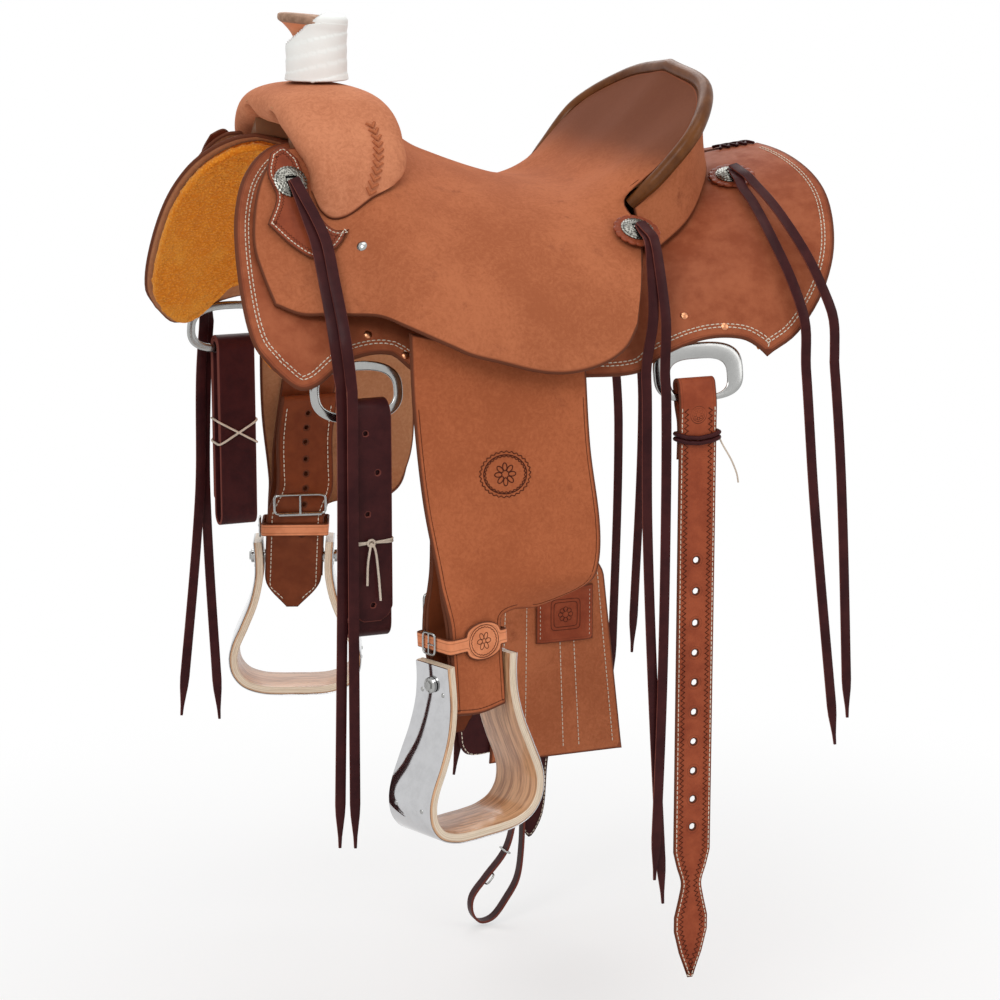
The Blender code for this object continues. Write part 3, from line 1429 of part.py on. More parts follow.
REAR_TAILS = (
    (
        (0.237, 0.135, None), (0.238, 0.160, None), (0.240, 0.204, -0.016),
        (0.246, 0.237, -0.056), (0.252, 0.2565, -0.098), (0.255, 0.262, -0.140), (0.272, 0.258, -0.300),
        (0.309, 0.250, -0.578),
    ),
    (
        (0.250, 0.135, None), (0.257, 0.174, None), (0.270, 0.218, -0.029),
        (0.277, 0.241, -0.060), (0.284, 0.256, -0.092), (0.289, 0.262, -0.130), (0.305, 0.258, -0.280),
        (0.324, 0.250, -0.548),
    ),
)
OFF_TAIL_STAND = 0.0140
OFF_FRONT_TIPS = ((-0.310, 0.256, -0.619), (-0.260, 0.263, -0.631))
OFF_MID_TIPS = ((0.046, 0.257, -0.738), (0.070, 0.262, -0.700))
OFF_REAR_TIPS = ((0.261, 0.250, -0.641), (0.290, 0.250, -0.600))


def outward_at(height, p):
    if p[2] < -0.125:
        return Vector((0.0, 1.0, 0.0))
    return surface_normal(height, p[0], min(p[1], 0.255))


def make_string(name, spot, tails, tips, height, lifts, side):
    # One lace: up one tail, over its concho, and down the other tail
    centre = on_surface(height, spot[0], spot[1])
    square = surface_normal(height, spot[0], spot[1])
    rows = []
    for number, tail in enumerate(tails):
        points = [Vector((x, y, height(x, y) if z is None else z)) for x, y, z in tail]
        if tips:
            points[-1] = Vector(tips[number])
        if side == OFF:
            points = [p + Vector((0.0, OFF_TAIL_STAND * ease((-0.160 - p.z) / 0.100), 0.0)) for p in points]
        run = points[0] - centre
        run = (run - square * run.dot(square)).normalized()
        start = centre + run * 0.002
        points = [start, centre + run * 0.014, centre + run * (ROSETTE_RADIUS + 0.003)] + points
        fine = curve_through(points, 121)
        line = [fine[round(120 * (k / 16) ** 1.7)] for k in range(17)]
        lifted = []
        for p in line:
            share = 1.0 - ease((p - centre).length / 0.100 - 0.30)
            normal = square.lerp(outward_at(height, p), 1.0 - share).normalized()
            fall = lifts[number] * ease((p.z + 0.140) / 0.060)
            lifted.append((p + normal * fall, normal))
        tail_rows = []
        for k, (p, normal) in enumerate(lifted):
            ahead = lifted[min(k + 1, len(lifted) - 1)][0]
            behind = lifted[max(k - 1, 0)][0]
            along = (ahead - behind).normalized()
            across = along.cross(normal).normalized()
            width = STRING_WIDTH * (0.25 if k == len(lifted) - 1 else 1.0)
            ends = [p - across * width / 2, p + across * width / 2]
            tail_rows.append([side_point(e, side) for e in ends])
        if number == 0:
            tail_rows.reverse()
            rows += tail_rows
        else:
            first = rows[-1]
            last = tail_rows[0]
            up = (sum(rows[-1], Vector()) - sum(rows[-2], Vector())).normalized()
            rows.append([a.lerp(b, 0.5) + up * (lifts[1] - lifts[0]) * 0.55 for a, b in zip(first, last)])
            rows += tail_rows
    keep(sheet(name, rows, LACE_THICK, 0.0), "burgundy")


def make_conchos_and_strings():
    for side, word in ((NEAR, "near"), (OFF, "off")):
        grid = coons(flat(PATCH_LEFT), flat(PATCH_RIGHT), flat(PATCH_TOP), flat(PATCH_BOTTOM), 6, 7)
        lift = PACK_GAP + PLY_GAP + PATCH_THICK
        rows = [[on_surface(seat_height, p.x, p.y, lift) for p in line] for line in grid]
        patch = sheet("front_patch_" + word, sided(rows, side), PATCH_THICK)
        keep(patch, "tooled")
        for spot, x_y, height, base in (
            ("front", FRONT_CONCHO, seat_height, 0.0),
            ("mid", MID_CONCHO, seat_height, 1.0),
            ("rear", REAR_CONCHO, skirt_height, 1.0),
        ):
            x, y = x_y
            rise = MID_ROSETTE_RISE if spot == "mid" else 0.0
            if base:
                outline = [rosette_outline()]
                rosette = to_mesh(outline_curve("rosette_" + spot + "_" + word, outline, ROSETTE_THICK / 2))
                rosette.matrix_world = concho_place(height, x, y, PLY_GAP + ROSETTE_THICK / 2 + rise, side)
                keep(smooth(rosette), "burgundy")
            stand = PLY_GAP * 2 + ROSETTE_THICK if base else PACK_GAP + PLY_GAP * 2 + PATCH_THICK
            concho = turned("concho_" + spot + "_" + word, concho_profile(), 16)
            concho.matrix_world = concho_place(height, x, y, stand - 0.0004 + rise, side)
            keep(smooth(concho), "steel")
        over = 0.0022 + PATCH_THICK + CONCHO_RISE + LACE_THICK
        lifts = (over, over + LACE_THICK + 0.0010)
        tips = OFF_FRONT_TIPS if side == OFF else None
        make_string("string_front_" + word, FRONT_CONCHO, FRONT_TAILS, tips, seat_height, lifts, side)
        tips = OFF_MID_TIPS if side == OFF else None
        raised = (lifts[0] + MID_ROSETTE_RISE - 0.0012, lifts[1] + MID_ROSETTE_RISE - 0.0012)
        make_string("string_mid_" + word, MID_CONCHO, MID_TAILS, tips, seat_height, raised, side)
        tips = OFF_REAR_TIPS if side == OFF else None
        make_string("string_rear_" + word, REAR_CONCHO, REAR_TAILS, tips, skirt_height, lifts, side)


def make_lacing():
    # The lace that draws the two skirts together behind the cantle
    rows = []
    for k in range(9):
        x = 0.270 + 0.044 * k / 8
        half = 0.0110 if k % 2 == 0 else 0.0075
        rows.append([Vector((x, s * half, skirt_height(x, half) + 0.0012)) for s in (1, 0, -1)])
    keep(sheet("skirt_lacing", rows, LACE_THICK * 0.8, 1.0), "burgundy")


def moving_groups():
    # Pieces that swing together and the point their hinge passes through
    groups = []
    for side, word in ((NEAR, "near"), (OFF, "off")):
        names = ["fender_" + word, "stirrup_leather_" + word, "hobble_strap_" + word, "hobble_buckle_" + word]
        groups.append((names, Vector((LEATHER_TOP_X, side * LEATHER_BEND_Y, HANGER_Z))))
        names = ["stirrup_wood_" + word, "stirrup_cladding_" + word, "stirrup_bolt_" + word]
        groups.append((names, fender_point(side, 0.0, BOLT_D, BOLT_Z)))
    groups.append((["latigo_near"], bar_of(FRONT_PLATE, NEAR)[0]))
    groups.append((["off_billet"], bar_of(FRONT_PLATE, OFF)[0]))
    groups.append((["rear_billet_near"], bar_of(REAR_PLATE, NEAR)[0]))
    groups.append((["flank_billet_off", "flank_cinch", "cinch_keeper", "cinch_tug"], bar_of(REAR_PLATE, OFF)[0]))
    groups.append((["cinch_connector"], Vector(CONNECTOR_PIVOT)))
    return groups


def hang_on(names, place):
    # Moves the origin of each piece to its hinge, the shape staying where it is
    bpy.context.view_layer.update()
    for name in names:
        obj = bpy.data.objects[name]
        shift = obj.matrix_world.inverted() @ Vector(place)
        obj.data.transform(Matrix.Translation(-shift))
        obj.matrix_world = obj.matrix_world @ Matrix.Translation(shift)


def main():
    global SADDLE, CUTTERS
    clear_scene()
    SADDLE = new_collection("ranch_saddle")
    CUTTERS = new_collection("cutters")
    make_skirts()
    make_bars()
    make_seat()
    make_cantle()
    make_fork()
    make_horn()
    make_plates()
    for side, word in ((NEAR, "near"), (OFF, "off")):
        make_fender(side, word)
        make_stirrup_leather(side, word)
        make_stirrup(side, word)
        make_hobble(side, word)
    make_latigos()
    make_rear_billet()
    make_flank_cinch()
    make_lacing()
    make_conchos_and_strings()
    for names, place in moving_groups():
        hang_on(names, place)


main()
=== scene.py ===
# Western ranch saddle: the looks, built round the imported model
import bpy
import json
import math
from mathutils import Matrix, Vector, noise
from mathutils.bvhtree import BVHTree
from mathutils.kdtree import KDTree

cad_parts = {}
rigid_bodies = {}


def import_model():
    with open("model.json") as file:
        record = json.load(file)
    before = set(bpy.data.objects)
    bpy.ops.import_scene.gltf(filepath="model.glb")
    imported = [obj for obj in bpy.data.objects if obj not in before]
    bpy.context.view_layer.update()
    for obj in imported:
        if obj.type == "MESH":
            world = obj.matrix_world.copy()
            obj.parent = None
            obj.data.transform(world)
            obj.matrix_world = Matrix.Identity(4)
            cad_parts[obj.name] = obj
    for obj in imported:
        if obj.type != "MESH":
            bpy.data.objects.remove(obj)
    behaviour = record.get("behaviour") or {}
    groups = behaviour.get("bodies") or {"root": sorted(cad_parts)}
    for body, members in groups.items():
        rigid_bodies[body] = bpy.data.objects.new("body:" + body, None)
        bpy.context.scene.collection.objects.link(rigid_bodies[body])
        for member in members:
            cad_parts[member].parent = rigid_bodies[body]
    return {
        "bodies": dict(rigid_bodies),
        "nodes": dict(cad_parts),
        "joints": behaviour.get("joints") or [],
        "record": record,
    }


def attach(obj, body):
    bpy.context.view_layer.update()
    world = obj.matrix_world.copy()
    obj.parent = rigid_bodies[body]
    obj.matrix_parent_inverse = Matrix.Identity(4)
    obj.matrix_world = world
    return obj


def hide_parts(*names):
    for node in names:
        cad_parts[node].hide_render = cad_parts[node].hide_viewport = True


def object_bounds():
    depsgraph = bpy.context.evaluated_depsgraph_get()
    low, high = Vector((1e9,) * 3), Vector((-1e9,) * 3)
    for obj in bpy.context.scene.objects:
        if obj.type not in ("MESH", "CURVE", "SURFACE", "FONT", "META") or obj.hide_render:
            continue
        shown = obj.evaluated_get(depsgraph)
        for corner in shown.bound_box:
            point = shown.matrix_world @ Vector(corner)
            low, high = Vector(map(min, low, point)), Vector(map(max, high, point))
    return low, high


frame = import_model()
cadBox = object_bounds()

near = -1
off = 1
sides = ((near, "near"), (off, "off"))

# Surfaces, outlines and thicknesses of the leather, in metres, as the solids have them
leatherCut = {
    "skirtThick": 0.005, "seatThick": 0.0048, "fenderThick": 0.0045, "strapThick": 0.0036,
    "fleeceThick": 0.014, "barGap": 0.0022, "plyGap": 0.0008, "packGap": 0.0016, "patchThick": 0.003,
    "laceThick": 0.0028,
    "skirtSpread": 0.268, "seatSpread": 0.295, "seatFullness": 2.5,
}
# x, height of the ridge, slope and rounding of the side
skirtStations = (
    (-0.37, 0.195, 1.1, 0.12), (-0.25, 0.15, 0.85, 0.12), (-0.12, 0.06, 0.35, 0.16), (0.0, 0.017, 0.1, 0.2),
    (0.12, 0.034, 0.06, 0.21), (0.22, 0.066, 0.04, 0.22), (0.34, 0.083, 0.03, 0.22),
)
seatStations = (
    (-0.345, 0.25, 1.5, 0.06), (-0.3, 0.256, 1.45, 0.06), (-0.25, 0.215, 1.12, 0.08),
    (-0.2, 0.178, 0.7, 0.115), (-0.125, 0.106, 0.32, 0.175), (-0.08, 0.083, 0.17, 0.215),
    (0.0, 0.057, 0.02, 0.26), (0.07, 0.05, 0.0, 0.265), (0.13, 0.05, 0.0, 0.26),
)


# Lines and surfaces
def hermite(before, low, high, after, t, first, last):
    # One stretch of a smooth line through points that may stand unevenly
    gapBefore = max((low - before).length, 1e-6)
    gap = (high - low).length
    gapAfter = max((after - high).length, 1e-6)
    slopeLow = high - low if first else (high - before) / (gap + gapBefore) * gap
    slopeHigh = high - low if last else (after - low) / (gap + gapAfter) * gap
    return (
        low * (2 * t ** 3 - 3 * t ** 2 + 1) + slopeLow * (t ** 3 - 2 * t ** 2 + t)
        + high * (-2 * t ** 3 + 3 * t ** 2) + slopeHigh * (t ** 3 - t ** 2)
    )


def finer(points, factor, closed=False):
    # The same line with each stretch cut into this many steps
    points = [Vector(p) for p in points]
    count = len(points)
    spans = count if closed else count - 1
    result = []
    for i in range(spans):
        before = points[(i - 1) % count] if closed else points[max(i - 1, 0)]
        after = points[(i + 2) % count] if closed else points[min(i + 2, count - 1)]
        low = points[i]
        high = points[(i + 1) % count]
        for k in range(factor):
            first = i == 0 and not closed
            last = i == spans - 1 and not closed
            result.append(hermite(before, low, high, after, k / factor, first, last))
    if not closed:
        result.append(points[-1])
    return result


def evenStops(line, count):
    # Places that cut a line into this many even steps, as (number of the stretch, share of it)
    marks = [0.0]
    for a, b in zip(line, line[1:]):
        marks.append(marks[-1] + (b - a).length)
    stops = []
    k = 0
    for i in range(count + 1):
        target = marks[-1] * i / count
        while k < len(marks) - 2 and marks[k + 1] < target:
            k += 1
        share = (target - marks[k]) / max(marks[k + 1] - marks[k], 1e-9)
        stops.append((k, min(max(share, 0.0), 1.0)))
    return stops


def evenSteps(points, count):
    return [points[k].lerp(points[k + 1], share) for k, share in evenStops(points, count - 1)]


def alongAt(line, k):
    # Direction of an open line at its point k
    return (line[min(k + 1, len(line) - 1)] - line[max(k - 1, 0)]).normalized()


def roundSteps(count):
    # Cosine and sine of even steps round a circle
    angles = [2 * math.pi * k / count for k in range(count)]
    return [(math.cos(angle), math.sin(angle)) for angle in angles]


def signedPower(value, power):
    return math.copysign(abs(value) ** power, value)


def curveThrough(points, count):
    return evenSteps(finer(points, 12), count)


def lineLength(points):
    return sum((b - a).length for a, b in zip(points, points[1:]))


def ease(x):
    x = min(max(x, 0.0), 1.0)
    return x * x * (3.0 - 2.0 * x)


def follow(stations, x, column):
    # Smooth value of one column of a station table at x
    if x <= stations[0][0]:
        return stations[0][column]
    if x >= stations[-1][0]:
        return stations[-1][column]
    i = 0
    while stations[i + 1][0] < x:
        i += 1
    before = stations[max(i - 1, 0)]
    low = stations[i]
    high = stations[i + 1]
    after = stations[min(i + 2, len(stations) - 1)]
    span = high[0] - low[0]
    t = (x - low[0]) / span
    slopeLow = (high[column] - before[column]) / (high[0] - before[0]) * span
    slopeHigh = (after[column] - low[column]) / (after[0] - low[0]) * span
    start = (2 * t ** 3 - 3 * t ** 2 + 1) * low[column] + (t ** 3 - 2 * t ** 2 + t) * slopeLow
    end = (-2 * t ** 3 + 3 * t ** 2) * high[column] + (t ** 3 - t ** 2) * slopeHigh
    return start + end


def skirtHeight(x, y):
    part = min(abs(y) / leatherCut["skirtSpread"], 0.999)
    drop = 1 - math.sqrt(1 - part ** 2)
    return follow(
        skirtStations, x, 1,
    ) - follow(skirtStations, x, 2) * abs(y) - follow(skirtStations, x, 3) * drop


def seatHeight(x, y):
    full = leatherCut["seatFullness"]
    part = min(abs(y) / leatherCut["seatSpread"], 0.999)
    drop = 1 - (1 - part ** full) ** (1 / full)
    return follow(seatStations, x, 1) - follow(seatStations, x, 2) * abs(y) - follow(seatStations, x, 3) * drop


def surfaceNormal(height, x, y):
    step = 0.002
    dx = (height(x + step, y) - height(x - step, y)) / (2 * step)
    dy = (height(x, y + step) - height(x, y - step)) / (2 * step)
    return Vector((-dx, -dy, 1.0)).normalized()


def onSurface(height, x, y, lift=0.0):
    return Vector((x, y, height(x, y))) + surfaceNormal(height, x, y) * lift


def flat(points):
    return [Vector((p[0], p[1], 0.0)) for p in points]


def betweenSides(left, right, top, bottom):
    # Grid between four lines; columns run from left to right and rows from top to bottom
    rows = len(left) - 1
    columns = len(top) - 1
    grid = []
    for j in range(rows + 1):
        v = j / rows
        line = []
        for i in range(columns + 1):
            u = i / columns
            across = left[j] * (1 - u) + right[j] * u
            down = top[i] * (1 - v) + bottom[i] * v
            corners = (top[0] * (1 - u) + top[-1] * u) * (1 - v) + (bottom[0] * (1 - u) + bottom[-1] * u) * v
            line.append(across + down - corners)
        grid.append(line)
    return grid


def coons(left, right, top, bottom, columns, rows):
    return betweenSides(
        curveThrough(left, rows + 1), curveThrough(right, rows + 1), curveThrough(top, columns + 1),
        curveThrough(bottom, columns + 1),
    )


def refine(grid, rowFactor, columnFactor, closeRows=False):
    wide = [finer(line, columnFactor) for line in grid]
    columns = len(wide[0])
    turned = [finer([line[i] for line in wide], rowFactor, closeRows) for i in range(columns)]
    return [[turned[i][j] for i in range(columns)] for j in range(len(turned[0]))]


def sided(grid, side):
    # The same grid on either side of the saddle, with its faces still looking outwards
    if side == off:
        return [list(line) for line in grid]
    return [[Vector((p[0], -p[1], p[2])) for p in reversed(line)] for line in grid]


def sidePoint(p, side):
    return Vector((p[0], side * p[1], p[2]))


# Pieces
def finishPiece(obj, body, nodes=()):
    if obj.name not in bpy.context.scene.collection.objects:
        bpy.context.scene.collection.objects.link(obj)
    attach(obj, body)
    if nodes:
        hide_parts(*nodes)
    return obj


def meshPiece(name, points, faces, materials, body, nodes=(), kinds=None, smoothAngle=50.0, values=None):
    mesh = bpy.data.meshes.new(name)
    mesh.from_pydata([tuple(p) for p in points], [], faces)
    for material in materials:
        mesh.materials.append(material)
    if kinds:
        mesh.polygons.foreach_set("material_index", kinds)
    # Away from any cut edge unless the caller says how near each point is to one
    for key, numbers in ({"edgeGap": [1.0] * len(points)} | (values or {})).items():
        layer = mesh.attributes.new(key, "FLOAT", "POINT")
        layer.data.foreach_set("value", numbers)
    mesh.update()
    mesh.shade_smooth()
    mesh.set_sharp_from_angle(angle=math.radians(smoothAngle))
    obj = bpy.data.objects.new(name, mesh)
    return finishPiece(obj, body, nodes)


def gridFaces(rows, columns, closeRows=False, skip=None):
    faces = []
    for j in range(rows if closeRows else rows - 1):
        k = (j + 1) % rows
        for i in range(columns - 1):
            if skip is None or not skip(j, i):
                faces.append((j * columns + i, j * columns + i + 1, k * columns + i + 1, k * columns + i))
    return faces


def vertexNormals(points, faces):
    normals = [Vector() for p in points]
    for face in faces:
        a, b, c = (points[face[0]], points[face[1]], points[face[2]])
        d = points[face[3]] if len(face) > 3 else a
        square = (c - a).cross(d - b) if len(face) > 3 else (b - a).cross(c - a)
        for corner in face:
            normals[corner] += square
    return [n.normalized() for n in normals]


def boundaryLoops(faces):
    # Edges with a face on one side only, chained into closed loops
    owners = {}
    for face in faces:
        for a, b in zip(face, face[1:] + face[:1]):
            owners[(a, b)] = 1
    ahead = {a: b for a, b in owners if (b, a) not in owners}
    loops = []
    while ahead:
        start = next(iter(ahead))
        loop = [start]
        step = ahead.pop(start)
        while step != start:
            loop.append(step)
            step = ahead.pop(step)
        loops.append(loop)
    return loops


class Hide:
    # A skin of leather: its outer face, its rims and how far each point is from an edge
    def __init__(self, grid, closeRows=False, skip=None):
        self.rows = len(grid)
        self.columns = len(grid[0])
        faces = gridFaces(self.rows, self.columns, closeRows, skip)
        points = [p for line in grid for p in line]
        used = sorted({corner for face in faces for corner in face})
        place = {corner: number for number, corner in enumerate(used)}
        self.points = [points[corner] for corner in used]
        self.faces = [tuple(place[corner] for corner in face) for face in faces]
        self.settle()

    def settle(self):
        self.normals = vertexNormals(self.points, self.faces)
        self.loops = boundaryLoops(self.faces)
        self.outwards = {}
        for loop in self.loops:
            count = len(loop)
            for k, v in enumerate(loop):
                ahead = self.points[loop[(k + 1) % count]]
                behind = self.points[loop[k - 1]]
                n = self.normals[v]
                first = (self.points[v] - behind).cross(n).normalized()
                second = (ahead - self.points[v]).cross(n).normalized()
                out = first + second
                out -= n * out.dot(n)
                self.outwards[v] = out.normalized() if out.length > 1e-6 else first
        self.tree = BVHTree.FromPolygons(self.points, self.faces)

    def shell(self, name, thick, materials, body, slot, nodes=(), offset=-1.0, roundness=1.0):
        # Gives the skin its thickness and a half-round rim; materials are outer face, inner face and rim
        radius = thick / 2 * roundness
        rise = thick * (offset + 1) / 2
        count = len(self.points)
        outer = [p + n * rise for p, n in zip(self.points, self.normals)]
        inner = [p + n * (rise - thick) for p, n in zip(self.points, self.normals)]
        gaps = self.edgeGaps()
        for v, out in self.outwards.items():
            outer[v] = outer[v] - out * radius
            inner[v] = inner[v] - out * radius
        points = outer + inner
        faces = list(self.faces) + [tuple(count + corner for corner in reversed(face)) for face in self.faces]
        kinds = [0] * len(self.faces) + [1] * len(self.faces)
        gaps = gaps + gaps
        steps = 4
        for loop in self.loops:
            rings = [loop]
            for step in range(1, steps):
                angle = math.pi * step / steps
                ring = []
                for v in loop:
                    middle = (outer[v] + inner[v]) / 2
                    half = (outer[v] - inner[v]) / 2 * math.cos(angle)
                    ring.append(len(points))
                    points.append(middle + half + self.outwards[v] * radius * math.sin(angle))
                    gaps.append(0.0)
                rings.append(ring)
            rings.append([count + v for v in loop])
            size = len(loop)
            for upper, lower in zip(rings, rings[1:]):
                for k in range(size):
                    m = (k + 1) % size
                    faces.append((upper[m], upper[k], lower[k], lower[m]))
                    kinds.append(2)
        return meshPiece(name, points, faces, materials, body, nodes, kinds, 70.0, {"edgeGap": gaps})

    def edgeGaps(self):
        border = [v for loop in self.loops for v in loop]
        if not border:
            return [1.0] * len(self.points)
        beside = {}
        for loop in self.loops:
            for k, v in enumerate(loop):
                beside[v] = (loop[k - 1], loop[(k + 1) % len(loop)])
        finder = KDTree(len(border))
        for k, v in enumerate(border):
            finder.insert(self.points[v], k)
        finder.balance()
        gaps = []
        for p in self.points:
            place, k, best = finder.find(p)
            v = border[k]
            for w in beside[v]:
                a = self.points[v]
                run = self.points[w] - a
                share = min(max((p - a).dot(run) / max(run.length_squared, 1e-12), 0.0), 1.0)
                best = min(best, (a + run * share - p).length)
            gaps.append(best)
        return gaps

    def beside(self, inset, keep=None, loopNumber=None):
        # Runs of (point, normal) along the edge at this inset, snapped to the skin
        runs = []
        loops = self.loops if loopNumber is None else [self.loops[loopNumber]]
        for loop in loops:
            run = []
            size = len(loop)
            closed = True
            for v in loop:
                spot, normal, face, gap = self.tree.find_nearest(self.points[v] - self.outwards[v] * inset)
                if keep and not keep(self.points[v]):
                    closed = False
                    if len(run) > 1:
                        runs.append(run)
                    run = []
                    continue
                run.append((spot, normal))
            if closed:
                run.append(run[0])
            elif len(runs) and keep and keep(self.points[loop[0]]) and run:
                runs[0] = run + runs[0]
                run = []
            if len(run) > 1:
                runs.append(run)
        return runs

    def snap(self, p):
        return self.tree.find_nearest(Vector(p))[:2]


def alongRun(run, pitch):
    # Even places on a run of (point, normal): place, direction and normal
    points = [p for p, n in run]
    total = lineLength(points)
    count = max(int(total / pitch), 1)
    places = []
    k = 0
    walked = 0.0
    for i in range(count):
        target = (i + 0.5) * total / count
        while k < len(points) - 2 and walked + (points[k + 1] - points[k]).length < target:
            walked += (points[k + 1] - points[k]).length
            k += 1
        step = points[k + 1] - points[k]
        share = min(max((target - walked) / max(step.length, 1e-9), 0.0), 1.0)
        normal = run[k][1].lerp(run[k + 1][1], share).normalized()
        places.append((points[k] + step * share, step.normalized(), normal))
    return places


stitchLook = {"pitch": 0.0056, "length": 0.0044, "radius": 0.00062, "stand": 0.0002}


def stitches(name, runs, body, material, pitch=None, length=None, radius=None):
    # A row of thread stitches: each a short, low, rounded bar that dips into the leather at both ends
    pitch = pitch or stitchLook["pitch"]
    half = (length or stitchLook["length"]) / 2
    thick = radius or stitchLook["radius"]
    points = []
    faces = []
    profile = ((-1.0, 0.35, -0.6), (-0.72, 0.9, 0.25), (0.0, 1.0, 0.5), (0.72, 0.9, 0.25), (1.0, 0.35, -0.6))
    circle = roundSteps(6)
    skin = ringFaces(len(profile), len(circle))
    for run in runs:
        for place, along, normal in alongRun(run, pitch):
            across = normal.cross(along).normalized()
            base = len(points)
            for reach, size, rise in profile:
                middle = place + along * half * reach + normal * (thick * rise + stitchLook["stand"])
                points += [middle + (across * c + normal * 0.8 * s) * thick * size for c, s in circle]
            faces += [tuple(base + corner for corner in face) for face in skin]
    return meshPiece(name, points, faces, [material], body)


def tubeMesh(line, radius, corners=8, closed=False):
    # Points and faces of a round cord along a line; radius may be a list
    count = len(line)
    points = []
    side = None
    for k, p in enumerate(line):
        ahead = line[(k + 1) % count] if closed else line[min(k + 1, count - 1)]
        behind = line[k - 1] if closed else line[max(k - 1, 0)]
        along = (ahead - behind).normalized()
        if side is None:
            side = along.orthogonal().normalized()
        side = (side - along * side.dot(along)).normalized()
        other = along.cross(side)
        size = radius[k] if isinstance(radius, (list, tuple)) else radius
        points += [p + (side * c + other * s) * size for c, s in roundSteps(corners)]
    return points, sweepFaces(count, corners, closed)


def sweepFaces(count, corners, closed):
    # Faces between the sections of a sweep, with both ends closed where it is open
    faces = []
    for k in range(count if closed else count - 1):
        m = (k + 1) % count
        for c in range(corners):
            d = (c + 1) % corners
            faces.append((k * corners + c, k * corners + d, m * corners + d, m * corners + c))
    if not closed:
        faces.append(tuple(reversed(range(corners))))
        faces.append(tuple((count - 1) * corners + c for c in range(corners)))
    return faces


def ringFaces(rows, steps):
    # Faces between the rings of a round shape, listed from its top, with both ends closed
    faces = []
    for j in range(rows - 1):
        for k in range(steps):
            m = (k + 1) % steps
            faces.append((j * steps + k, (j + 1) * steps + k, (j + 1) * steps + m, j * steps + m))
    faces.append(tuple(range(steps)))
    faces.append(tuple((rows - 1) * steps + k for k in reversed(range(steps))))
    return faces


def joinParts(parts):
    points = []
    faces = []
    for somePoints, someFaces in parts:
        base = len(points)
        points += somePoints
        faces += [tuple(base + corner for corner in face) for face in someFaces]
    return points, faces


def tubePiece(name, lines, radius, material, body, nodes=(), corners=8, closed=False):
    points, faces = joinParts([tubeMesh(line, radius, corners, closed) for line in lines])
    return meshPiece(name, points, faces, [material], body, nodes)


def lathe(profile, steps, place):
    # Turned shape about the placement's Z axis: profile of (radius, height) from top to bottom
    points = [place @ Vector((r * c, r * s, z)) for r, z in profile for c, s in roundSteps(steps)]
    return points, ringFaces(len(profile), steps)


def frameMatrix(origin, xAxis, normal):
    normal = Vector(normal).normalized()
    xAxis = Vector(xAxis)
    xAxis = (xAxis - normal * xAxis.dot(normal)).normalized()
    yAxis = normal.cross(xAxis)
    turn = Matrix((xAxis, yAxis, normal)).transposed().to_4x4()
    return Matrix.Translation(Vector(origin)) @ turn


# Shader groups and finishes
def newGroup(name, inputs, outputs):
    group = bpy.data.node_groups.new(name, "ShaderNodeTree")
    for label, kind, value in inputs:
        socket = group.interface.new_socket(name=label, in_out="INPUT", socket_type=kind)
        socket.default_value = value
    for label, kind in outputs:
        group.interface.new_socket(name=label, in_out="OUTPUT", socket_type=kind)
    start = group.nodes.new("NodeGroupInput")
    end = group.nodes.new("NodeGroupOutput")
    return group, start, end


def put(tree, kind, settings=None, **links):
    # A node with its settings; links name input sockets and give either a value or another node's output
    node = tree.nodes.new(kind)
    for key, value in (settings or {}).items():
        setattr(node, key, value)
    for key, value in links.items():
        wire(
            tree, node.inputs[key.replace("_", " ")] if not key[-1].isdigit() else node.inputs[int(key[1:])],
            value,
        )
    return node


def wire(tree, socket, value):
    if isinstance(value, bpy.types.NodeSocket):
        tree.links.new(value, socket)
    else:
        socket.default_value = value


def mathNode(tree, operation, a, b=0.0, clamp=False):
    node = put(tree, "ShaderNodeMath", {"operation": operation, "use_clamp": clamp}, i0=a, i1=b)
    return node.outputs[0]


def times(tree, a, b):
    return mathNode(tree, "MULTIPLY", a, b)


def plus(tree, a, b, clamp=False):
    return mathNode(tree, "ADD", a, b, clamp)


def objectPlace(tree):
    return put(tree, "ShaderNodeTexCoord").outputs["Object"]


def noiseAt(tree, place, scale, detail, roughness=0.5):
    node = put(tree, "ShaderNodeTexNoise", Vector=place, Scale=scale, Detail=detail, Roughness=roughness)
    return node.outputs[0]


def mixColour(tree, factor, a, b, blend="MIX"):
    node = put(tree, "ShaderNodeMix", {"data_type": "RGBA", "blend_type": blend}, i0=factor, i6=a, i7=b)
    return node.outputs[2]


def ramp(tree, value, low, high, a=0.0, b=1.0):
    node = put(
        tree, "ShaderNodeMapRange", {"interpolation_type": "SMOOTHSTEP"}, i0=value, i1=low, i2=high, i3=a, i4=b,
    )
    return node.outputs[0]


def grainGroup():
    # Pebbled grain of smooth leather: height of the grain and a slow change of tone
    group, start, end = newGroup(
        "leatherGrain", [("Size", "NodeSocketFloat", 0.0016), ("Pores", "NodeSocketFloat", 0.5)],
        [("Height", "NodeSocketFloat"), ("Tone", "NodeSocketFloat")],
    )
    place = objectPlace(group)
    scale = mathNode(group, "DIVIDE", 1.0, start.outputs["Size"])
    cells = put(
        group, "ShaderNodeTexVoronoi", {"feature": "SMOOTH_F1"}, Vector=place, Scale=scale, Smoothness=0.6,
    )
    fine = noiseAt(group, place, times(group, scale, 0.9), 4.0)
    slow = noiseAt(group, place, 16.0, 5.0, 0.65)
    broad = noiseAt(group, place, 75.0, 4.0, 0.6)
    pores = times(group, cells.outputs["Distance"], start.outputs["Pores"])
    tone = plus(group, times(group, slow, 0.65), times(group, broad, 0.35))
    wire(group, end.inputs["Height"], plus(group, pores, times(group, fine, 0.5)))
    wire(group, end.inputs["Tone"], ramp(group, tone, 0.36, 0.64))
    return group


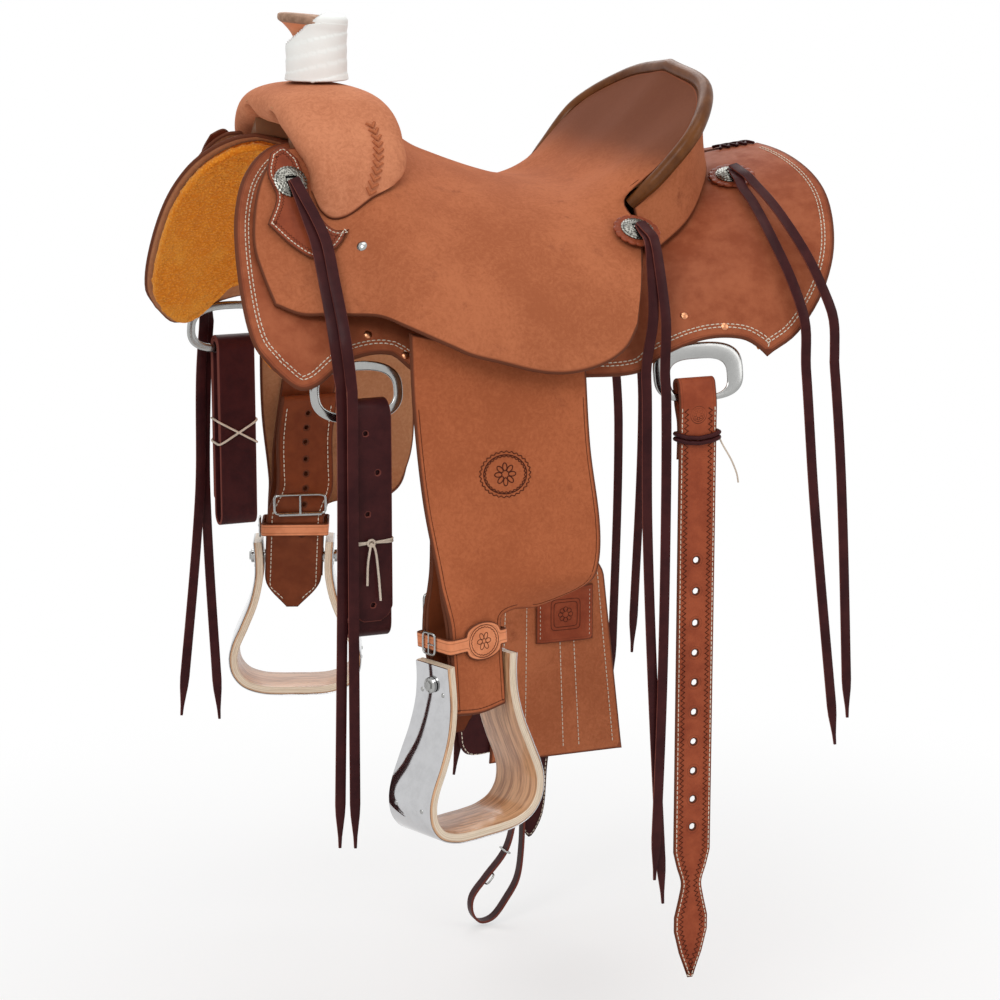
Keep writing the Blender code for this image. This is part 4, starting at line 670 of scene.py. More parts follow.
def napGroup():
    # Rough-out leather: short fibres in drifts, pale where the nap is lifted and dark where it is rubbed
    group, start, end = newGroup(
        "suedeNap", [("Fibre", "NodeSocketFloat", 900.0), ("Drift", "NodeSocketFloat", 9.0)],
        [("Height", "NodeSocketFloat"), ("Nap", "NodeSocketFloat"), ("Rubbed", "NodeSocketFloat")],
    )
    place = objectPlace(group)
    fibre = start.outputs["Fibre"]
    sweep = start.outputs["Drift"]
    bend = put(group, "ShaderNodeTexNoise", Vector=place, Scale=40.0, Detail=3.0).outputs["Color"]
    lean = put(group, "ShaderNodeMix", {"data_type": "VECTOR"}, i0=0.02, i4=place, i5=bend).outputs[1]
    fibres = noiseAt(group, lean, fibre, 3.0, 0.7)
    clumps = noiseAt(group, lean, times(group, fibre, 0.28), 5.0, 0.72)
    drift = noiseAt(group, lean, sweep, 6.0, 0.62)
    marks = noiseAt(group, place, times(group, sweep, 3.1), 7.0, 0.75)
    height = plus(group, times(group, fibres, 0.55), times(group, clumps, 0.45))
    lifted = plus(group, times(group, clumps, 0.45), times(group, drift, 0.55))
    rubbed = times(group, ramp(group, marks, 0.54, 0.72), ramp(group, drift, 0.42, 0.6))
    wire(group, end.inputs["Height"], height)
    wire(group, end.inputs["Nap"], ramp(group, lifted, 0.38, 0.62))
    wire(group, end.inputs["Rubbed"], rubbed)
    return group


def edgeGroup():
    # 1 at the cut edge, fading inwards over a width, with a wandering border
    group, start, end = newGroup(
        "edgeBand", [("Width", "NodeSocketFloat", 0.006), ("Wander", "NodeSocketFloat", 0.5)],
        [("Band", "NodeSocketFloat"), ("Crease", "NodeSocketFloat")],
    )
    gap = put(group, "ShaderNodeAttribute", {"attribute_name": "edgeGap"}).outputs["Fac"]
    drift = noiseAt(group, objectPlace(group), 55.0, 3.0)
    wander = plus(group, 0.5, times(group, drift, start.outputs["Wander"]))
    share = mathNode(group, "DIVIDE", gap, times(group, start.outputs["Width"], wander), True)
    away = mathNode(group, "ABSOLUTE", mathNode(group, "SUBTRACT", gap, 0.0042))
    wire(group, end.inputs["Band"], ramp(group, share, 0.0, 1.0, 1.0, 0.0))
    wire(group, end.inputs["Crease"], ramp(group, away, 0.0, 0.0009, 1.0, 0.0))
    return group


grain = grainGroup()
nap = napGroup()
edgeBand = edgeGroup()


def newMaterial(name, **settings):
    material = bpy.data.materials.new(name)
    material.use_nodes = True
    tree = material.node_tree
    shader = tree.nodes["Principled BSDF"]
    for key, value in settings.items():
        shader.inputs[key.replace("_", " ")].default_value = value
    return material, tree, shader


def placed(tree, group, **inputs):
    node = tree.nodes.new("ShaderNodeGroup")
    node.node_tree = group
    for key, value in inputs.items():
        wire(tree, node.inputs[key], value)
    return node


def bump(tree, shader, height, distance, strength=1.0):
    node = put(tree, "ShaderNodeBump", Strength=strength, Distance=distance, Height=height)
    tree.links.new(node.outputs["Normal"], shader.inputs["Normal"])
    return node


def suedeFinish(name, base, pale, rubbed, rim, rimWidth=0.004, drift=9.0, shade=0.0):
    material, tree, shader = newMaterial(
        name, Roughness=0.9, Sheen_Weight=0.22, Sheen_Roughness=0.45, Specular_IOR_Level=0.18,
    )
    shader.inputs["Sheen Tint"].default_value = (*pale, 1)
    skin = placed(tree, nap, Drift=drift)
    band = placed(tree, edgeBand, Width=rimWidth)
    colour = mixColour(tree, skin.outputs["Nap"], (*base, 1), (*pale, 1))
    colour = mixColour(tree, times(tree, skin.outputs["Rubbed"], 0.75), colour, (*rubbed, 1))
    if shade:
        # Painted shade: the dish is darkened where it lies in shade; the mask grows behind the seat and up the
        # cantle
        spot = put(tree, "ShaderNodeSeparateXYZ", i0=objectPlace(tree))
        back = ramp(tree, spot.outputs["X"], 0.05, 0.15)
        high = ramp(tree, spot.outputs["Z"], 0.052, 0.095)
        paintedShade = times(tree, times(tree, back, high), shade)
        colour = mixColour(tree, paintedShade, colour, (rubbed[0] * 0.45, rubbed[1] * 0.58, rubbed[2] * 0.72, 1))
    colour = mixColour(tree, band.outputs["Band"], colour, (*rim, 1))
    wire(tree, shader.inputs["Base Color"], colour)
    bump(tree, shader, skin.outputs["Height"], 0.0006, 0.55)
    return material


def smoothFinish(
    name, base, deep, rim, roughness=0.38, coat=0.25, rimWidth=0.004, grainSize=0.0016, depth=0.00025,
    crease=0.0,
):
    material, tree, shader = newMaterial(
        name, Coat_Weight=coat * 0.14, Coat_Roughness=0.2, Specular_IOR_Level=0.07,
    )
    skin = placed(tree, grain, Size=grainSize)
    band = placed(tree, edgeBand, Width=rimWidth)
    colour = mixColour(tree, skin.outputs["Tone"], (*base, 1), (*deep, 1))
    colour = mixColour(tree, band.outputs["Band"], colour, (*rim, 1))
    if crease:
        colour = mixColour(tree, times(tree, band.outputs["Crease"], crease), colour, (*rim, 1))
    wire(tree, shader.inputs["Base Color"], colour)
    rough = plus(tree, roughness, times(tree, skin.outputs["Tone"], 0.14))
    wire(tree, shader.inputs["Roughness"], rough)
    height = skin.outputs["Height"]
    if crease:
        height = mathNode(tree, "SUBTRACT", height, times(tree, band.outputs["Crease"], crease * 2.0))
    bump(tree, shader, height, depth, 0.5)
    return material


def metalFinish(name, colour, roughness, scratch=0.06):
    material, tree, shader = newMaterial(name, Metallic=1.0)
    place = objectPlace(tree)
    cloud = noiseAt(tree, place, 60.0, 6.0, 0.7)
    fine = noiseAt(tree, place, 1400.0, 2.0)
    dull = tuple(c * 0.72 for c in colour)
    tarnish = ramp(tree, cloud, 0.4, 0.7, 0.0, 0.35)
    wire(tree, shader.inputs["Base Color"], mixColour(tree, tarnish, (*colour, 1), (*dull, 1)))
    rough = plus(tree, roughness, times(tree, ramp(tree, cloud, 0.35, 0.75), scratch))
    wire(tree, shader.inputs["Roughness"], rough)
    bump(tree, shader, fine, 0.00003, 0.3)
    return material


tanShades = ((0.35, 0.1, 0.04), (0.47, 0.15, 0.064), (0.245, 0.066, 0.029), (0.25, 0.07, 0.03))
roughout = suedeFinish("roughoutTan", *tanShades)
# The fork cover's roughout is paler than the seat's: partly its own tone, partly painted light for the light
# that falls on its front from the left and above
coverHideLit = suedeFinish(
    "coverRoughoutLit", (0.47, 0.16, 0.076), (0.62, 0.24, 0.122), (0.36, 0.115, 0.056), (0.3, 0.09, 0.042),
)
# The seat's roughout, with painted shade over the dish
dishHide = suedeFinish("seatRoughout", *tanShades, shade=0.85)
roughoutRaw = suedeFinish(
    "fleshSide", (0.4, 0.17, 0.08), (0.5, 0.24, 0.12), (0.26, 0.1, 0.05), (0.3, 0.12, 0.06),
)
rimLeather = smoothFinish("cutEdge", (0.26, 0.085, 0.04), (0.16, 0.05, 0.024), (0.13, 0.04, 0.02), 0.55, 0.1)
skirting = smoothFinish(
    "skirtingRusset", (0.37, 0.108, 0.048), (0.265, 0.066, 0.028), (0.14, 0.036, 0.018), 0.5, 0.12, 0.006,
    0.0013, 0.00022, 0.6,
)
bindingBrown = smoothFinish(
    "bindingBrown", (0.165, 0.058, 0.016), (0.1, 0.032, 0.009), (0.08, 0.026, 0.01), 0.28, 1.0, 0.002, 0.0012,
    0.00012,
)
burgundy = smoothFinish(
    "oxblood", (0.055, 0.012, 0.012), (0.032, 0.007, 0.008), (0.09, 0.022, 0.02), 0.36, 0.3, 0.0014, 0.0012,
    0.00012,
)
burgundyRim = smoothFinish(
    "oxbloodEdge", (0.2, 0.06, 0.045), (0.14, 0.038, 0.03), (0.16, 0.045, 0.034), 0.6, 0.0,
)
tooled = smoothFinish(
    "tooledTan", (0.36, 0.082, 0.034), (0.25, 0.05, 0.021), (0.16, 0.036, 0.016), 0.34, 0.35, 0.003, 0.0016,
    0.00014, 0.5,
)
tooledPale = smoothFinish(
    "tooledPale", (0.8, 0.3, 0.145), (0.62, 0.205, 0.09), (0.26, 0.075, 0.032), 0.36, 0.35, 0.003, 0.0016,
    0.00014, 0.5,
)
tooledDark = smoothFinish(
    "tooledShadow", (0.09, 0.022, 0.011), (0.06, 0.014, 0.008), (0.06, 0.016, 0.009), 0.5, 0.1,
)
wrapHide = smoothFinish(
    "whiteHide", (0.93, 0.945, 0.915), (0.9, 0.915, 0.885), (0.78, 0.79, 0.77), 0.42, 0.1, 0.002, 0.002,
    0.00012,
)
hornLeather = smoothFinish("hornLeather", (0.8, 0.3, 0.145), (0.62, 0.22, 0.11), (0.2, 0.075, 0.04), 0.5, 0.1)
capEdge = smoothFinish(
    "capEdge", (0.6, 0.38, 0.27), (0.22, 0.13, 0.085), (0.2, 0.12, 0.08), 0.6, 0.0, 0.002, 0.004,
)
threadWhite = smoothFinish("whiteThread", (0.74, 0.66, 0.54), (0.62, 0.53, 0.42), (0.6, 0.5, 0.4), 0.7, 0.0)
rawhide = smoothFinish(
    "rawhide", (0.34, 0.165, 0.085), (0.25, 0.115, 0.058), (0.22, 0.1, 0.05), 0.4, 0.3, 0.002, 0.004, 0.0004,
)
twine = smoothFinish("twine", (0.66, 0.56, 0.46), (0.5, 0.4, 0.32), (0.5, 0.4, 0.3), 0.85, 0.0)
steel = metalFinish("stainless", (0.4, 0.4, 0.39), 0.17)
steelMirror = metalFinish("polishedMetal", (0.56, 0.56, 0.57), 0.05, 0.03)
copper = metalFinish("copperRivet", (0.62, 0.27, 0.14), 0.28)


def fleeceFinish():
    material, tree, shader = newMaterial(
        "sheepskin", Roughness=0.95, Sheen_Weight=0.5, Sheen_Roughness=0.5, Specular_IOR_Level=0.1,
    )
    shader.inputs["Sheen Tint"].default_value = (0.95, 0.62, 0.28, 1)
    place = objectPlace(tree)
    cells = put(
        tree, "ShaderNodeTexVoronoi", {"feature": "SMOOTH_F1"}, Vector=place, Scale=330.0, Smoothness=0.5,
    )
    curls = cells.outputs["Distance"]
    fibre = noiseAt(tree, place, 900.0, 4.0, 0.7)
    drift = noiseAt(tree, place, 14.0, 5.0, 0.6)
    tone = plus(tree, times(tree, curls, 0.8), times(tree, fibre, 0.5))
    colour = mixColour(tree, ramp(tree, tone, 0.28, 0.75), (0.92, 0.34, 0.03, 1), (0.72, 0.205, 0.01, 1))
    colour = mixColour(tree, ramp(tree, drift, 0.45, 0.7, 0.0, 0.5), colour, (0.86, 0.38, 0.05, 1))
    wire(tree, shader.inputs["Base Color"], colour)
    bump(tree, shader, mathNode(tree, "SUBTRACT", times(tree, fibre, 0.6), curls), 0.0022, 0.8)
    return material


def woodFinish(name, pale, dark, streak=1.0, layers=0.0):
    # Ash: long streaks along the bend, with the glued layers showing on the cut edge
    material, tree, shader = newMaterial(name, Coat_Weight=0.35, Coat_Roughness=0.15, Roughness=0.38)
    lay = put(tree, "ShaderNodeAttribute", {"attribute_name": "lay"}).outputs["Vector"]
    stretch = put(tree, "ShaderNodeMapping", Vector=lay, Scale=(260.0, 14.0, 900.0)).outputs[0]
    streaks = noiseAt(tree, stretch, 1.0, 6.0, 0.65)
    narrow = put(tree, "ShaderNodeMapping", Vector=lay, Scale=(1500.0, 40.0, 1500.0)).outputs[0]
    pores = noiseAt(tree, narrow, 1.0, 2.0)
    colour = mixColour(tree, times(tree, ramp(tree, streaks, 0.4, 0.64), streak), (*pale, 1), (*dark, 1))
    pit = tuple(c * 0.4 for c in dark)
    colour = mixColour(tree, ramp(tree, pores, 0.6, 0.74, 0.0, 0.6), colour, (*pit, 1))
    if layers:
        deep = put(tree, "ShaderNodeSeparateXYZ", i0=lay).outputs["Z"]
        lines = put(tree, "ShaderNodeMath", {"operation": "PINGPONG"}, i0=deep, i1=0.001).outputs[0]
        glue = tuple(c * 0.6 for c in dark)
        colour = mixColour(tree, ramp(tree, lines, 0.0, 0.00028, layers, 0.0), colour, (*glue, 1))
    wire(tree, shader.inputs["Base Color"], colour)
    bump(tree, shader, plus(tree, streaks, pores), 0.00012, 0.4)
    return material


fleece = fleeceFinish()
ashFace = woodFinish("ashInside", (0.7, 0.4, 0.215), (0.36, 0.165, 0.075))
ashEdge = woodFinish("ashEdge", (0.8, 0.66, 0.5), (0.62, 0.45, 0.3), 0.6, 0.75)


roughoutSmooth = suedeFinish(
    "fenderRoughout", (0.35, 0.092, 0.034), (0.46, 0.132, 0.052), (0.25, 0.062, 0.025), (0.2, 0.055, 0.025),
    0.005, 7.0,
)
oiled = smoothFinish(
    "oiledStrap", (0.205, 0.05, 0.018), (0.145, 0.033, 0.012), (0.1, 0.026, 0.012), 0.36, 0.25, 0.003, 0.0015,
    0.00016,
)
tooledDeep = smoothFinish(
    "tooledDeep", (0.29, 0.066, 0.028), (0.2, 0.042, 0.019), (0.12, 0.028, 0.014), 0.26, 0.5, 0.003, 0.0014,
    0.00016,
)


def silverFinish():
    material, tree, shader = newMaterial("engravedSilver", Metallic=1.0)
    mark = put(tree, "ShaderNodeAttribute", {"attribute_name": "dark"}).outputs["Fac"]
    cloud = noiseAt(tree, objectPlace(tree), 220.0, 5.0)
    shade = plus(tree, mark, ramp(tree, cloud, 0.45, 0.75, 0.0, 0.35), True)
    colour = mixColour(tree, shade, (0.23, 0.225, 0.2, 1), (0.01, 0.009, 0.008, 1))
    wire(tree, shader.inputs["Base Color"], colour)
    wire(tree, shader.inputs["Roughness"], plus(tree, 0.24, times(tree, shade, 0.3)))
    return material


silver = silverFinish()
# Outlines seen from above, one half, as x and distance from the centre plane
skirtCut = {
    "top": ((-0.27, 0.054), (-0.15, 0.04), (0.0, 0.034), (0.15, 0.018), (0.25, 0.004), (0.322, 0.003)),
    "front": (
        (-0.27, 0.054), (-0.293, 0.064), (-0.318, 0.082), (-0.338, 0.104), (-0.354, 0.136), (-0.362, 0.18),
        (-0.359, 0.21), (-0.343, 0.226),
    ),
    "bottom": (
        (-0.343, 0.226), (-0.32, 0.239), (-0.298, 0.239), (-0.262, 0.229), (-0.215, 0.228), (-0.19, 0.241),
        (0.0, 0.249), (0.06, 0.252), (0.085, 0.248), (0.135, 0.246), (0.18, 0.253), (0.208, 0.2625),
    ),
    "rear": (
        (0.322, 0.003), (0.331, 0.072), (0.335, 0.13), (0.33, 0.17), (0.312, 0.215), (0.286, 0.242),
        (0.25, 0.2575), (0.208, 0.2625),
    ),
    "columns": 96, "rows": 42, "stitchInset": 0.0115, "stitchSpacing": 0.0036,
}
fleeceCut = {
    "bottom": (
        (-0.343, 0.226), (-0.32, 0.2365), (-0.3, 0.234), (-0.28, 0.221), (-0.262, 0.209), (-0.215, 0.208),
        (-0.19, 0.232),
        (0.0, 0.238), (0.06, 0.234), (0.085, 0.225), (0.135, 0.223), (0.18, 0.23), (0.208, 0.2525),
    ),
    "columns": 190, "rows": 84, "inset": 0.006, "pile": 0.002, "curl": 0.0052,
}


def skirtGrid(columns, rows, bottom, inset=0.0):
    grid = coons(
        flat(skirtCut["front"]), flat(skirtCut["rear"]), flat(skirtCut["top"]), flat(bottom), columns, rows,
    )
    middle = Vector((0.0, 0.14, 0.0))
    result = []
    for line in grid:
        row = []
        for p in line:
            p = p - (p - middle).normalized() * inset
            row.append(Vector((p.x, p.y, skirtHeight(p.x, p.y))))
        result.append(row)
    return result


def makeSkirts():
    for side, word in sides:
        grid = sided(skirtGrid(skirtCut["columns"], skirtCut["rows"], skirtCut["bottom"]), side)
        skirt = Hide(grid)
        skirt.shell(
            "skirt_" + word + "_leather", leatherCut["skirtThick"], [skirting, roughoutRaw, rimLeather],
            "saddle",
            "skirting_leather", ["skirt_" + word],
        )

        def rimmed(p):
            return abs(p.y) > 0.02 and not (p.x < -0.26 and abs(p.y) < 0.066)

        first = skirtCut["stitchInset"]
        runs = skirt.beside(first, rimmed) + skirt.beside(first + skirtCut["stitchSpacing"], rimmed)
        stitches("skirt_" + word + "_stitching", runs, "saddle", threadWhite)
        makeFleece(side, word, skirt)
    print("skirts ready")


def makeFleece(side, word, skirt):
    grid = skirtGrid(fleeceCut["columns"], fleeceCut["rows"], fleeceCut["bottom"], fleeceCut["inset"])
    pile = Hide(sided(grid, side))
    depth = leatherCut["skirtThick"] + leatherCut["barGap"]
    thick = leatherCut["fleeceThick"]
    curl = fleeceCut["curl"]
    obj = pile.shell(
        "fleece_" + word + "_pile", thick, [fleece, fleece, fleece], "saddle", "fleece", ["fleece_" + word],
        -2.0 * depth / thick - 1.0, 1.1,
    )
    count = len(pile.points)
    mesh = obj.data
    for number, vertex in enumerate(mesh.vertices):
        if number < count:
            continue
        p = vertex.co
        tuft = 0.0
        for size, share in ((curl, 1.0), (curl * 2.3, 0.9), (curl * 0.55, 0.5)):
            tuft += share * abs(noise.noise(p / size))
        spread = vertex.normal * (tuft * fleeceCut["pile"] - 0.0012)
        vertex.co = p + spread
    # Where the skirt bends tightly the pile would come through it, so it is pressed back under
    for vertex in mesh.vertices:
        place, normal, face, gap = skirt.tree.find_nearest(vertex.co)
        if (vertex.co - place).dot(normal) > -leatherCut["skirtThick"] - 0.0004:
            vertex.co = place - normal * (leatherCut["skirtThick"] + 0.0008)
    mesh.update()


# Seat with both jockeys in one skin; the dish climbs to the cantle's rim
seatCut = {
    "front": ((-0.16, 0.0), (-0.163, 0.046), (-0.169, 0.086), (-0.177, 0.112)),
    "seam": ((-0.177, 0.112), (-0.17, 0.166), (-0.166, 0.23), (-0.165, 0.284)),
    "bottom": (
        (-0.165, 0.284), (-0.149, 0.286), (-0.072, 0.289), (-0.014, 0.287), (0.03, 0.281), (0.048, 0.272),
    ),
    "jockeyRear": (
        (0.079, 0.152), (0.09, 0.176), (0.092, 0.196), (0.073, 0.225), (0.062, 0.252), (0.048, 0.272),
    ),
    "bay": (
        (-0.272, 0.098), (-0.262, 0.104), (-0.254, 0.122), (-0.243, 0.14), (-0.218, 0.147), (-0.192, 0.138),
        (-0.177, 0.112),
    ),
    "jockeyFront": ((-0.272, 0.098), (-0.3, 0.106), (-0.325, 0.125), (-0.34, 0.157), (-0.33, 0.194)),
    "jockeyBottom": (
        (-0.33, 0.194), (-0.313, 0.203), (-0.276, 0.214), (-0.25, 0.225), (-0.228, 0.243), (-0.206, 0.269),
        (-0.181, 0.281), (-0.165, 0.284),
    ),
    "rows": 11, "columns": 14, "jockeyColumns": 7, "seamRow": 4, "rimRow": 7,
    "dishStart": 0.58, "dishPower": 1.5, "dishSteep": 1.5, "finer": 5,
    # 9.48 makes the greatest value of share ** 3 * (1 - share) equal to 1
    "inwards": (0.0, 0.01, 0.022, 0.034, 0.041, 0.04, 0.028, 0.0), "inwardsScale": 9.48,
}
cantleCut = {
    "rim": (
        (0.2098, 0.0, 0.1711), (0.205, 0.1, 0.1545), (0.165, 0.163, 0.115), (0.124, 0.163, 0.068),
        (0.093, 0.149, 0.035),
    ),
    "base": ((0.238, 0.0), (0.228, 0.06), (0.205, 0.103), (0.165, 0.145), (0.112, 0.168)),
    "footLift": 0.005, "binding": 0.0085, "rimGap": 0.0007, "seatReach": 0.86, "backReach": 0.6,
    "stitchAim": (0.895, 0.378), "dishCentre": (0.095, 0.0, 0.06),
    "backThick": 0.004,
}


def rimHalf(count):
    return curveThrough([Vector(p) for p in cantleCut["rim"]], count)


def besideRim(count, target, distance):
    # Points beside the cantle's rim, square to it on the side of the target
    line = rimHalf(count)
    points = []
    for k, p in enumerate(line):
        along = alongAt(line, k) if k else Vector((0.0, 1.0, 0.0))
        towards = (target[k] if isinstance(target, list) else Vector(target)) - p
        towards -= along * towards.dot(along)
        points.append(p + towards.normalized() * distance)
    return points


def seatBehindFork(edge, seam):
    rows = seatCut["rows"]
    columns = seatCut["columns"]
    rimRow = seatCut["rimRow"]
    jockey = [edge[-1]] + [Vector((x, y, seatHeight(x, y))) for x, y in seatCut["jockeyRear"]]
    right = edge + curveThrough(jockey, rows - rimRow + 1)[1:]
    front = curveThrough(flat(seatCut["front"]), seatCut["seamRow"] + 1)
    top = curveThrough([(seatCut["front"][0][0], 0.0, 0.0), (right[0].x, 0.0, 0.0)], columns + 1)
    bottom = curveThrough(flat(seatCut["bottom"]), columns + 1)
    planRight = [Vector((p.x, p.y, 0.0)) for p in right]
    plan = betweenSides(front + seam[1:], planRight, top, bottom)
    seat = []
    for j, line in enumerate(plan):
        lift = right[j].z - seatHeight(right[j].x, right[j].y) if j <= rimRow else 0.0
        power = seatCut["dishPower"] + seatCut["dishSteep"] * min(j / rimRow, 1.0) ** 3
        # Rows that end on the rim come to it from inside the dish, so that none crosses the next
        inwards = seatCut["inwards"][j] if j <= rimRow else 0.0
        row = []
        for i, p in enumerate(line):
            s = i / columns
            p.y -= inwards * seatCut["inwardsScale"] * s ** 3 * (1 - s)
            share = max(s - seatCut["dishStart"], 0.0) / (1.0 - seatCut["dishStart"])
            row.append(Vector((p.x, p.y, seatHeight(p.x, p.y) + lift * share ** power)))
        seat.append(row)
    return seat


def seatHalf():
    rimRow = seatCut["rimRow"]
    reach = cantleCut["binding"] + cantleCut["rimGap"]
    edge = besideRim(rimRow + 1, cantleCut["dishCentre"], reach)
    seam = curveThrough(flat(seatCut["seam"]), seatCut["rows"] - seatCut["seamRow"] + 1)
    seat = seatBehindFork(edge, seam)
    rim = rimHalf(rimRow + 1)
    target = [seat[j][seatCut["columns"] - 2] for j in range(rimRow + 1)]
    edge = besideRim(rimRow + 1, target, cantleCut["binding"] * cantleCut["seatReach"])
    raised = []
    for k, p in enumerate(edge):
        normal = (p - rim[k]).cross(alongAt(rim, k)).normalized()
        if normal.z < 0:
            normal = -normal
        raised.append(p + normal * leatherCut["seatThick"] / 2)
    seat = seatBehindFork(raised, seam)
    rows = seatCut["rows"] - seatCut["seamRow"]
    columns = seatCut["jockeyColumns"]
    lobe = betweenSides(
        curveThrough(flat(seatCut["jockeyFront"]), rows + 1), seam,
        curveThrough(flat(seatCut["bay"]), columns + 1),
        curveThrough(flat(seatCut["jockeyBottom"]), columns + 1),
    )
    lobe = [[Vector((p.x, p.y, seatHeight(p.x, p.y))) for p in line] for line in lobe]
    return seat, lobe


def wholeFromHalf(half):
    nearRows = [[Vector((p.x, -p.y, p.z)) for p in line] for line in reversed(half[1:])]
    return nearRows + [list(line) for line in half]


def makeSeat():
    seat, lobe = seatHalf()
    half = []
    for j, line in enumerate(seat):
        front = lobe[max(j - seatCut["seamRow"], 0)][:-1]
        half.append(list(front) + list(line))
    whole = wholeFromHalf(half)
    factor = seatCut["finer"]
    columns = seatCut["jockeyColumns"]
    # The lobes and the part behind the seam are refined apart, because the lobes stop beside the fork
    behind = refine([line[columns:] for line in whole], factor, factor)
    middle = seatCut["rows"]
    lowRows = [line[:columns + 1] for line in whole[:middle - seatCut["seamRow"] + 1]]
    highRows = [line[:columns + 1] for line in whole[middle + seatCut["seamRow"]:]]
    nearLobe = refine(lowRows, factor, factor)
    offLobe = refine(highRows, factor, factor)
    blank = [[Vector((0, 0, 0))] * (columns * factor) for line in behind]
    for j, line in enumerate(nearLobe):
        blank[j] = line[:-1]
    start = len(behind) - len(offLobe)
    for j, line in enumerate(offLobe):
        blank[start + j] = line[:-1]
    grid = [list(a) + list(b) for a, b in zip(blank, behind)]
    cut = columns * factor
    lastNear = len(nearLobe) - 1

    def underFork(j, i):
        return i < cut and lastNear <= j < start

    skin = Hide(grid, False, underFork)
    skin.shell(
        "seat_leather", leatherCut["seatThick"], [dishHide, roughoutRaw, rimLeather], "saddle",
        "roughout_leather",
        ["seat"],
    )
    print("seat ready")
    return skin


def makeCantle():
    count = 57
    base = curveThrough(
        [(x, y, skirtHeight(x, y) + cantleCut["footLift"]) for x, y in cantleCut["base"]], count,
    )
    top = besideRim(count, base, cantleCut["binding"] * cantleCut["backReach"])
    half = []
    for start, foot in zip(top, base):
        line = []
        for i in range(13):
            share = i / 12
            sag = Vector((-0.6, 0.0, 0.4)) * 0.006 * math.sin(math.pi * share)
            line.append(start.lerp(foot, share) + sag)
        half.append(line)
    back = Hide(wholeFromHalf(half))
    back.shell(
        "cantle_back_leather", cantleCut["backThick"], [roughout, roughoutRaw, rimLeather], "saddle",
        "roughout_leather", ["cantle_back"],
    )
    line = [Vector((p.x, -p.y, p.z)) for p in reversed(rimHalf(count)[1:])] + rimHalf(count)
    size = []
    for k in range(len(line)):
        edge = min(k, len(line) - 1 - k) / 6
        size.append(cantleCut["binding"] * (0.72 + 0.28 * ease(edge)))
    points, faces = tubeMesh(line, size, 20)
    meshPiece(
        "cantle_binding_roll", points, faces, [bindingBrown], "saddle", ["cantle_binding"],
    )
    makeBindingStitches(line)
    print("cantle ready")


def makeBindingStitches(line):
    # The binding is sewn through close to its edge on the dish side
    centre = Vector(cantleCut["dishCentre"])
    inwardShare, frontShare = cantleCut["stitchAim"]
    run = []
    for k, p in enumerate(line):
        along = alongAt(line, k)
        inward = centre - p
        inward = (inward - along * inward.dot(along)).normalized()
        front = along.cross(inward).normalized()
        if front.x > 0:
            front = -front
        if front.z < 0 and abs(front.x) < 0.3:
            front = -front
        aim = (inward * inwardShare + front * frontShare).normalized()
        run.append((p + aim * cantleCut["binding"], aim))
    stitches("cantle_binding_stitching", [run], "saddle", bindingBrown, 0.005, 0.004, 0.0005)


# Fork cover, horn and wrap
forkCut = {
    # outer contour y, z, inner contour y, z, half depth along X and centre along X
    "rings": (
        (0.0, 0.166, 0.0, 0.12, 0.06, -0.222), (0.045, 0.1645, 0.03, 0.1185, 0.061, -0.2215),
        (0.08, 0.158, 0.052, 0.113, 0.062, -0.22), (0.112, 0.141, 0.072, 0.106, 0.062, -0.218),
        (0.136, 0.114, 0.088, 0.096, 0.059, -0.2165), (0.152, 0.085, 0.1, 0.085, 0.054, -0.214),
        (0.161, 0.056, 0.108, 0.072, 0.045, -0.223),
    ),
    "braid": (
        (-0.1972, 0.123, 0.1294), (-0.1947, 0.1344, 0.1145), (-0.1982, 0.1469, 0.0947),
        (-0.2058, 0.1552, 0.0748),
        (-0.214, 0.1592, 0.056),
    ),
    "braidPitch": 0.0074, "braidWidth": 0.012,
    "squareness": 2.4, "ringPoints": 14, "gap": 0.001, "lift": 0.0034, "jockeyY": 0.144,
    "coverThick": 0.0035,
}
barStations = (
    (-0.268, 0.058, 0.124, 0.012), (-0.24, 0.052, 0.134, 0.012), (-0.2, 0.046, 0.15, 0.013),
    (-0.16, 0.04, 0.185, 0.018), (-0.085, 0.034, 0.185, 0.018), (-0.05, 0.032, 0.16, 0.017),
    (0.0, 0.032, 0.15, 0.015), (0.05, 0.032, 0.15, 0.01), (0.13, 0.034, 0.146, 0.008),
    (0.165, 0.034, 0.122, 0.01), (0.195, 0.036, 0.086, 0.011), (0.214, 0.04, 0.06, 0.011),
)


def barTop(x, y):
    inner = follow(barStations, x, 1)
    outer = follow(barStations, x, 2)
    full = follow(barStations, x, 3)
    across = min(max((abs(y) - inner) / (outer - inner), 0.0), 1.0)
    fade = max(across - 0.45, 0.0) / 0.55
    thick = full + (min(0.007, full) - full) * fade ** 2
    return skirtHeight(x, y) + (leatherCut["barGap"] + thick) / surfaceNormal(skirtHeight, x, y).z


def forkFloor(x, y, lift):
    y = abs(y)
    floor = barTop(x, y) + forkCut["gap"]
    if y > forkCut["jockeyY"] - 0.012:
        floor = max(floor, seatHeight(x, y) + lift)
    return floor


def forkRing(share, side):
    place = share * (len(forkCut["rings"]) - 1)
    rows = [(i, *row) for i, row in enumerate(forkCut["rings"])]
    yOut, zOut, yIn, zIn, depth, centreX = [follow(rows, place, column) for column in range(1, 7)]
    centre = Vector((centreX, (yOut + yIn) / 2, (zOut + zIn) / 2))
    half = Vector((0.0, (yOut - yIn) / 2, (zOut - zIn) / 2))
    reach = half.length
    half = half.normalized()
    power = 2 / forkCut["squareness"]
    ring = []
    for c, s in roundSteps(forkCut["ringPoints"]):
        along = Vector((depth * signedPower(c, power), 0.0, 0.0))
        p = centre + along + half * (reach * signedPower(s, power))
        if p.y > 0.03:
            p.z = max(p.z, forkFloor(p.x, p.y, forkCut["lift"]))
        ring.append(Vector((p.x, side * p.y, p.z)))
    return ring


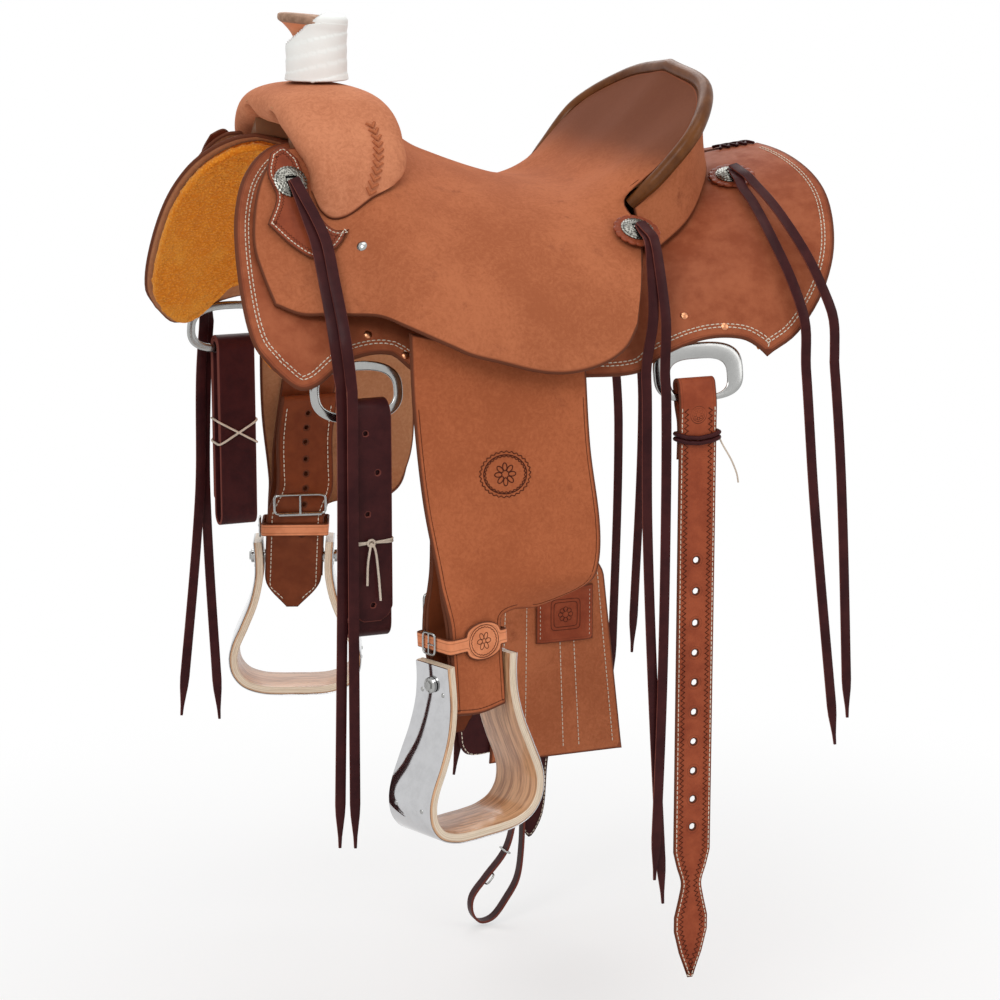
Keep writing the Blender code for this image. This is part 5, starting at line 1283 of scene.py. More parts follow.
def makeBraid(cover, side, word):
    # A braided lace closes the seam on the outside of the swell: pairs of slanted strands along its run
    spots = [Vector((x, side * y, z)) for x, y, z in forkCut["braid"]]
    strands = []
    run = [cover.snap(p) for p in curveThrough(spots, 60)]
    for place, along, normal in alongRun(run, forkCut["braidPitch"]):
        across = normal.cross(along).normalized()
        for way in (-1, 1):
            strand = []
            for k in range(6):
                share = k / 5
                high = 0.0003 + 0.0011 * math.sin(math.pi * min(share + 0.15, 1.0))
                out = across * way * (share - 0.12) * forkCut["braidWidth"] / 2
                strand.append(place + out - along * share * forkCut["braidPitch"] * 0.9 + normal * high)
            strands.append(strand)
    tubePiece(
        "swell_braid_" + word, strands, 0.0017, roughout, "saddle", ["fork_cover"], 6,
    )


def makeFork():
    count = 9
    foot = forkRing(1.0, off)
    rings = []
    for side in (near, off):
        ring = [Vector((p.x, side * p.y, forkFloor(p.x, p.y, forkCut["lift"]))) for p in foot]
        arm = [ring] + [forkRing(k / count, side) for k in range(count - 1, 0, -1)]
        rings += arm if side == near else [forkRing(0.0, off)] + list(reversed(arm))
    # A grid whose rows run round the arch; its columns go round each ring
    turned = [[ring[i] for ring in rings] for i in range(forkCut["ringPoints"])]
    grid = refine(turned, 5, 5, True)
    cover = Hide(grid, True)
    cover.shell(
        "fork_cover_leather", forkCut["coverThick"], [coverHideLit, roughoutRaw, rimLeather], "saddle",
        "roughout_leather", ["fork_cover"],
    )
    makeBraid(cover, near, "near")
    makeBraid(cover, off, "off")
    print("fork ready")
    return cover


hornLook = {
    "x": -0.216, "base": 0.168, "tilt": math.radians(6.0),
    "rings": (
        (0.0, 0.029, 0.0), (0.004, 0.029, 0.0), (0.007, 0.023, 0.0), (0.04, 0.023, 0.0),
        (0.05, 0.025, -0.002), (0.059, 0.031, -0.0055), (0.0625, 0.0345, -0.007), (0.066, 0.0352, -0.007),
        (0.0695, 0.034, -0.007), (0.071, 0.028, -0.007),
    ),
    "capFoot": 0.06, "wrapThick": 0.0026, "steps": 96,
    "wrapProfile": (
        (0.035, 0.0008), (0.034, 0.006), (0.0334, 0.015), (0.0333, 0.03), (0.0335, 0.045), (0.0343, 0.055),
        (0.0358, 0.061), (0.0368, 0.0655), (0.0366, 0.0695), (0.0345, 0.0722), (0.029, 0.0733), (0.015, 0.0735),
        (0.002, 0.0735),
    ),
    "cutFront": 0.042, "cutSlope": 0.78, "cutTurn": math.radians(-28.0),
}


def makeHornWrap(look):
    # White hide wound round the neck; its last turn goes over the rear of the cap and leaves its front bare
    turn = look["cutTurn"]
    aim = Vector((math.cos(turn), math.sin(turn), 0.0))
    line = finer([Vector((r, rise, 0.0)) for r, rise in look["wrapProfile"]], 7)
    rows = []
    for i in range(look["steps"] * 2):
        angle = -math.pi * i / look["steps"]
        row = []
        for p in line:
            radius = p.x
            rise = p.y
            if rise < 0.064:
                # Overlapping turns of hide, each a low step on the one below
                turns = (rise - 0.0075 * math.cos(angle + 0.6)) / 0.015
                radius += 0.0006 * ease((turns - math.floor(turns)) * 1.25) - 0.0003
            lean = math.tan(look["tilt"]) * ease((rise - 0.045) / 0.015)
            x = radius * math.cos(angle)
            shift = -0.0022 * ease((rise - 0.05) / 0.016)
            height = look["base"] + rise - x * lean
            row.append(Vector((look["x"] + shift + x, radius * math.sin(angle), height)))
        rows.append(row)

    def bare(j, i):
        p = (rows[j][i] + rows[(j + 1) % len(rows)][i + 1]) / 2
        along = (p - Vector((look["x"] - 0.0335, 0.0, 0.0))).dot(aim)
        rise = p.z - look["base"]
        return rise > look["cutFront"] + look["cutSlope"] * along

    Hide(rows, True, bare).shell(
        "horn_wrap_hide", look["wrapThick"], [wrapHide, wrapHide, wrapHide], "saddle", "horn_wrap_hide",
        ["horn_wrap"],
    )


def makeHorn():
    look = hornLook
    rings = []
    lows = []
    kinds = []
    for rise, radius, shift in finer([Vector(r) for r in look["rings"]], 4):
        lows.append(rise)
        tilt = math.tan(look["tilt"]) * ease((rise - 0.045) / 0.015)
        ring = []
        for i in range(look["steps"]):
            angle = 2 * math.pi * i / look["steps"]
            x = radius * math.cos(angle)
            height = look["base"] + rise - x * tilt
            ring.append(Vector((look["x"] + shift + x, radius * math.sin(angle), height)))
        rings.append(ring)
    count = look["steps"]
    points = [p for ring in rings for p in ring]
    faces = []
    for j in range(len(rings) - 1):
        for i in range(count):
            k = (i + 1) % count
            faces.append((j * count + i, j * count + k, (j + 1) * count + k, (j + 1) * count + i))
            kinds.append(1 if lows[j] > look["capFoot"] else 0)
    faces.append(tuple(reversed(range(count))))
    faces.append(tuple((len(rings) - 1) * count + i for i in range(count)))
    kinds += [0, 1]
    meshPiece(
        "horn_leather_core", points, faces, [hornLeather, capEdge], "saddle", ["horn"], kinds,
    )
    makeHornWrap(look)
    print("horn ready")


# Sweeps: a closed section carried along a list of frames (origin, x axis, y axis)
def sweepMesh(frames, sections, closed=False):
    points = []
    for (origin, xAxis, yAxis), section in zip(frames, sections):
        points += [origin + xAxis * a + yAxis * b for a, b in section]
    return points, sweepFaces(len(frames), len(sections[0]), closed)


def ovalPoints(width, height, count, rise=0.0, squareness=2.3):
    power = 2 / squareness
    points = []
    for c, s in roundSteps(count):
        points.append(Vector((width / 2 * signedPower(c, power), height / 2 * signedPower(s, power) + rise)))
    return points


def punched(grid, centres, radius, closeRows=False):
    # A skin with round holes: faces inside each circle go, and the edge that is left moves onto the circle
    columns = len(grid[0])
    rows = len(grid)

    def inside(j, i):
        k = (j + 1) % rows
        middle = (grid[j][i] + grid[j][i + 1] + grid[k][i] + grid[k][i + 1]) / 4
        return any((middle - c).length < radius for c in centres)

    hide = Hide(grid, closeRows, inside)
    for loop in hide.loops:
        middle = sum((hide.points[v] for v in loop), Vector()) / len(loop)
        centre = min(centres, key=lambda c: (c - middle).length, default=None)
        if centre is None or (centre - middle).length > radius or len(loop) > 40:
            continue
        for v in loop:
            away = hide.points[v] - centre
            away -= hide.normals[v] * away.dot(hide.normals[v])
            hide.points[v] = centre + away.normalized() * radius
    hide.settle()
    return hide


def outerLoops(hide):
    # The numbers of the long edges, leaving out the punched holes
    return [k for k, loop in enumerate(hide.loops) if len(loop) > 40]


def outerRuns(hide, inset, keep=None):
    runs = []
    for k in outerLoops(hide):
        runs += hide.beside(inset, keep, k)
    return runs


def zigzag(run, pitch, width):
    # A stamped border: a line that crosses from side to side of the run
    line = []
    for k, (place, along, normal) in enumerate(alongRun(run, pitch / 2)):
        across = normal.cross(along).normalized()
        line.append(place + across * width * (0.5 if k % 2 else -0.5) + normal * 0.0001)
    return line


def stampedLines(name, lines, radius, material, body):
    tubePiece(name, [line for line in lines if len(line) > 2], radius, material, body, (), 5)


def petalRings(count, out, length, width, place):
    # A stamped flower: one oval line for each petal; place turns (across, up) into a point
    rings = []
    for c, s in roundSteps(count):
        ring = []
        for turnC, turnS in [*roundSteps(16), (1.0, 0.0)]:
            reach = out + length * turnC
            aside = width * turnS
            ring.append(place(reach * c - aside * s, reach * s + aside * c))
        rings.append(ring)
    return rings


def ovalRings(borders, steps, wide, tall, tooth, place):
    # Stamped ovals, each (scale, number of teeth); a tooth stands out by this share
    rings = []
    for scale, teeth in borders:
        ring = []
        for k in range(steps + 1):
            angle = 2 * math.pi * k / steps
            reach = scale * (1.0 + (tooth * abs((2 * k * teeth / steps) % 2 - 1) if teeth else 0.0))
            ring.append(place(wide * reach * math.cos(angle), tall * reach * math.sin(angle)))
        rings.append(ring)
    return rings


def stripGrid(path, centres, widths, side, step, columns):
    # A strap across X along a path of (y outwards, z)
    fine = finer([Vector((y, z, 0.0)) for y, z in path], 6)
    centreLine = finer([Vector((c, w, 0.0)) for c, w in zip(centres, widths)], 6)
    grid = []
    for k, share in evenStops(fine, max(int(lineLength(fine) / step), 2)):
        p = fine[k].lerp(fine[k + 1], share)
        c = centreLine[k].lerp(centreLine[k + 1], share)
        grid.append([Vector((c.x + c.y * (m / columns - 0.5), side * p.x, p.y)) for m in range(columns + 1)])
    return grid


def holeCentres(grid, spots):
    # Each spot (x, z) is put on the grid's outermost layer there
    centres = []
    for x, z in spots:
        best = min(
            (p for line in grid for p in line if abs(p.x - x) < 0.004 and abs(p.z - z) < 0.004),
            key=lambda p: -abs(p.y), default=None,
        )
        if best is not None:
            centres.append(Vector((x, best.y, z)))
    return centres


# Rigging plates and what loops round their lower bars
frontPlate = {
    "x": -0.253, "width": 0.102, "height": 0.064, "slotWidth": 0.082, "slotHeight": 0.044, "rise": 0.0,
    "tuck": 0.0035,
}
rearPlate = {
    "x": 0.134, "width": 0.108, "height": 0.064, "slotWidth": 0.068, "slotHeight": 0.04, "rise": 0.006,
    "tuck": 0.0062,
}
plateCut = {
    "thick": 0.004, "lean": math.radians(12.0), "steps": 120, "corners": 14,
    "edgePower": 0.55, "facePower": 0.75,
}


def plateAxes(side):
    lean = plateCut["lean"]
    down = Vector((0.0, side * math.sin(lean), -math.cos(lean)))
    out = Vector((0.0, side * math.cos(lean), math.sin(lean)))
    return down, out


def edgeY(x):
    line = skirtCut["bottom"]
    for a, b in zip(line, line[1:]):
        if a[0] <= x <= b[0]:
            return a[1] + (b[1] - a[1]) * (x - a[0]) / (b[0] - a[0])
    return line[0][1]


def plateCentre(spec, side):
    x = spec["x"]
    y = edgeY(x)
    down, out = plateAxes(side)
    edge = Vector((x, side * y, skirtHeight(x, y)))
    return edge - out * (leatherCut["skirtThick"] + spec["tuck"]) + down * (0.001 + spec["height"] / 2)


def barOf(spec, side):
    down = plateAxes(side)[0]
    high = spec["slotHeight"] / 2 - spec["rise"]
    low = spec["height"] / 2
    return plateCentre(spec, side) + down * (high + low) / 2, (low - high) / 2


def makePlates():
    for spec, place, wide in ((frontPlate, "front", 2.6), (rearPlate, "rear", 3.0)):
        for side, word in sides:
            out = plateAxes(side)[1]
            matrix = frameMatrix(plateCentre(spec, side), Vector((side, 0.0, 0.0)), out)
            outer = ovalPoints(spec["width"], spec["height"], plateCut["steps"], 0.0, wide)
            inner = ovalPoints(
                spec["slotWidth"], spec["slotHeight"], plateCut["steps"], spec["rise"], wide + 0.2,
            )
            frames = []
            sections = []
            turn = matrix.to_3x3()
            for a, b in zip(outer, inner):
                middle = (a + b) / 2
                half = (a - b) / 2
                xAxis = turn @ Vector((half.x, half.y, 0.0)).normalized()
                frames.append((matrix @ Vector((middle.x, middle.y, 0.0)), xAxis, out))
                section = []
                for c, s in roundSteps(plateCut["corners"]):
                    across = signedPower(c, plateCut["edgePower"]) * half.length
                    section.append((across, signedPower(s, plateCut["facePower"]) * plateCut["thick"] / 2))
                sections.append(section)
            points, faces = sweepMesh(frames, sections, True)
            name = "rigging_plate_" + place + "_" + word
            meshPiece(name + "_polished", points, faces, [steel], "saddle", [name], None, 60.0)
    print("plates ready")


# Straps wound round the front plates
latigoCut = {
    "near": {"node": "latigo_near", "width": 0.046, "turns": 3, "bottom": -0.392, "shift": 0.006},
    "off": {"node": "off_billet", "width": 0.045, "turns": 2, "bottom": -0.374, "shift": 0.006},
    "coilRadius": 0.0093, "pitch": 0.0041, "columns": 18, "step": 0.0026, "holeRadius": 0.0027,
    "nearHoles": ((-0.253, -0.176), (-0.24, -0.218), (-0.251, -0.262), (-0.246, -0.36)),
    "offHoles": ((-0.247, -0.165), (-0.247, -0.205), (-0.247, -0.246), (-0.247, -0.287), (-0.247, -0.328)),
    "nearTwine": -0.292, "offTwine": -0.262, "twineRadius": 0.0013,
}


def coilPath(centreY, barZ, bottomZ, startRadius, pitch, turns, startDepth):
    path = [(centreY - startRadius, barZ - startDepth)]
    steps = 6
    for turn in range(turns):
        for k in range(steps + 1):
            share = k / steps
            radius = startRadius + pitch * (turn + share * 0.5)
            angle = math.pi * (1 - share)
            path.append((centreY + radius * math.cos(angle), barZ + radius * math.sin(angle)))
        low = bottomZ + (turns - 1 - turn) * 0.012
        if turn == turns - 1:
            radius = startRadius + pitch * (turn + 0.5)
            path.append((centreY + radius, (barZ + low) / 2))
            path.append((centreY + radius, low + 0.03))
        else:
            for k in range(steps + 1):
                share = k / steps
                radius = startRadius + pitch * (turn + 0.5 + share * 0.5)
                angle = -math.pi * share
                path.append((centreY + radius * math.cos(angle), low + radius * math.sin(angle)))
    return path


def makeLatigos():
    for side, word in sides:
        spec = latigoCut[word]
        bar = barOf(frontPlate, side)[0]
        path = coilPath(
            abs(bar.y), bar.z, spec["bottom"], latigoCut["coilRadius"], latigoCut["pitch"], spec["turns"],
            0.11,
        )
        x = frontPlate["x"] + spec["shift"]
        widths = [spec["width"]] * len(path)
        tip = (path[-1][0], path[-1][1] - 0.01)
        path = path + [tip, (tip[0], tip[1] - 0.006)]
        widths = widths + [spec["width"] * 0.8, spec["width"] * 0.4]
        grid = stripGrid(path, [x] * len(path), widths, side, latigoCut["step"], latigoCut["columns"])
        holes = latigoCut["nearHoles"] if side == near else latigoCut["offHoles"]
        centres = holeCentres(grid, holes)
        strap = punched(grid, centres, latigoCut["holeRadius"])
        body = spec["node"]
        strap.shell(
            body + "_strap", leatherCut["strapThick"] - 0.0002, [burgundy, burgundy, burgundyRim], body,
            "latigo_leather", [body], 0.0, 0.6,
        )
        makeTwine(side, word, body, x, spec["width"], abs(bar.y))
    print("latigos ready")


def makeTwine(side, word, body, x, width, middleY):
    reach = latigoCut["coilRadius"] + latigoCut["pitch"] * (latigoCut[word]["turns"] - 0.5) + 0.0034
    z = latigoCut["nearTwine"] if side == near else latigoCut["offTwine"]
    half = width / 2 + 0.0016
    lines = []
    rise = 0.0035 if side == near else 0.014
    for lean in ((1, -1) if side == off else (0.6, -0.2)):
        ring = []
        for p in ovalPoints(2 * half, 2 * reach, 64, 0.0, 7.0):
            ring.append(Vector((x + p.x, side * (middleY + p.y), z + lean * rise * p.x / half)))
        lines.append(ring + [ring[0]])
    knot = Vector((x - 0.002, side * (middleY + reach + 0.0012), z))
    tails = ((-0.004, -0.045, 0.001), (0.007, -0.062, 0.002))
    for dx, dz, dy in tails:
        line = [
            knot, knot + Vector((dx * 0.5, side * 0.0025, -0.006)), knot + Vector((dx, side * dy, dz * 0.5)),
        ]
        line.append(knot + Vector((dx * 1.3, side * (dy + 0.001), dz)))
        lines.append(curveThrough(line, 24))
    angles = [k * 0.55 for k in range(12)]
    lines.append([knot + Vector((0.004 * math.cos(a), side * 0.001, 0.0035 * math.sin(a))) for a in angles])
    tubePiece(body + "_twine", lines, latigoCut["twineRadius"], twine, body, (), 8)


# Rear billet on the near side, flank cinch on the off side
billetCut = {
    "width": 0.045, "columns": 18, "step": 0.0025, "holeRadius": 0.0034,
    "tip": (
        (-0.698, 0.036), (-0.717, 0.025), (-0.736, 0.031), (-0.757, 0.041), (-0.774, 0.041), (-0.8, 0.028),
        (-0.83, 0.006),
    ),
    "holes": (-0.345, -0.38, -0.416, -0.45, -0.484, -0.518, -0.552, -0.586, -0.619, -0.651),
    "keeperZ": -0.206,
}


def loopPath(spec, side, tailZ, endZ, gap):
    bar, half = barOf(spec, side)
    down, out = plateAxes(side)
    thick = leatherCut["strapThick"]
    reach = plateCut["thick"] / 2 + gap + thick / 2
    top = -half - 0.0006
    join = thick / 2 + 0.0006
    inner = [(-reach, half + 0.002)]
    for k in range(7):
        angle = math.pi * (1 - k / 6)
        inner.append((reach * math.cos(angle), top - reach * math.sin(angle)))
    inner.append((reach, half + 0.002))
    below = bar + down * (half + 0.02)
    path = [(abs(below.y) - join, tailZ), (abs(below.y) - join, below.z - 0.004)]
    for n, s in inner:
        p = bar + out * n + down * s
        path.append((abs(p.y), p.z))
    path.append((abs(below.y) + join, below.z - 0.004))
    for k in range(1, 6):
        path.append((abs(below.y) + join, below.z - 0.004 + (endZ - below.z + 0.004) * k / 5))
    return path


def makeRearBillet():
    body = "rear_billet_near"
    path = loopPath(rearPlate, near, -0.232, -0.68, 0.0024)
    widths = [billetCut["width"]] * len(path)
    y = path[-1][0]
    for z, width in billetCut["tip"]:
        path.append((y, z))
        widths.append(width)
    x = rearPlate["x"] - 0.006
    grid = stripGrid(path, [x] * len(path), widths, near, billetCut["step"], billetCut["columns"])
    centres = holeCentres(grid, [(x, z) for z in billetCut["holes"]])
    strap = punched(grid, centres, billetCut["holeRadius"])
    strap.shell(
        body + "_strap", leatherCut["strapThick"], [tooled, tooled, rimLeather], body, "tooled_leather", [body],
        0.0, 0.8,
    )

    def front(p):
        return p.z < -0.172 and p.y < -(y - 0.0006)

    outside = leatherCut["strapThick"] / 2
    runs = lifted(outerRuns(strap, 0.003, front), near, outside)
    stitches(body + "_stitching", runs, body, threadWhite)
    borders = [zigzag(run, 0.006, 0.0046) for run in lifted(outerRuns(strap, 0.0082, front), near, outside)]
    stampedLines(body + "_border", borders, 0.00062, tooledDark, body)
    rims = []
    for c in centres:
        rims.append(circleAt(Vector((c.x, -(abs(c.y) + outside), c.z)), 0.0043, 20))
    stampedLines(body + "_hole_rings", rims, 0.0003, tooledDark, body)
    # A plain stamped flower of eight dots in a double ring
    rosette = []
    spot = Vector((x, -(y + outside), -0.183))
    for radius in (0.0095, 0.0072):
        rosette.append(circleAt(spot, radius, 36))
    for c, s in roundSteps(8):
        rosette.append(circleAt(spot + Vector((c, 0.0, s)) * 0.0042, 0.0016, 10))
    stampedLines(body + "_rosette", rosette, 0.00032, tooledDark, body)
    makeBilletKeeper(body, x, y)
    print("rear billet ready")


def lifted(runs, side, amount):
    # The same runs on the outer face of a strap whose skin is its middle
    result = []
    for run in runs:
        result.append([(p + Vector((0.0, side * amount, 0.0)), Vector((0.0, side, 0.0))) for p, n in run])
    return result


def circleAt(centre, radius, steps):
    ring = [centre + Vector((radius * c, 0.0, radius * s)) for c, s in roundSteps(steps)]
    return ring + [ring[0]]


def makeBilletKeeper(body, x, y):
    # A lace knotted round the billet below the plate, and the thin thong that hangs from it
    z = billetCut["keeperZ"]
    half = billetCut["width"] / 2 + 0.0022
    lines = []
    for shift in (0.0028, -0.0028):
        ring = []
        for p in ovalPoints(2 * half, 0.011, 60, 0.0, 8.0):
            sag = 0.005 * (1.0 - (p.x / half) ** 2) if p.y > 0 else 0.0
            ring.append(Vector((x + p.x, -(y - 0.001 + p.y), z + shift - sag)))
        lines.append(ring + [ring[0]])
    tubePiece(body + "_lace_keeper", lines, 0.0026, burgundy, body, (), 8)
    start = Vector((x + half, -y, z))
    line = [start, start + Vector((0.004, -0.001, -0.01)), start + Vector((0.016, -0.001, -0.03))]
    line += [start + Vector((0.023, -0.001, -0.046)), start + Vector((0.025, -0.001, -0.056))]
    tubePiece(body + "_thong", [curveThrough(line, 30)], 0.001, twine, body, (), 8)


cinchCut = {
    "thick": 0.006, "lean": 0.085, "billetEnd": -0.45, "billetWidth": 0.045, "plyGap": 0.0008,
    "seatGap": 0.0003, "keeperX": 0.187, "keeperZ": -0.534,
    "strapWidth": 0.016, "panelTop": -0.428, "panelFoot": -0.722,
    "tug": (
        (0.05, -0.6), (0.047, -0.69), (0.058, -0.708), (0.09, -0.708), (0.108, -0.7), (0.126, -0.72),
        (0.128, -0.79), (0.143, -0.829), (0.162, -0.8), (0.168, -0.74), (0.172, -0.68), (0.15, -0.64),
        (0.1, -0.61), (0.08, -0.59),
    ),
}


def panelSpot(s, share):
    # Place (x, z) on the flank cinch's panel, s across it from -1 to 1 and share of the way down it
    z = cinchCut["panelTop"] + (cinchCut["panelFoot"] - cinchCut["panelTop"]) * share
    half = 0.06 + 0.008 * ease(share * 6) + 0.024 * share
    centre = 0.1695 + 0.0085 * share
    return centre + half * s, z - 0.012 * s * (1 - share)


def makeFlankCinch():
    body = "flank_cinch"
    path = loopPath(rearPlate, off, -0.225, cinchCut["billetEnd"], 0.0024)
    centres = [rearPlate["x"] + cinchCut["lean"] * (-0.15 - z) for y, z in path]
    grid = stripGrid(path, centres, [cinchCut["billetWidth"]] * len(path), off, 0.003, 14)
    strap = Hide(grid)
    strap.shell(
        "flank_billet_strap", leatherCut["strapThick"], [burgundy, burgundy, burgundyRim], body,
        "latigo_leather",
        ["flank_billet_off"], 0.0, 0.8,
    )
    y = path[-1][0] - leatherCut["strapThick"] / 2 - cinchCut["plyGap"] - cinchCut["thick"] / 2
    rows = []
    for k in range(31):
        share = k / 30
        row = []
        for m in range(25):
            s = m / 12 - 1
            corner = 0.016 * max(s - 0.62, 0.0) ** 2 / 0.144 * (1 - ease(share * 5))
            x, z = panelSpot(s, share)
            row.append(Vector((x, y, z - corner)))
        rows.append(row)
    Hide(rows).shell(
        "cinch_panel", cinchCut["thick"], [roughout, roughout, rimLeather], body, "roughout_leather",
        ["flank_cinch"], 0.0, 0.8,
    )
    half = cinchCut["thick"] / 2
    seams = []
    for s in (-0.86, -0.48, 0.1, 0.34, 0.86):
        run = [panelSpot(s, 0.06 + 0.9 * k / 39) for k in range(40)]
        for face in (-1.0, 1.0):
            seams.append([(Vector((x, y + face * half, z)), Vector((0.0, face, 0.0))) for x, z in run])
    stitches("cinch_seams", seams, body, threadWhite)
    makeCinchKeeper(body, y - half)
    makeCinchTug(body, y)


def makeCinchKeeper(body, inner):
    middleX = cinchCut["keeperX"]
    middleZ = cinchCut["keeperZ"]
    keeperY = inner - cinchCut["seatGap"] - 0.004
    grid = []
    for k in range(19):
        z = middleZ + 0.036 - 0.072 * k / 18
        line = []
        for m in range(23):
            s = m / 11 - 1.0
            bulge = 0.003 * ease((abs(s) - 0.72) / 0.28)
            line.append(Vector((middleX + 0.039 * s, keeperY + bulge, z)))
        grid.append(line)
    keeper = Hide([list(reversed(line)) for line in grid])
    keeper.shell(
        "cinch_keeper_strap", 0.002, [tooled, tooled, rimLeather], body, "tooled_leather", ["cinch_keeper"],
        0.0, 1.0,
    )
    front = keeperY - 0.001
    rows = []
    for s in (-1, 1):
        normal = Vector((s * 0.6, -0.8, 0.0)).normalized()
        x = middleX + s * 0.0335
        spots = [Vector((x, front + 0.0022, middleZ + rise)) for rise in (0.031, 0.0, -0.031)]
        rows.append([(p, normal) for p in spots])
    stitches("cinch_keeper_stitching", rows, body, threadWhite)
    stamps = []
    for size in (0.04, 0.032):
        oval = ovalPoints(size, size, 48, 0.0, 8.0)
        ring = [Vector((middleX + p.x, front, middleZ + p.y)) for p in oval]
        stamps.append(ring + [ring[0]])
    for c, s in roundSteps(8):
        petal = Vector((middleX + 0.0068 * c, front, middleZ + 0.0068 * s))
        stamps.append(circleAt(petal, 0.003, 14))
    stampedLines("cinch_keeper_stamp", stamps, 0.0004, tooledDark, body)


def flatShape(name, outline, thick, matrix, materials, body, nodes):
    # A cut flat piece with half-round edges: fan of rings shrinking to the middle
    middle = sum(outline, Vector((0.0, 0.0))) / len(outline)
    upper = ((0.02, 0.5), (0.5, 0.5), (0.93, 0.5), (0.985, 0.36), (1.0, 0.0))
    lower = [(share, -height) for share, height in reversed(upper[:-1])]
    points = []
    for share, height in [*upper, *lower]:
        points += [matrix @ Vector((*(middle + (p - middle) * share), thick * height)) for p in outline]
    faces = ringFaces(len(upper) + len(lower), len(outline))
    return meshPiece(name, points, faces, materials, body, nodes, None, 60.0)


def makeCinchTug(body, y):
    tugY = y + cinchCut["thick"] / 2 + cinchCut["plyGap"] + 0.002
    outline = [Vector((p.x, p.y)) for p in finer([Vector((x, z, 0.0)) for x, z in cinchCut["tug"]], 5, True)]
    matrix = frameMatrix((0.0, tugY, 0.0), (1.0, 0.0, 0.0), (0.0, -1.0, 0.0))
    flatShape("cinch_tug_leather", outline, 0.004, matrix, [burgundy], body, ["cinch_tug"])
    middle = sum(outline, Vector((0.0, 0.0))) / len(outline)
    runs = []
    for face in (-1, 1):
        run = []
        for p in outline + outline[:1]:
            q = middle + (p - middle) * (1 - 0.0042 / max((p - middle).length, 0.004))
            run.append((Vector((q.x, tugY + face * 0.002, q.y)), Vector((0.0, face, 0.0))))
        runs.append(run)
    stitches("cinch_tug_stitching", runs, body, threadWhite)
    # Connector strap, its loop, keeper ring and buckle
    top = tugY - 0.0103
    line = [
        (0.118, -0.77), (0.117, -0.8), (0.106, -0.838), (0.078, -0.872), (0.06, -0.895), (0.059, -0.915),
        (0.07, -0.929), (0.088, -0.926), (0.106, -0.905), (0.122, -0.878), (0.128, -0.84), (0.13, -0.79),
    ]
    fine = curveThrough([Vector((x, top, z)) for x, z in line], 120)
    rows = [[p + Vector((0.0, cinchCut["strapWidth"] * (m / 8 - 0.5), 0.0)) for m in range(9)] for p in fine]
    Hide(rows).shell(
        "connector_strap", 0.003, [burgundy, burgundy, burgundyRim], "cinch_connector", "latigo_leather",
        ["cinch_connector"], 0.0, 0.9,
    )
    half = cinchCut["strapWidth"] / 2 + 0.0016
    for name, k in (("connector_keeper_ring", 24), ("connector_buckle", 38)):
        spot = fine[k]
        along = alongAt(fine, k)
        across = Vector((0.0, 1.0, 0.0))
        square = along.cross(across).normalized()
        if name == "connector_keeper_ring":
            ring = [spot + across * p.x + square * p.y for p in ovalPoints(2 * half, 0.0084, 40, 0.0, 5.0)]
        else:
            oval = ovalPoints(2 * half + 0.003, 0.016, 40, 0.0, 4.0)
            ring = [spot + across * p.x + along * p.y + square * 0.003 for p in oval]
        tubePiece(name, [ring], 0.0013, steel, "cinch_connector", (), 10, True)
    print("flank cinch ready")


# Fenders, stirrup leathers, hobble straps and stirrups hang in a plane that leans out
hangCut = {
    "planeY": 0.258, "planeZ": -0.135, "lean": 0.16,
    "top": ((-0.203, -0.074), (-0.1, -0.1), (-0.006, -0.118)),
    "front": (
        (-0.203, -0.074), (-0.204, -0.15), (-0.199, -0.25), (-0.186, -0.345), (-0.1855, -0.385),
        (-0.1855, -0.469),
    ),
    "rear": (
        (-0.006, -0.118), (-0.006, -0.205), (0.0, -0.29), (-0.006, -0.335), (-0.024, -0.358), (-0.062, -0.373),
        (-0.094, -0.37), (-0.112, -0.375), (-0.1145, -0.382), (-0.1145, -0.469),
    ),
    "leatherWidth": 0.07, "topX": -0.125, "footX": -0.15, "bendY": 0.1827, "hangerZ": -0.024,
    "yaw": math.radians(20.0), "twistStart": -0.335, "twistEnd": -0.382, "boltZ": -0.437, "sleeve": 0.009,
    "foldZ": -0.235, "foldRadius": 0.0027, "tipZ": -0.5, "hobbleCorner": 0.0036, "hobbleEndShift": 0.006,
    "hobbleHeight": 0.016, "hobbleThick": 0.0028, "hobbleZ": -0.3965,
    "hobbleEndLength": 0.048, "hobbleEndHeight": 0.04, "stamp": (-0.106, -0.226), "stampSize": (0.027, 0.0225),
    "holeZ": (-0.252, -0.27, -0.29, -0.309, -0.328, -0.347, -0.366, -0.402),
}
boltD = -(leatherCut["packGap"] + 0.002 + hangCut["sleeve"] + 0.003)
stirrupCut = {
    "outline": (
        (0.048, 0.022), (0.0465, 0.0), (0.047, -0.022), (0.053, -0.05), (0.065, -0.08), (0.0765, -0.106),
        (0.08, -0.124), (0.0765, -0.143), (0.064, -0.158), (0.043, -0.166), (0.02, -0.168), (0.0, -0.168),
    ),
    "woodThick": 0.009, "cladThick": 0.0014, "depth": 0.068, "topDepth": 0.052, "gap": 0.0003, "steps": 220,
    "boltRadius": 0.005, "screw": ((0.0001, 0.0009), (0.0014, 0.0008), (0.0024, 0.0003), (0.0026, -0.0002)),
}


def planeY(z):
    return hangCut["planeY"] + hangCut["lean"] * (hangCut["planeZ"] - z)


def leatherX(z):
    fall = ease((hangCut["hangerZ"] - 0.06 - z) / 0.22)
    return hangCut["topX"] + (hangCut["footX"] - hangCut["topX"]) * fall


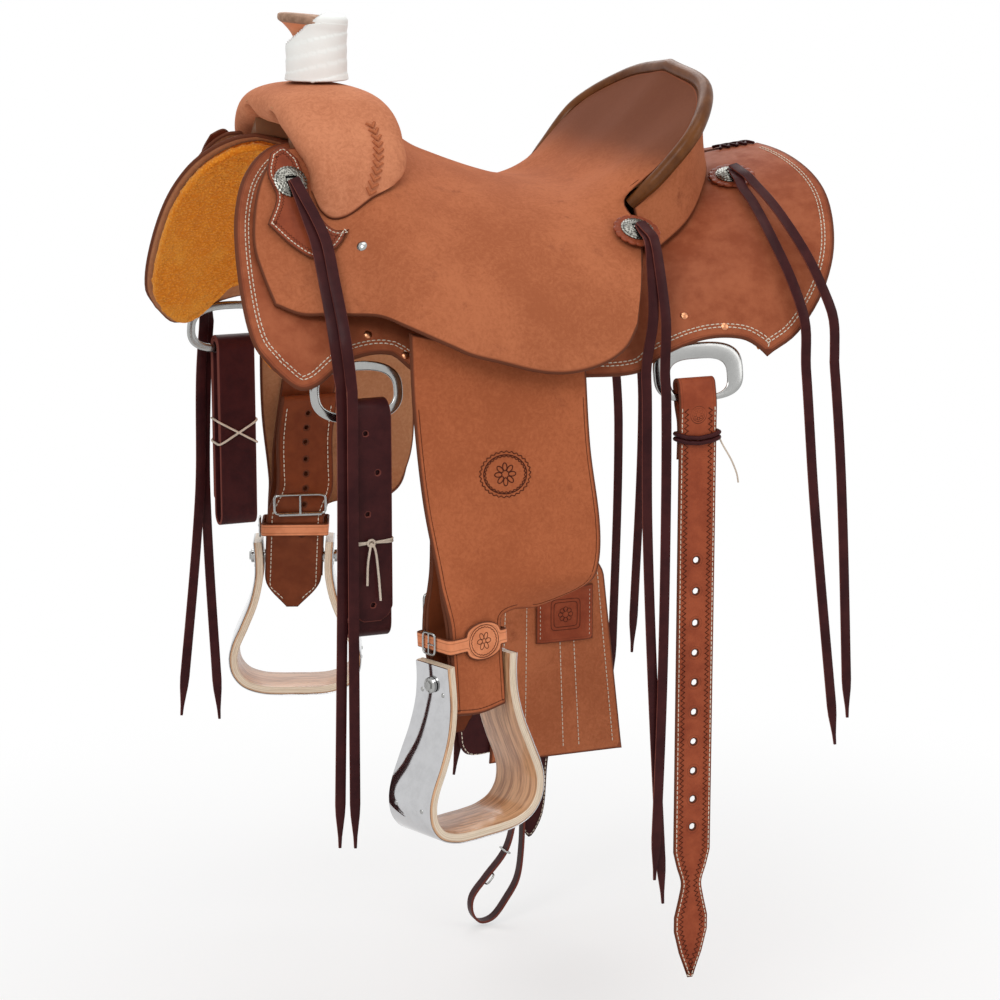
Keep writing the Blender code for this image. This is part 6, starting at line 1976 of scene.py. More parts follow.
def fenderPoint(side, a, d, z):
    # a along the width from the leather's centre line, d outwards from the fender's inner face
    share = ease((hangCut["twistStart"] - z) / (hangCut["twistStart"] - hangCut["twistEnd"]))
    yaw = hangCut["yaw"] * share
    x = leatherX(z) + a * math.cos(yaw) + d * math.sin(yaw)
    y = planeY(z) - a * math.sin(yaw) + d * math.cos(yaw)
    return Vector((x, side * y, z))


def fenderInward(side, z):
    # Direction from the fender towards the horse at this height
    return (fenderPoint(side, 0.0, -1.0, z) - fenderPoint(side, 0.0, 0.0, z)).normalized()


def risen(side, a, d, z, rise):
    p = fenderPoint(side, a, d, z)
    return Vector((p.x, p.y - side * hangCut["lean"] * rise, z + rise))


def makeFender(side, word):
    body = "fender_" + word
    left = flat(hangCut["front"])
    right = flat(hangCut["rear"])
    low = (left[-1], ((left[-1][0] + right[-1][0]) / 2, left[-1][1] - 0.004, 0.0), right[-1])
    grid = coons(left, right, flat(hangCut["top"]), low, 40, 100)
    lines = []
    for line in grid:
        row = [fenderPoint(side, p[0] - leatherX(p[1]), 0.0, p[1]) for p in line]
        lines.append(row if side == off else list(reversed(row)))
    skin = Hide(lines)
    thick = leatherCut["fenderThick"]
    skin.shell(
        body + "_leather", thick, [roughoutSmooth, roughoutRaw, rimLeather], body, "roughout_leather", [body],
        1.0,
    )

    def lower(p):
        return p.z < -0.15

    def stamped(across, up):
        x = hangCut["stamp"][0] + across
        z = hangCut["stamp"][1] + up
        return fenderPoint(side, x - leatherX(z), 0.0, z) + Vector((0.0, side * (thick + 0.0001), 0.0))

    creases = [[p + n * (thick + 0.0001) for p, n in run] for run in skin.beside(0.0058, lower)]
    stampedLines(body + "_edge_crease", creases, 0.00035, tooledDark, body)
    # A plain stamped oval with a zigzag border, and a small rosette inside it
    wide, tall = hangCut["stampSize"]
    rings = ovalRings(((1.0, 30), (0.9, 0), (0.8, 30)), 120, wide, tall, 0.085, stamped)
    rings += petalRings(8, 0.0078, 0.0042, 0.0024, stamped)
    stampedLines(body + "_stamp", rings, 0.0006, tooledDark, body)


def leatherPath():
    # (d, z) of the stirrup leather below the skirt, and which of them go round the bolt's sleeve
    outer = -(leatherCut["packGap"] + 0.002)
    path = [(outer, -0.135), (outer, -0.22), (outer, -0.3)]
    path += [(outer, -0.335 - 0.0118 * k) for k in range(5)] + [(outer, -0.412)]
    turn = hangCut["sleeve"] + 0.003
    loop = []
    for k in range(13):
        angle = math.pi * k / 12
        loop.append(len(path))
        path.append((boltD + turn * math.cos(angle), hangCut["boltZ"] - turn * math.sin(angle)))
    # Up behind the outer ply, over the fold and down again beside itself to the buckled tip
    rising = [
        (-0.0365, -0.39), (-0.036, -0.382), (-0.0345, -0.365), (-0.031, -0.348), (-0.024, -0.325),
        (-0.016, -0.285), (-0.013, -0.245),
    ]
    path += [(-0.032, -0.415)] + rising
    fold = hangCut["foldRadius"]
    for k in range(9):
        angle = math.pi * k / 8
        path.append((-0.013 - fold + fold * math.cos(angle), hangCut["foldZ"] + fold * math.sin(angle)))
    tip = [(-0.033, -0.415), (-0.03, -0.44), (-0.0295, -0.47), (-0.0295, hangCut["tipZ"])]
    path += [(d - 2 * fold, z) for d, z in rising[::-1] + tip]
    return path, loop


def makeStirrupLeather(side, word):
    body = "fender_" + word
    width = hangCut["leatherWidth"]
    columns = 24
    bend = hangCut["bendY"]
    topZ = hangCut["hangerZ"] + width / 2
    neck = [(bend, topZ), (bend, topZ - 0.01), (bend, hangCut["hangerZ"]), (0.185, -0.036), (0.205, -0.057)]
    neck += [(0.233, -0.085), (0.25, -0.108)]
    ends = []
    for y, z in neck:
        wide = width
        if z > hangCut["hangerZ"]:
            wide = 2 * math.sqrt(max((width / 2) ** 2 - (z - hangCut["hangerZ"]) ** 2, 0.01 ** 2))
        ends.append([Vector((leatherX(z) + s * wide / 2, side * y, z)) for s in (-1, 1)])
    path, loop = leatherPath()
    for k, (d, z) in enumerate(path):
        wide = width
        if k == len(path) - 1:
            wide = 0.014
        if k == len(path) - 2:
            wide = width * 0.92
        if k in loop:
            row = [fenderPoint(side, s * wide / 2, d, hangCut["boltZ"]) for s in (-1, 1)]
            ends.append([Vector((p.x, p.y, z)) for p in row])
        else:
            ends.append([fenderPoint(side, s * wide / 2, d, z) for s in (-1, 1)])
    left = finer([row[0] for row in ends], 8)
    right = finer([row[1] for row in ends], 8)
    grid = evenRows(left, right, 0.003, columns)
    last = 2 * hangCut["foldRadius"]
    spots = []
    for z in hangCut["holeZ"]:
        nearest = [p for line in grid for p in line[8:17]]
        middle = fenderPoint(side, 0.0, -0.013 - last, z)
        best = min(nearest, key=lambda p: abs(p.z - z) * 8 + abs(p.y) + abs(p.x - middle.x) * 6)
        spots.append(best)
    leather = punched(grid, spots, 0.0026)
    leather.shell(
        "stirrup_leather_" + word + "_strap", 0.004, [oiled, oiled, rimLeather], body, "stirrup_leather",
        ["stirrup_leather_" + word], 0.0, 0.8,
    )
    inner = []
    for s in (-1, 1):
        run = []
        for z in [hangCut["foldZ"] - 0.01 - k * 0.004 for k in range(62)]:
            depth = pathDepth(path, z)
            if depth is None:
                continue
            taper = 1.0 - ease((-0.47 - z) / 0.022) * 0.62
            p = fenderPoint(side, s * width * 0.4 * taper, depth, z)
            normal = fenderInward(side, z)
            run.append((p + normal * 0.0021, normal))
        inner.append(run)
    stitches("stirrup_leather_" + word + "_stitching", inner, body, threadWhite)
    makeLeatherBuckle(side, word, body, path)


def pathDepth(path, z):
    # Depth of the innermost layer at this height
    best = None
    for a, b in zip(path, path[1:]):
        low, high = sorted((a[1], b[1]))
        if low <= z <= high and high > low:
            d = a[0] + (b[0] - a[0]) * (z - a[1]) / (b[1] - a[1])
            best = d if best is None else min(best, d)
    return best


def evenRows(left, right, step, columns):
    middle = [(a + b) / 2 for a, b in zip(left, right)]
    grid = []
    for k, share in evenStops(middle, max(int(lineLength(middle) / step), 2)):
        a = left[k].lerp(left[k + 1], share)
        b = right[k].lerp(right[k + 1], share)
        grid.append([a.lerp(b, m / columns) for m in range(columns + 1)])
    return grid


def makeLeatherBuckle(side, word, body, path):
    # Roller buckle on the inner side, above the hobble strap
    z = -0.364
    depth = pathDepth(path, z) - 0.0052
    centre = fenderPoint(side, 0.0, depth, z)
    across = (fenderPoint(side, 1.0, depth, z) - fenderPoint(side, 0.0, depth, z)).normalized()
    inward = fenderInward(side, z)
    up = Vector((0.0, 0.0, 1.0))
    half = hangCut["leatherWidth"] / 2
    frame = [centre + across * p.x + up * p.y for p in ovalPoints(2 * half - 0.008, 0.024, 64, 0.0, 7.0)]
    tubePiece("leather_buckle_" + word, [frame], 0.0016, steel, body, (), 10, True)
    low = centre - up * 0.012
    ends = [low - across * (half - 0.009), low + across * (half - 0.009)]
    tubePiece("leather_buckle_roller_" + word, [evenSteps(ends, 8)], 0.0027, steel, body, (), 14)
    high = centre + up * 0.0118
    tongue = [high + inward * 0.0018, centre + inward * 0.002, low + inward * 0.003]
    tubePiece(
        "leather_buckle_tongue_" + word, [curveThrough(tongue, 12)], 0.0014, steel, body, (), 10,
    )


def hobbleLoop(half, outer, inner):
    # (a, d) round the strap: a rounded rectangle that begins at its front corner
    corner = hangCut["hobbleCorner"]
    turns = (
        (half - corner, outer - corner, 0.0, 48), (corner - half, outer - corner, 90.0, 12),
        (corner - half, inner + corner, 180.0, 20), (half - corner, inner + corner, 270.0, 12),
    )
    arcs = []
    for a, d, start, steps in turns:
        angles = [math.radians(start + 15.0 * k) for k in range(7)]
        arcs.append([(a + corner * math.cos(angle), d + corner * math.sin(angle)) for angle in angles])
    loop = []
    for number, arc in enumerate(arcs):
        steps = turns[number][3]
        a, d = arc[-1]
        nextA, nextD = arcs[(number + 1) % 4][0]
        loop += arc + [(a + (nextA - a) * k / steps, d + (nextD - d) * k / steps) for k in range(1, steps)]
    return loop


def makeHobble(side, word):
    body = "fender_" + word
    z = hangCut["hobbleZ"]
    thick = hangCut["hobbleThick"]
    half = hangCut["leatherWidth"] / 2 + 0.0046
    outer = leatherCut["fenderThick"] + 0.001 + thick / 2
    inner = -0.0365 - 0.0052 - 0.002 - 0.0012 - thick / 2
    middle = hangCut["hobbleEndShift"]
    rows = []
    for a, d in hobbleLoop(half, outer, inner):
        tall = hangCut["hobbleHeight"] / 2
        part = (a - middle) / (hangCut["hobbleEndLength"] / 2)
        if d > outer - 0.0005 and abs(part) < 1.0:
            tall += (hangCut["hobbleEndHeight"] - hangCut["hobbleHeight"]) / 2 * math.sqrt(1.0 - part ** 2)
        rows.append([risen(side, a, d, z, tall * (m / 8 - 1)) for m in range(17)])
    Hide(rows, True).shell(
        "hobble_strap_" + word + "_leather", thick, [tooledPale, tooledPale, rimLeather], body,
        "skirting_leather", ["hobble_strap_" + word], 0.0, 0.9,
    )

    def stamped(across, up):
        return risen(side, middle + across, outer + thick / 2, z, up)

    wide = hangCut["hobbleEndLength"] / 2
    rings = ovalRings(((0.84, 0), (0.7, 26)), 104, wide, hangCut["hobbleEndHeight"] / 2, 0.05, stamped)
    rings += petalRings(6, 0.0058, 0.0036, 0.0024, stamped)
    stampedLines("hobble_stamp_" + word, rings, 0.0004, tooledDark, body)
    origin = risen(side, 0.0, 0.0, z, 0.0)
    matrix = frameMatrix(
        risen(side, -half - thick / 2 - 0.0022, inner * 0.5, z, 0.0), risen(side, 0.0, 1.0, z, 0.0) - origin,
        risen(side, -1.0, 0.0, z, 0.0) - origin,
    )
    ring = [matrix @ Vector((p.x, p.y, 0.0)) for p in ovalPoints(0.019, 0.023, 48, 0.0, 5.0)]
    bar = [matrix @ Vector((0.0, y, 0.0006)) for y in (-0.011, 0.0, 0.011)]
    tongue = [matrix @ Vector((x, 0.0, h)) for x, h in ((0.0, 0.0014), (0.005, 0.002), (0.0095, 0.0014))]
    parts = [tubeMesh(ring, 0.0013, 10, True), tubeMesh(bar, 0.001, 8), tubeMesh(tongue, 0.0009, 8)]
    points, faces = joinParts(parts)
    name = "hobble_buckle_" + word
    meshPiece(name + "_ring", points, faces, [steel], body, [name])


def stirrupFrame(side):
    centre = fenderPoint(side, 0.0, boltD, hangCut["boltZ"])
    yaw = hangCut["yaw"]
    along = Vector((math.cos(yaw), -side * math.sin(yaw), 0.0))
    out = Vector((math.sin(yaw), side * math.cos(yaw), 0.0))
    across = -out if side == near else out
    turn = Matrix((along, across, Vector((0.0, 0.0, 1.0)))).transposed().to_4x4()
    return Matrix.Translation(centre) @ turn


def stirrupLine(shrink, count):
    right = [Vector((x, 0.0, z)) for x, z in stirrupCut["outline"]]
    left = [Vector((-x, 0.0, z)) for x, z in reversed(stirrupCut["outline"][:-1])]
    line = curveThrough(right + left, count)
    moved = []
    for k, p in enumerate(line):
        along = alongAt(line, k)
        inward = Vector((along.z, 0.0, -along.x))
        if inward.dot(Vector((0.0, 0.0, -0.085)) - p) < 0:
            inward = -inward
        moved.append((p + inward * shrink, inward))
    return moved


def stirrupDepth(z):
    share = ease((0.022 - z) / 0.11)
    return stirrupCut["topDepth"] + (stirrupCut["depth"] - stirrupCut["topDepth"]) * share


def roundedBar(wide, tall, radius, corner=3):
    # Rounded rectangle as (across, up); returns the points and which side each stretch belongs to
    points = []
    kinds = []
    for cx, cy, start in ((1, 1, 0), (-1, 1, 90), (-1, -1, 180), (1, -1, 270)):
        for k in range(corner + 1):
            angle = math.radians(start + 90 * k / corner)
            x = cx * (wide / 2 - radius) + radius * math.cos(angle)
            points.append((x, cy * (tall / 2 - radius) + radius * math.sin(angle)))
            kinds.append(start)
    return points, kinds


def makeStirrup(side, word):
    place = stirrupFrame(side)
    turn = place.to_3x3()
    body = "stirrup_" + word
    line = stirrupLine(stirrupCut["woodThick"] / 2, stirrupCut["steps"])
    frames = []
    sections = []
    lay = []
    walked = 0.0
    for k, (p, inward) in enumerate(line):
        if k:
            walked += (p - line[k - 1][0]).length
        depth = stirrupDepth(p.z)
        section, kinds = roundedBar(depth, stirrupCut["woodThick"], 0.0016)
        frames.append((place @ p, turn @ Vector((0.0, 1.0, 0.0)), turn @ inward))
        sections.append(section)
        lay += [(a, walked, b + 0.0005) for a, b in section]
    points, faces = sweepMesh(frames, sections)
    size = len(sections[0])
    materialOf = []
    for number in range(len(faces)):
        spot = number % size
        inside = kinds[spot] == 0 and spot >= 3
        materialOf.append(1 if not (inside or kinds[spot] == 180) else 0)
    woodPiece("stirrup_wood_" + word + "_ash", points, faces, materialOf, lay, body, ["stirrup_wood_" + word])
    shrink = -(stirrupCut["gap"] + stirrupCut["cladThick"] / 2)
    frames = []
    sections = []
    for p, inward in stirrupLine(shrink, stirrupCut["steps"]):
        section = roundedBar(stirrupDepth(p.z) - 0.002, stirrupCut["cladThick"], 0.00065)[0]
        frames.append((place @ p, turn @ Vector((0.0, 1.0, 0.0)), turn @ inward))
        sections.append(section)
    points, faces = sweepMesh(frames, sections)
    meshPiece(
        "stirrup_cladding_" + word + "_sheet", points, faces, [steelMirror], body,
        ["stirrup_cladding_" + word], None, 60.0,
    )
    makeBolt(side, word, place, body)


def woodPiece(name, points, faces, materialOf, lay, body, nodes):
    obj = meshPiece(name, points, faces, [ashFace, ashEdge], body, nodes, materialOf)
    layer = obj.data.attributes.new("lay", "FLOAT_VECTOR", "POINT")
    layer.data.foreach_set("vector", [value for spot in lay for value in spot])


def makeBolt(side, word, place, body):
    outside = stirrupCut["outline"][1][0] + stirrupCut["gap"] + stirrupCut["cladThick"] + 0.001
    inside = stirrupCut["outline"][1][0] - stirrupCut["woodThick"] - 0.0012
    head = outside + 0.0045
    radius = stirrupCut["boltRadius"]
    spin = Matrix.Rotation(math.pi / 2, 4, "Y")
    profile = [
        (0.0001, head), (0.005, head), (0.0078, head - 0.0006), (0.0085, head - 0.0014), (0.0085, outside),
        (radius, outside),
        (radius, inside), (hangCut["sleeve"], inside), (hangCut["sleeve"], -inside), (radius, -inside),
        (radius, -outside), (0.0085, -outside), (0.0085, -head + 0.0014), (0.0078, -head + 0.0006),
        (0.005, -head), (0.0001, -head),
    ]
    parts = [lathe(profile, 40, place @ spin)]
    for sign in (-1, 1):
        hexagon = []
        for high in (head - 0.0004, head + 0.0016):
            corners = [Vector((0.0052 * c, 0.0052 * s, sign * high)) for c, s in roundSteps(6)]
            hexagon += [place @ spin @ corner for corner in corners]
        faces = [(0, 1, 2, 3, 4, 5), (11, 10, 9, 8, 7, 6)]
        faces += [(k, k + 6, (k + 1) % 6 + 6, (k + 1) % 6) for k in range(6)]
        if sign > 0:
            faces = [tuple(reversed(face)) for face in faces]
        parts.append((hexagon, faces))
    points, faces = joinParts(parts)
    meshPiece(
        "stirrup_bolt_" + word + "_turned", points, faces, [steel], body, ["stirrup_bolt_" + word],
        None, 35.0,
    )
    # Screws that hold the metal on the wood
    screws = []
    line = stirrupLine(-(stirrupCut["gap"] + stirrupCut["cladThick"]), stirrupCut["steps"])
    for share in (0.055, 0.3, 0.7, 0.945):
        p, inward = line[int(share * (len(line) - 1))]
        for across in (-0.3, 0.3):
            spot = place @ (p + Vector((0.0, across * stirrupDepth(p.z), 0.0)))
            matrix = frameMatrix(spot, place.to_3x3() @ Vector((0.0, 1.0, 0.0)), place.to_3x3() @ -inward)
            screws.append(lathe(stirrupCut["screw"], 14, matrix))
    points, faces = joinParts(screws)
    meshPiece("stirrup_screws_" + word, points, faces, [steel], body)


def makeHanging():
    for side, word in sides:
        makeFender(side, word)
        makeStirrupLeather(side, word)
        makeHobble(side, word)
        makeStirrup(side, word)
    print("fenders and stirrups ready")


# Conchos, rosettes, front patches and strings
trimCut = {
    "conchoRadius": 0.0185, "conchoRise": 0.005, "rosetteRadius": 0.0265, "rosetteThick": 0.003,
    "scallops": 16,
    "midRise": 0.003, "stringWidth": 0.012, "plyGap": 0.0008, "offStand": 0.014,
    "front": (-0.29, 0.126), "mid": (0.08, 0.194), "rear": (0.243, 0.096),
    "patchTop": ((-0.305, 0.106), (-0.29, 0.102), (-0.277, 0.109)),
    "patchLeft": ((-0.305, 0.106), (-0.312, 0.118), (-0.308, 0.134), (-0.322, 0.148)),
    "patchRight": ((-0.277, 0.109), (-0.273, 0.123), (-0.27, 0.142), (-0.256, 0.161), (-0.238, 0.169)),
    "patchBottom": ((-0.322, 0.148), (-0.3, 0.167), (-0.279, 0.178), (-0.255, 0.176), (-0.238, 0.169)),
}
tails = {
    "front": (
        (
            (-0.283, 0.154, 0.03), (-0.279, 0.171, 0.006), (-0.277, 0.203, -0.042), (-0.277, 0.229, -0.085),
            (-0.277, 0.247, -0.13), (-0.279, 0.2555, -0.2), (-0.281, 0.256, -0.35), (-0.287, 0.256, -0.622),
        ),
        (
            (-0.275, 0.154, 0.03), (-0.268, 0.173, 0.004), (-0.266, 0.206, -0.042), (-0.266, 0.235, -0.085),
            (-0.268, 0.256, -0.13), (-0.27, 0.262, -0.2), (-0.271, 0.263, -0.35), (-0.272, 0.263, -0.622),
        ),
    ),
    "mid": (
        (
            (0.081, 0.225, -0.034), (0.077, 0.238, -0.08), (0.067, 0.252, -0.12), (0.066, 0.2575, -0.16),
            (0.068, 0.258, -0.3), (0.078, 0.257, -0.5), (0.093, 0.256, -0.737),
        ),
        (
            (0.089, 0.225, -0.036), (0.089, 0.24, -0.084), (0.087, 0.254, -0.12), (0.087, 0.2615, -0.16),
            (0.088, 0.262, -0.3), (0.086, 0.262, -0.5), (0.08, 0.261, -0.706),
        ),
    ),
    "rear": (
        (
            (0.237, 0.135, None), (0.238, 0.16, None), (0.24, 0.204, -0.016), (0.246, 0.237, -0.056),
            (0.252, 0.2565, -0.098), (0.255, 0.262, -0.14), (0.272, 0.258, -0.3), (0.309, 0.25, -0.578),
        ),
        (
            (0.25, 0.135, None), (0.257, 0.174, None), (0.27, 0.218, -0.029), (0.277, 0.241, -0.06),
            (0.284, 0.256, -0.092), (0.289, 0.262, -0.13), (0.305, 0.258, -0.28), (0.324, 0.25, -0.548),
        ),
    ),
}
offTips = {
    "front": ((-0.31, 0.256, -0.619), (-0.26, 0.263, -0.631)),
    "mid": ((0.046, 0.257, -0.738), (0.07, 0.262, -0.7)),
    "rear": ((0.261, 0.25, -0.641), (0.29, 0.25, -0.6)),
}


def outwardAt(height, p):
    if p[2] < -0.125:
        return Vector((0.0, 1.0, 0.0))
    return surfaceNormal(height, p[0], min(p[1], 0.255))


def makeString(spot, number, side, word):
    # One tail of a lace, from its concho to its cut tip
    height = skirtHeight if spot == "rear" else seatHeight
    x, y = trimCut[spot]
    centre = onSurface(height, x, y)
    square = surfaceNormal(height, x, y)
    over = 0.0022 + leatherCut["patchThick"] + trimCut["conchoRise"] + leatherCut["laceThick"]
    lift = over + (leatherCut["laceThick"] + 0.001) * number
    if spot == "mid":
        lift += trimCut["midRise"] - 0.0012
    points = [Vector((px, py, height(px, py) if z is None else z)) for px, py, z in tails[spot][number]]
    if side == off:
        points[-1] = Vector(offTips[spot][number])
        stand = trimCut["offStand"]
        points = [p + Vector((0.0, stand * ease((-0.16 - p.z) / 0.1), 0.0)) for p in points]
    run = points[0] - centre
    run = (run - square * run.dot(square)).normalized()
    points = [
        centre + run * 0.002, centre + run * 0.014, centre + run * (trimCut["rosetteRadius"] + 0.003),
    ] + points
    fine = curveThrough(points, 241)
    rows = [fine[round(240 * (k / 80) ** 1.35)] for k in range(81)]
    frames = []
    sections = []
    half = trimCut["stringWidth"] / 2
    thick = leatherCut["laceThick"] / 2
    section = ((0.0, 1.0), (0.72, 1.0), (0.93, 0.72), (1.0, 0.0), (0.93, -0.72), (0.72, -1.0), (0.0, -1.0))
    section = section + tuple((-a, b) for a, b in reversed(section[1:-1]))
    raised = []
    for p in rows:
        share = 1.0 - ease((p - centre).length / 0.1 - 0.3)
        normal = square.lerp(outwardAt(height, p), 1.0 - share).normalized()
        raised.append((p + normal * lift * ease((p.z + 0.14) / 0.06), normal))
    middle = [p for p, normal in raised]
    for k, (p, normal) in enumerate(raised):
        along = alongAt(middle, k)
        across = along.cross(normal).normalized()
        up = across.cross(along).normalized()
        wide = half * (1.0 - 0.75 * ease((k - 76) / 4.0))
        if side == near:
            across = -across
        frames.append((sidePoint(p, side), sidePoint(across, side), sidePoint(up, side)))
        sections.append([(a * wide, b * thick) for a, b in section])
    points, faces = sweepMesh(frames, sections)
    name = "string_" + spot + "_" + word
    size = len(section)
    kinds = [1 if face % size in (2, 3, 8, 9) else 0 for face in range(len(faces))]
    nodes = [name] if number == 0 else ()
    obj = meshPiece(
        name + "_tail" + str(number + 1), points, faces, [burgundy, burgundyRim], "saddle",
        nodes, kinds, 50.0,
    )


def surfacePlace(height, x, y, lift, side):
    normal = sidePoint(surfaceNormal(height, x, y), side)
    return frameMatrix(sidePoint(onSurface(height, x, y, lift), side), (1.0, 0.0, 0.0), normal)


def conchoPlace(spot, lift, side):
    height = skirtHeight if spot == "rear" else seatHeight
    x, y = trimCut[spot]
    return surfacePlace(height, x, y, lift, side)


def makeConcho(spot, side, word):
    # Domed silver disc with a scalloped rim, engraved scrolls and a slot for the string
    rise = trimCut["midRise"] if spot == "mid" else 0.0
    stand = trimCut["plyGap"] * 2 + trimCut["rosetteThick"]
    if spot == "front":
        stand = leatherCut["packGap"] + trimCut["plyGap"] * 2 + leatherCut["patchThick"]
    place = conchoPlace(spot, stand - 0.0004 + rise, side)
    radius = trimCut["conchoRadius"]
    steps = 168
    rings = 44
    points = []
    dark = []
    for j in range(rings + 1):
        share = max(j / rings, 0.01)
        for k in range(steps):
            angle = 2 * math.pi * k / steps
            edge = 1.0 - 0.035 * abs(math.sin(14 * angle))
            r = radius * share * (edge if share > 0.9 else 1.0)
            dome = trimCut["conchoRise"] * (1 - 0.82 * share ** 2.2)
            petals = math.cos(12 * angle + 9.0 * share) * math.cos(30 * share + 2.0 * math.sin(6 * angle))
            scroll = ease((petals - 0.05) / 0.35) if 0.34 < share < 0.84 else 0.0
            groove = 1.0 if abs(share - 0.88) < 0.025 or abs(share - 0.31) < 0.02 else 0.0
            x = r * math.cos(angle)
            y = r * math.sin(angle)
            # The engraved cuts are darkened as the silver's own patina; the slot is painted black, painted
            # shade standing in for an opening
            slot = 1.0 if abs(abs(y) - 0.003) < 0.0013 and abs(x) < 0.0062 else 0.0
            low = 0.00028 * scroll + 0.00035 * groove + 0.0016 * slot
            points.append(place @ Vector((x, y, dome - low)))
            dark.append(min(0.55 * scroll + 0.9 * groove + 1.0 * slot, 1.0))
    # The underside is painted black, painted shade where the disc's rim meets the leather
    for c, s in roundSteps(steps):
        points.append(place @ Vector((radius * 0.97 * c, radius * 0.97 * s, 0.0)))
        dark.append(1.0)
    faces = ringFaces(rings + 2, steps)
    node = "concho_" + spot + "_" + word
    meshPiece(
        node + "_engraved", points, faces, [silver], "saddle", [node], None, 50.0,
        {"dark": dark},
    )


def makeRosette(spot, side, word):
    rise = trimCut["midRise"] if spot == "mid" else 0.0
    place = conchoPlace(spot, trimCut["plyGap"] + trimCut["rosetteThick"] / 2 + rise, side)
    name = "rosette_" + spot + "_" + word
    scallopDisc(name + "_leather", place, trimCut["rosetteRadius"], trimCut["rosetteThick"], [name])


def scallopDisc(name, place, radius, thick, nodes):
    outline = []
    for k, (c, s) in enumerate(roundSteps(192)):
        lobe = abs(math.sin(trimCut["scallops"] / 2 * 2 * math.pi * k / 192))
        r = radius * (0.925 + 0.075 * lobe ** 0.6)
        outline.append((r * c, r * s, lobe))
    profile = (
        (0.1, 0.5), (0.6, 0.5), (0.72, 0.5), (0.745, 0.4), (0.77, 0.5), (0.86, 0.5), (0.93, 0.47),
        (0.975, 0.34), (1.0, 0.05), (0.985, -0.35), (0.94, -0.5), (0.1, -0.5),
    )
    points = []
    for share, high in profile:
        for x, y, lobe in outline:
            stamp = 0.16 * (1 - lobe) if 0.78 < share < 0.96 and high > 0 else 0.0
            points.append(place @ Vector((x * share, y * share, thick * (high - stamp))))
    faces = ringFaces(len(profile), len(outline))
    gaps = [0.01] * len(points)
    meshPiece(
        name, points, faces, [tooledDeep], "saddle", nodes, None, 60.0, {"edgeGap": gaps},
    )


def makePatch(side, word):
    grid = coons(
        flat(trimCut["patchLeft"]), flat(trimCut["patchRight"]), flat(trimCut["patchTop"]),
        flat(trimCut["patchBottom"]), 48, 56,
    )
    lift = leatherCut["packGap"] + trimCut["plyGap"] + leatherCut["patchThick"]
    rows = [[onSurface(seatHeight, p.x, p.y, lift) for p in line] for line in grid]
    patch = Hide(sided(rows, side))
    patch.shell(
        "front_patch_" + word + "_leather", leatherCut["patchThick"], [tooledDeep, tooledDeep, rimLeather],
        "saddle", "tooled_leather", ["front_patch_" + word],
    )
    stitches(
        "front_patch_" + word + "_stitching", patch.beside(0.004), "saddle", threadWhite,
        0.0044, 0.0034,
    )
    borders = [zigzag(run, 0.0036, 0.002) for run in patch.beside(0.0078)]
    stampedLines("front_patch_" + word + "_border", borders, 0.0003, tooledDark, "saddle")


headLook = {
    "rivets": ((-0.235, 0.214), (-0.199, 0.23), (0.123, 0.228), (0.164, 0.244)), "screws": ((-0.231, 0.186),),
    "rivetProfile": ((0.0001, 0.0018), (0.0022, 0.0016), (0.0038, 0.0009), (0.0046, 0.0002), (0.0046, -0.001)),
    "screwProfile": ((0.0001, 0.0022), (0.0026, 0.0019), (0.0046, 0.001), (0.0056, 0.0002), (0.0056, -0.001)),
}


def turnedHeads(name, height, spots, profile, steps, material):
    # Rivets or screws set on both sides of the saddle
    parts = []
    for side, word in sides:
        for x, y in spots:
            parts.append(lathe(profile, steps, surfacePlace(height, x, y, 0.0, side)))
    points, faces = joinParts(parts)
    meshPiece(name, points, faces, [material], "saddle")


def makeTrim():
    for side, word in sides:
        makePatch(side, word)
        for spot in ("front", "mid", "rear"):
            makeConcho(spot, side, word)
            if spot != "front":
                makeRosette(spot, side, word)
    look = headLook
    turnedHeads("skirt_rivets", skirtHeight, look["rivets"], look["rivetProfile"], 22, copper)
    turnedHeads("jockey_screws", seatHeight, look["screws"], look["screwProfile"], 26, steel)
    makeSkirtLacing()
    print("trim ready")


def makeSkirtLacing():
    # The lace that draws the two skirts together behind the cantle
    lines = []
    spots = [0.2705 + 0.043 * k / 4 for k in range(5)]
    for k in range(4):
        for s in (-1, 1):
            line = []
            for m in range(13):
                share = m / 12
                x = spots[k] + (spots[k + 1] - spots[k]) * share
                y = s * 0.01 * (1 - 2 * share)
                arch = 0.0016 + 0.0008 * math.sin(math.pi * share) * (1 + 0.4 * s)
                line.append(Vector((x, y, skirtHeight(x, abs(y)) + arch)))
            lines.append(line)
    tubePiece("skirt_lacing_thong", lines, 0.0017, burgundy, "saddle", ["skirt_lacing"], 8)


# Camera, lights and floor
studio = {
    "camera": (-1.261, -3.122, 0.433), "aim": (0.0, 0.0, -0.32), "focal": 107.6,
    "floorDrop": 0.006, "floorSize": 9.0, "floorTone": 0.92, "white": 1.0, "ambient": 0.5,
    "shadowShare": 0.45,
    "fadeStart": 0.45, "fadeEnd": 1.35,
    "lamps": (
        ("keyLamp", (-2.4, -2.6, 2.6), 2.2, 62.0), ("fillLamp", (2.6, -2.4, 1.4), 2.6, 26.0),
        ("backLamp", (0.8, 2.8, 2.2), 2.4, 34.0), ("topLamp", (0.0, -0.4, 3.2), 2.4, 26.0),
    ),
}


def aimedAt(obj, target):
    obj.rotation_euler = (Vector(target) - obj.location).to_track_quat("-Z", "Y").to_euler()


def makeCamera():
    data = bpy.data.cameras.new("photoCamera")
    data.sensor_width = 36.0
    data.lens = studio["focal"]
    data.clip_start = 0.05
    camera = bpy.data.objects.new("photoCamera", data)
    camera.location = studio["camera"]
    bpy.context.scene.collection.objects.link(camera)
    aimedAt(camera, studio["aim"])
    bpy.context.scene.camera = camera


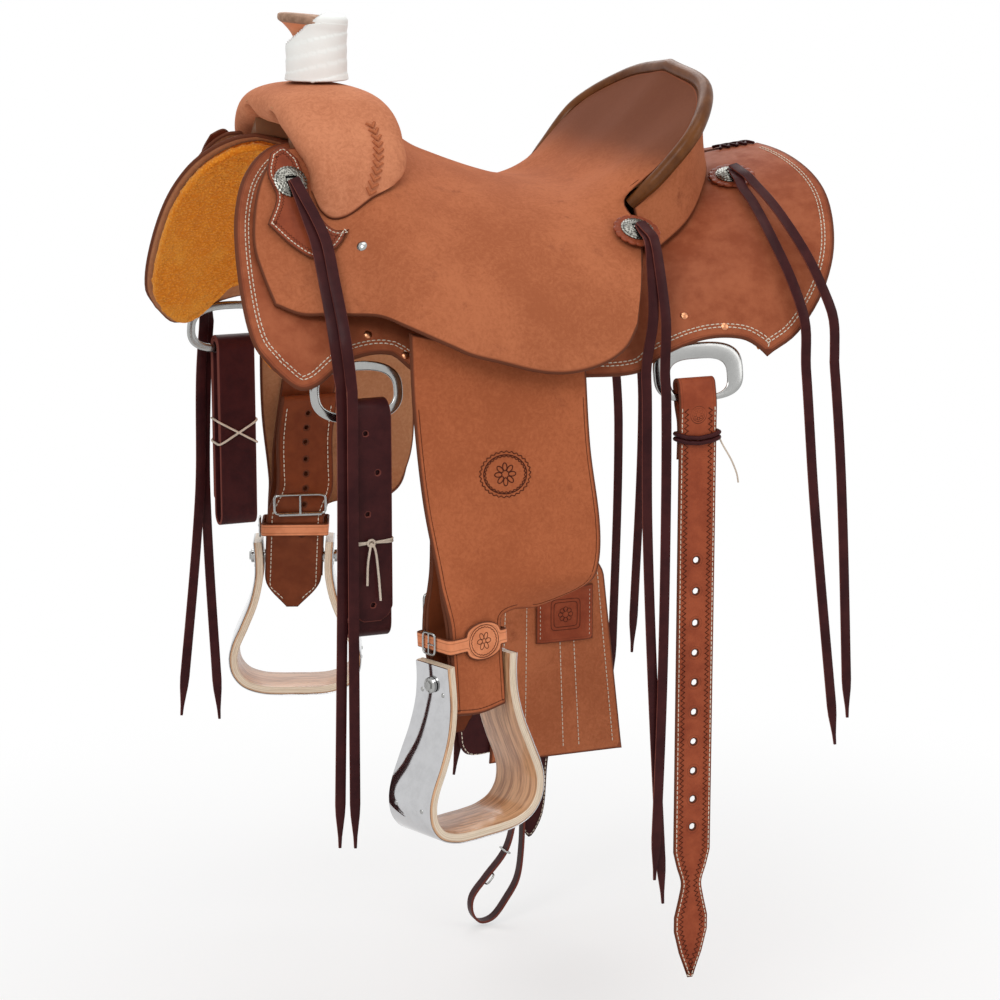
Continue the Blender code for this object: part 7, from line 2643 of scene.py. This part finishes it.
def makeLamps():
    for name, place, size, power in studio["lamps"]:
        data = bpy.data.lights.new(name, "AREA")
        data.shape = "DISK"
        data.size = size
        data.energy = power
        lamp = bpy.data.objects.new(name, data)
        lamp.location = place
        bpy.context.scene.collection.objects.link(lamp)
        aimedAt(lamp, (0.0, 0.0, -0.25))


def seenDirectly(tree):
    # 1 for rays that show the background: straight from the camera, off gloss and through glass
    path = tree.nodes.new("ShaderNodeLightPath")
    seen = mathNode(tree, "MAXIMUM", path.outputs["Is Camera Ray"], path.outputs["Is Glossy Ray"])
    return mathNode(tree, "MAXIMUM", seen, path.outputs["Is Transmission Ray"])


def makeWorld():
    world = bpy.data.worlds.new("studioWorld")
    world.use_nodes = True
    bpy.context.scene.world = world
    tree = world.node_tree
    background = tree.nodes["Background"]
    background.inputs["Color"].default_value = (1.0, 1.0, 1.0, 1.0)
    gap = studio["white"] - studio["ambient"]
    strength = plus(tree, studio["ambient"], times(tree, seenDirectly(tree), gap))
    wire(tree, background.inputs["Strength"], strength)


def makeFloor():
    low = cadBox[0][2] - studio["floorDrop"]
    half = studio["floorSize"] / 2
    corners = [(-half, -half, low), (half, -half, low), (half, half, low), (-half, half, low)]
    mesh = bpy.data.meshes.new("paleFloor")
    mesh.from_pydata(corners, [], [(0, 1, 2, 3)])
    floor = bpy.data.objects.new("paleFloor", mesh)
    bpy.context.scene.collection.objects.link(floor)
    material, tree, shader = newMaterial("paleFloor", Roughness=1.0, Specular_IOR_Level=0.0)
    tone = studio["floorTone"]
    shader.inputs["Base Color"].default_value = (tone, tone, tone, 1.0)
    glow = put(tree, "ShaderNodeEmission", Strength=studio["white"])
    # The floor fades into the white background away from the saddle, and keeps its shadow close by
    place = objectPlace(tree)
    flatPlace = put(
        tree, "ShaderNodeVectorMath", {"operation": "MULTIPLY"}, i0=place, i1=(1.0, 1.0, 0.0),
    ).outputs[0]
    away = put(tree, "ShaderNodeVectorMath", {"operation": "LENGTH"}, i0=flatPlace).outputs["Value"]
    glowing = ramp(tree, away, studio["fadeStart"], studio["fadeEnd"], 1.0 - studio["shadowShare"], 1.0)
    blend = put(tree, "ShaderNodeMixShader", Fac=times(tree, seenDirectly(tree), glowing))
    tree.links.new(shader.outputs[0], blend.inputs[1])
    tree.links.new(glow.outputs[0], blend.inputs[2])
    tree.links.new(blend.outputs[0], tree.nodes["Material Output"].inputs["Surface"])
    mesh.materials.append(material)


def dressTree():
    # The rawhide-covered tree stays as the solids have it
    for name in ("tree_bar_near", "tree_bar_off", "tree_cantle", "tree_fork", "ground_seat"):
        obj = frame["nodes"][name]
        for slot in obj.material_slots:
            slot.material = rawhide


makeCamera()
for side, word in sides:
    for spot in ("front", "mid", "rear"):
        for number in (0, 1):
            makeString(spot, number, side, word)
print("strings ready")
makeSkirts()
makeSeat()
makeCantle()
makeFork()
makeHorn()
makePlates()
makeLatigos()
makeRearBillet()
makeFlankCinch()
makeHanging()
makeTrim()
dressTree()
makeWorld()
makeLamps()
makeFloor()
bpy.context.scene.view_settings.view_transform = "Standard"
bpy.context.view_layer.update()
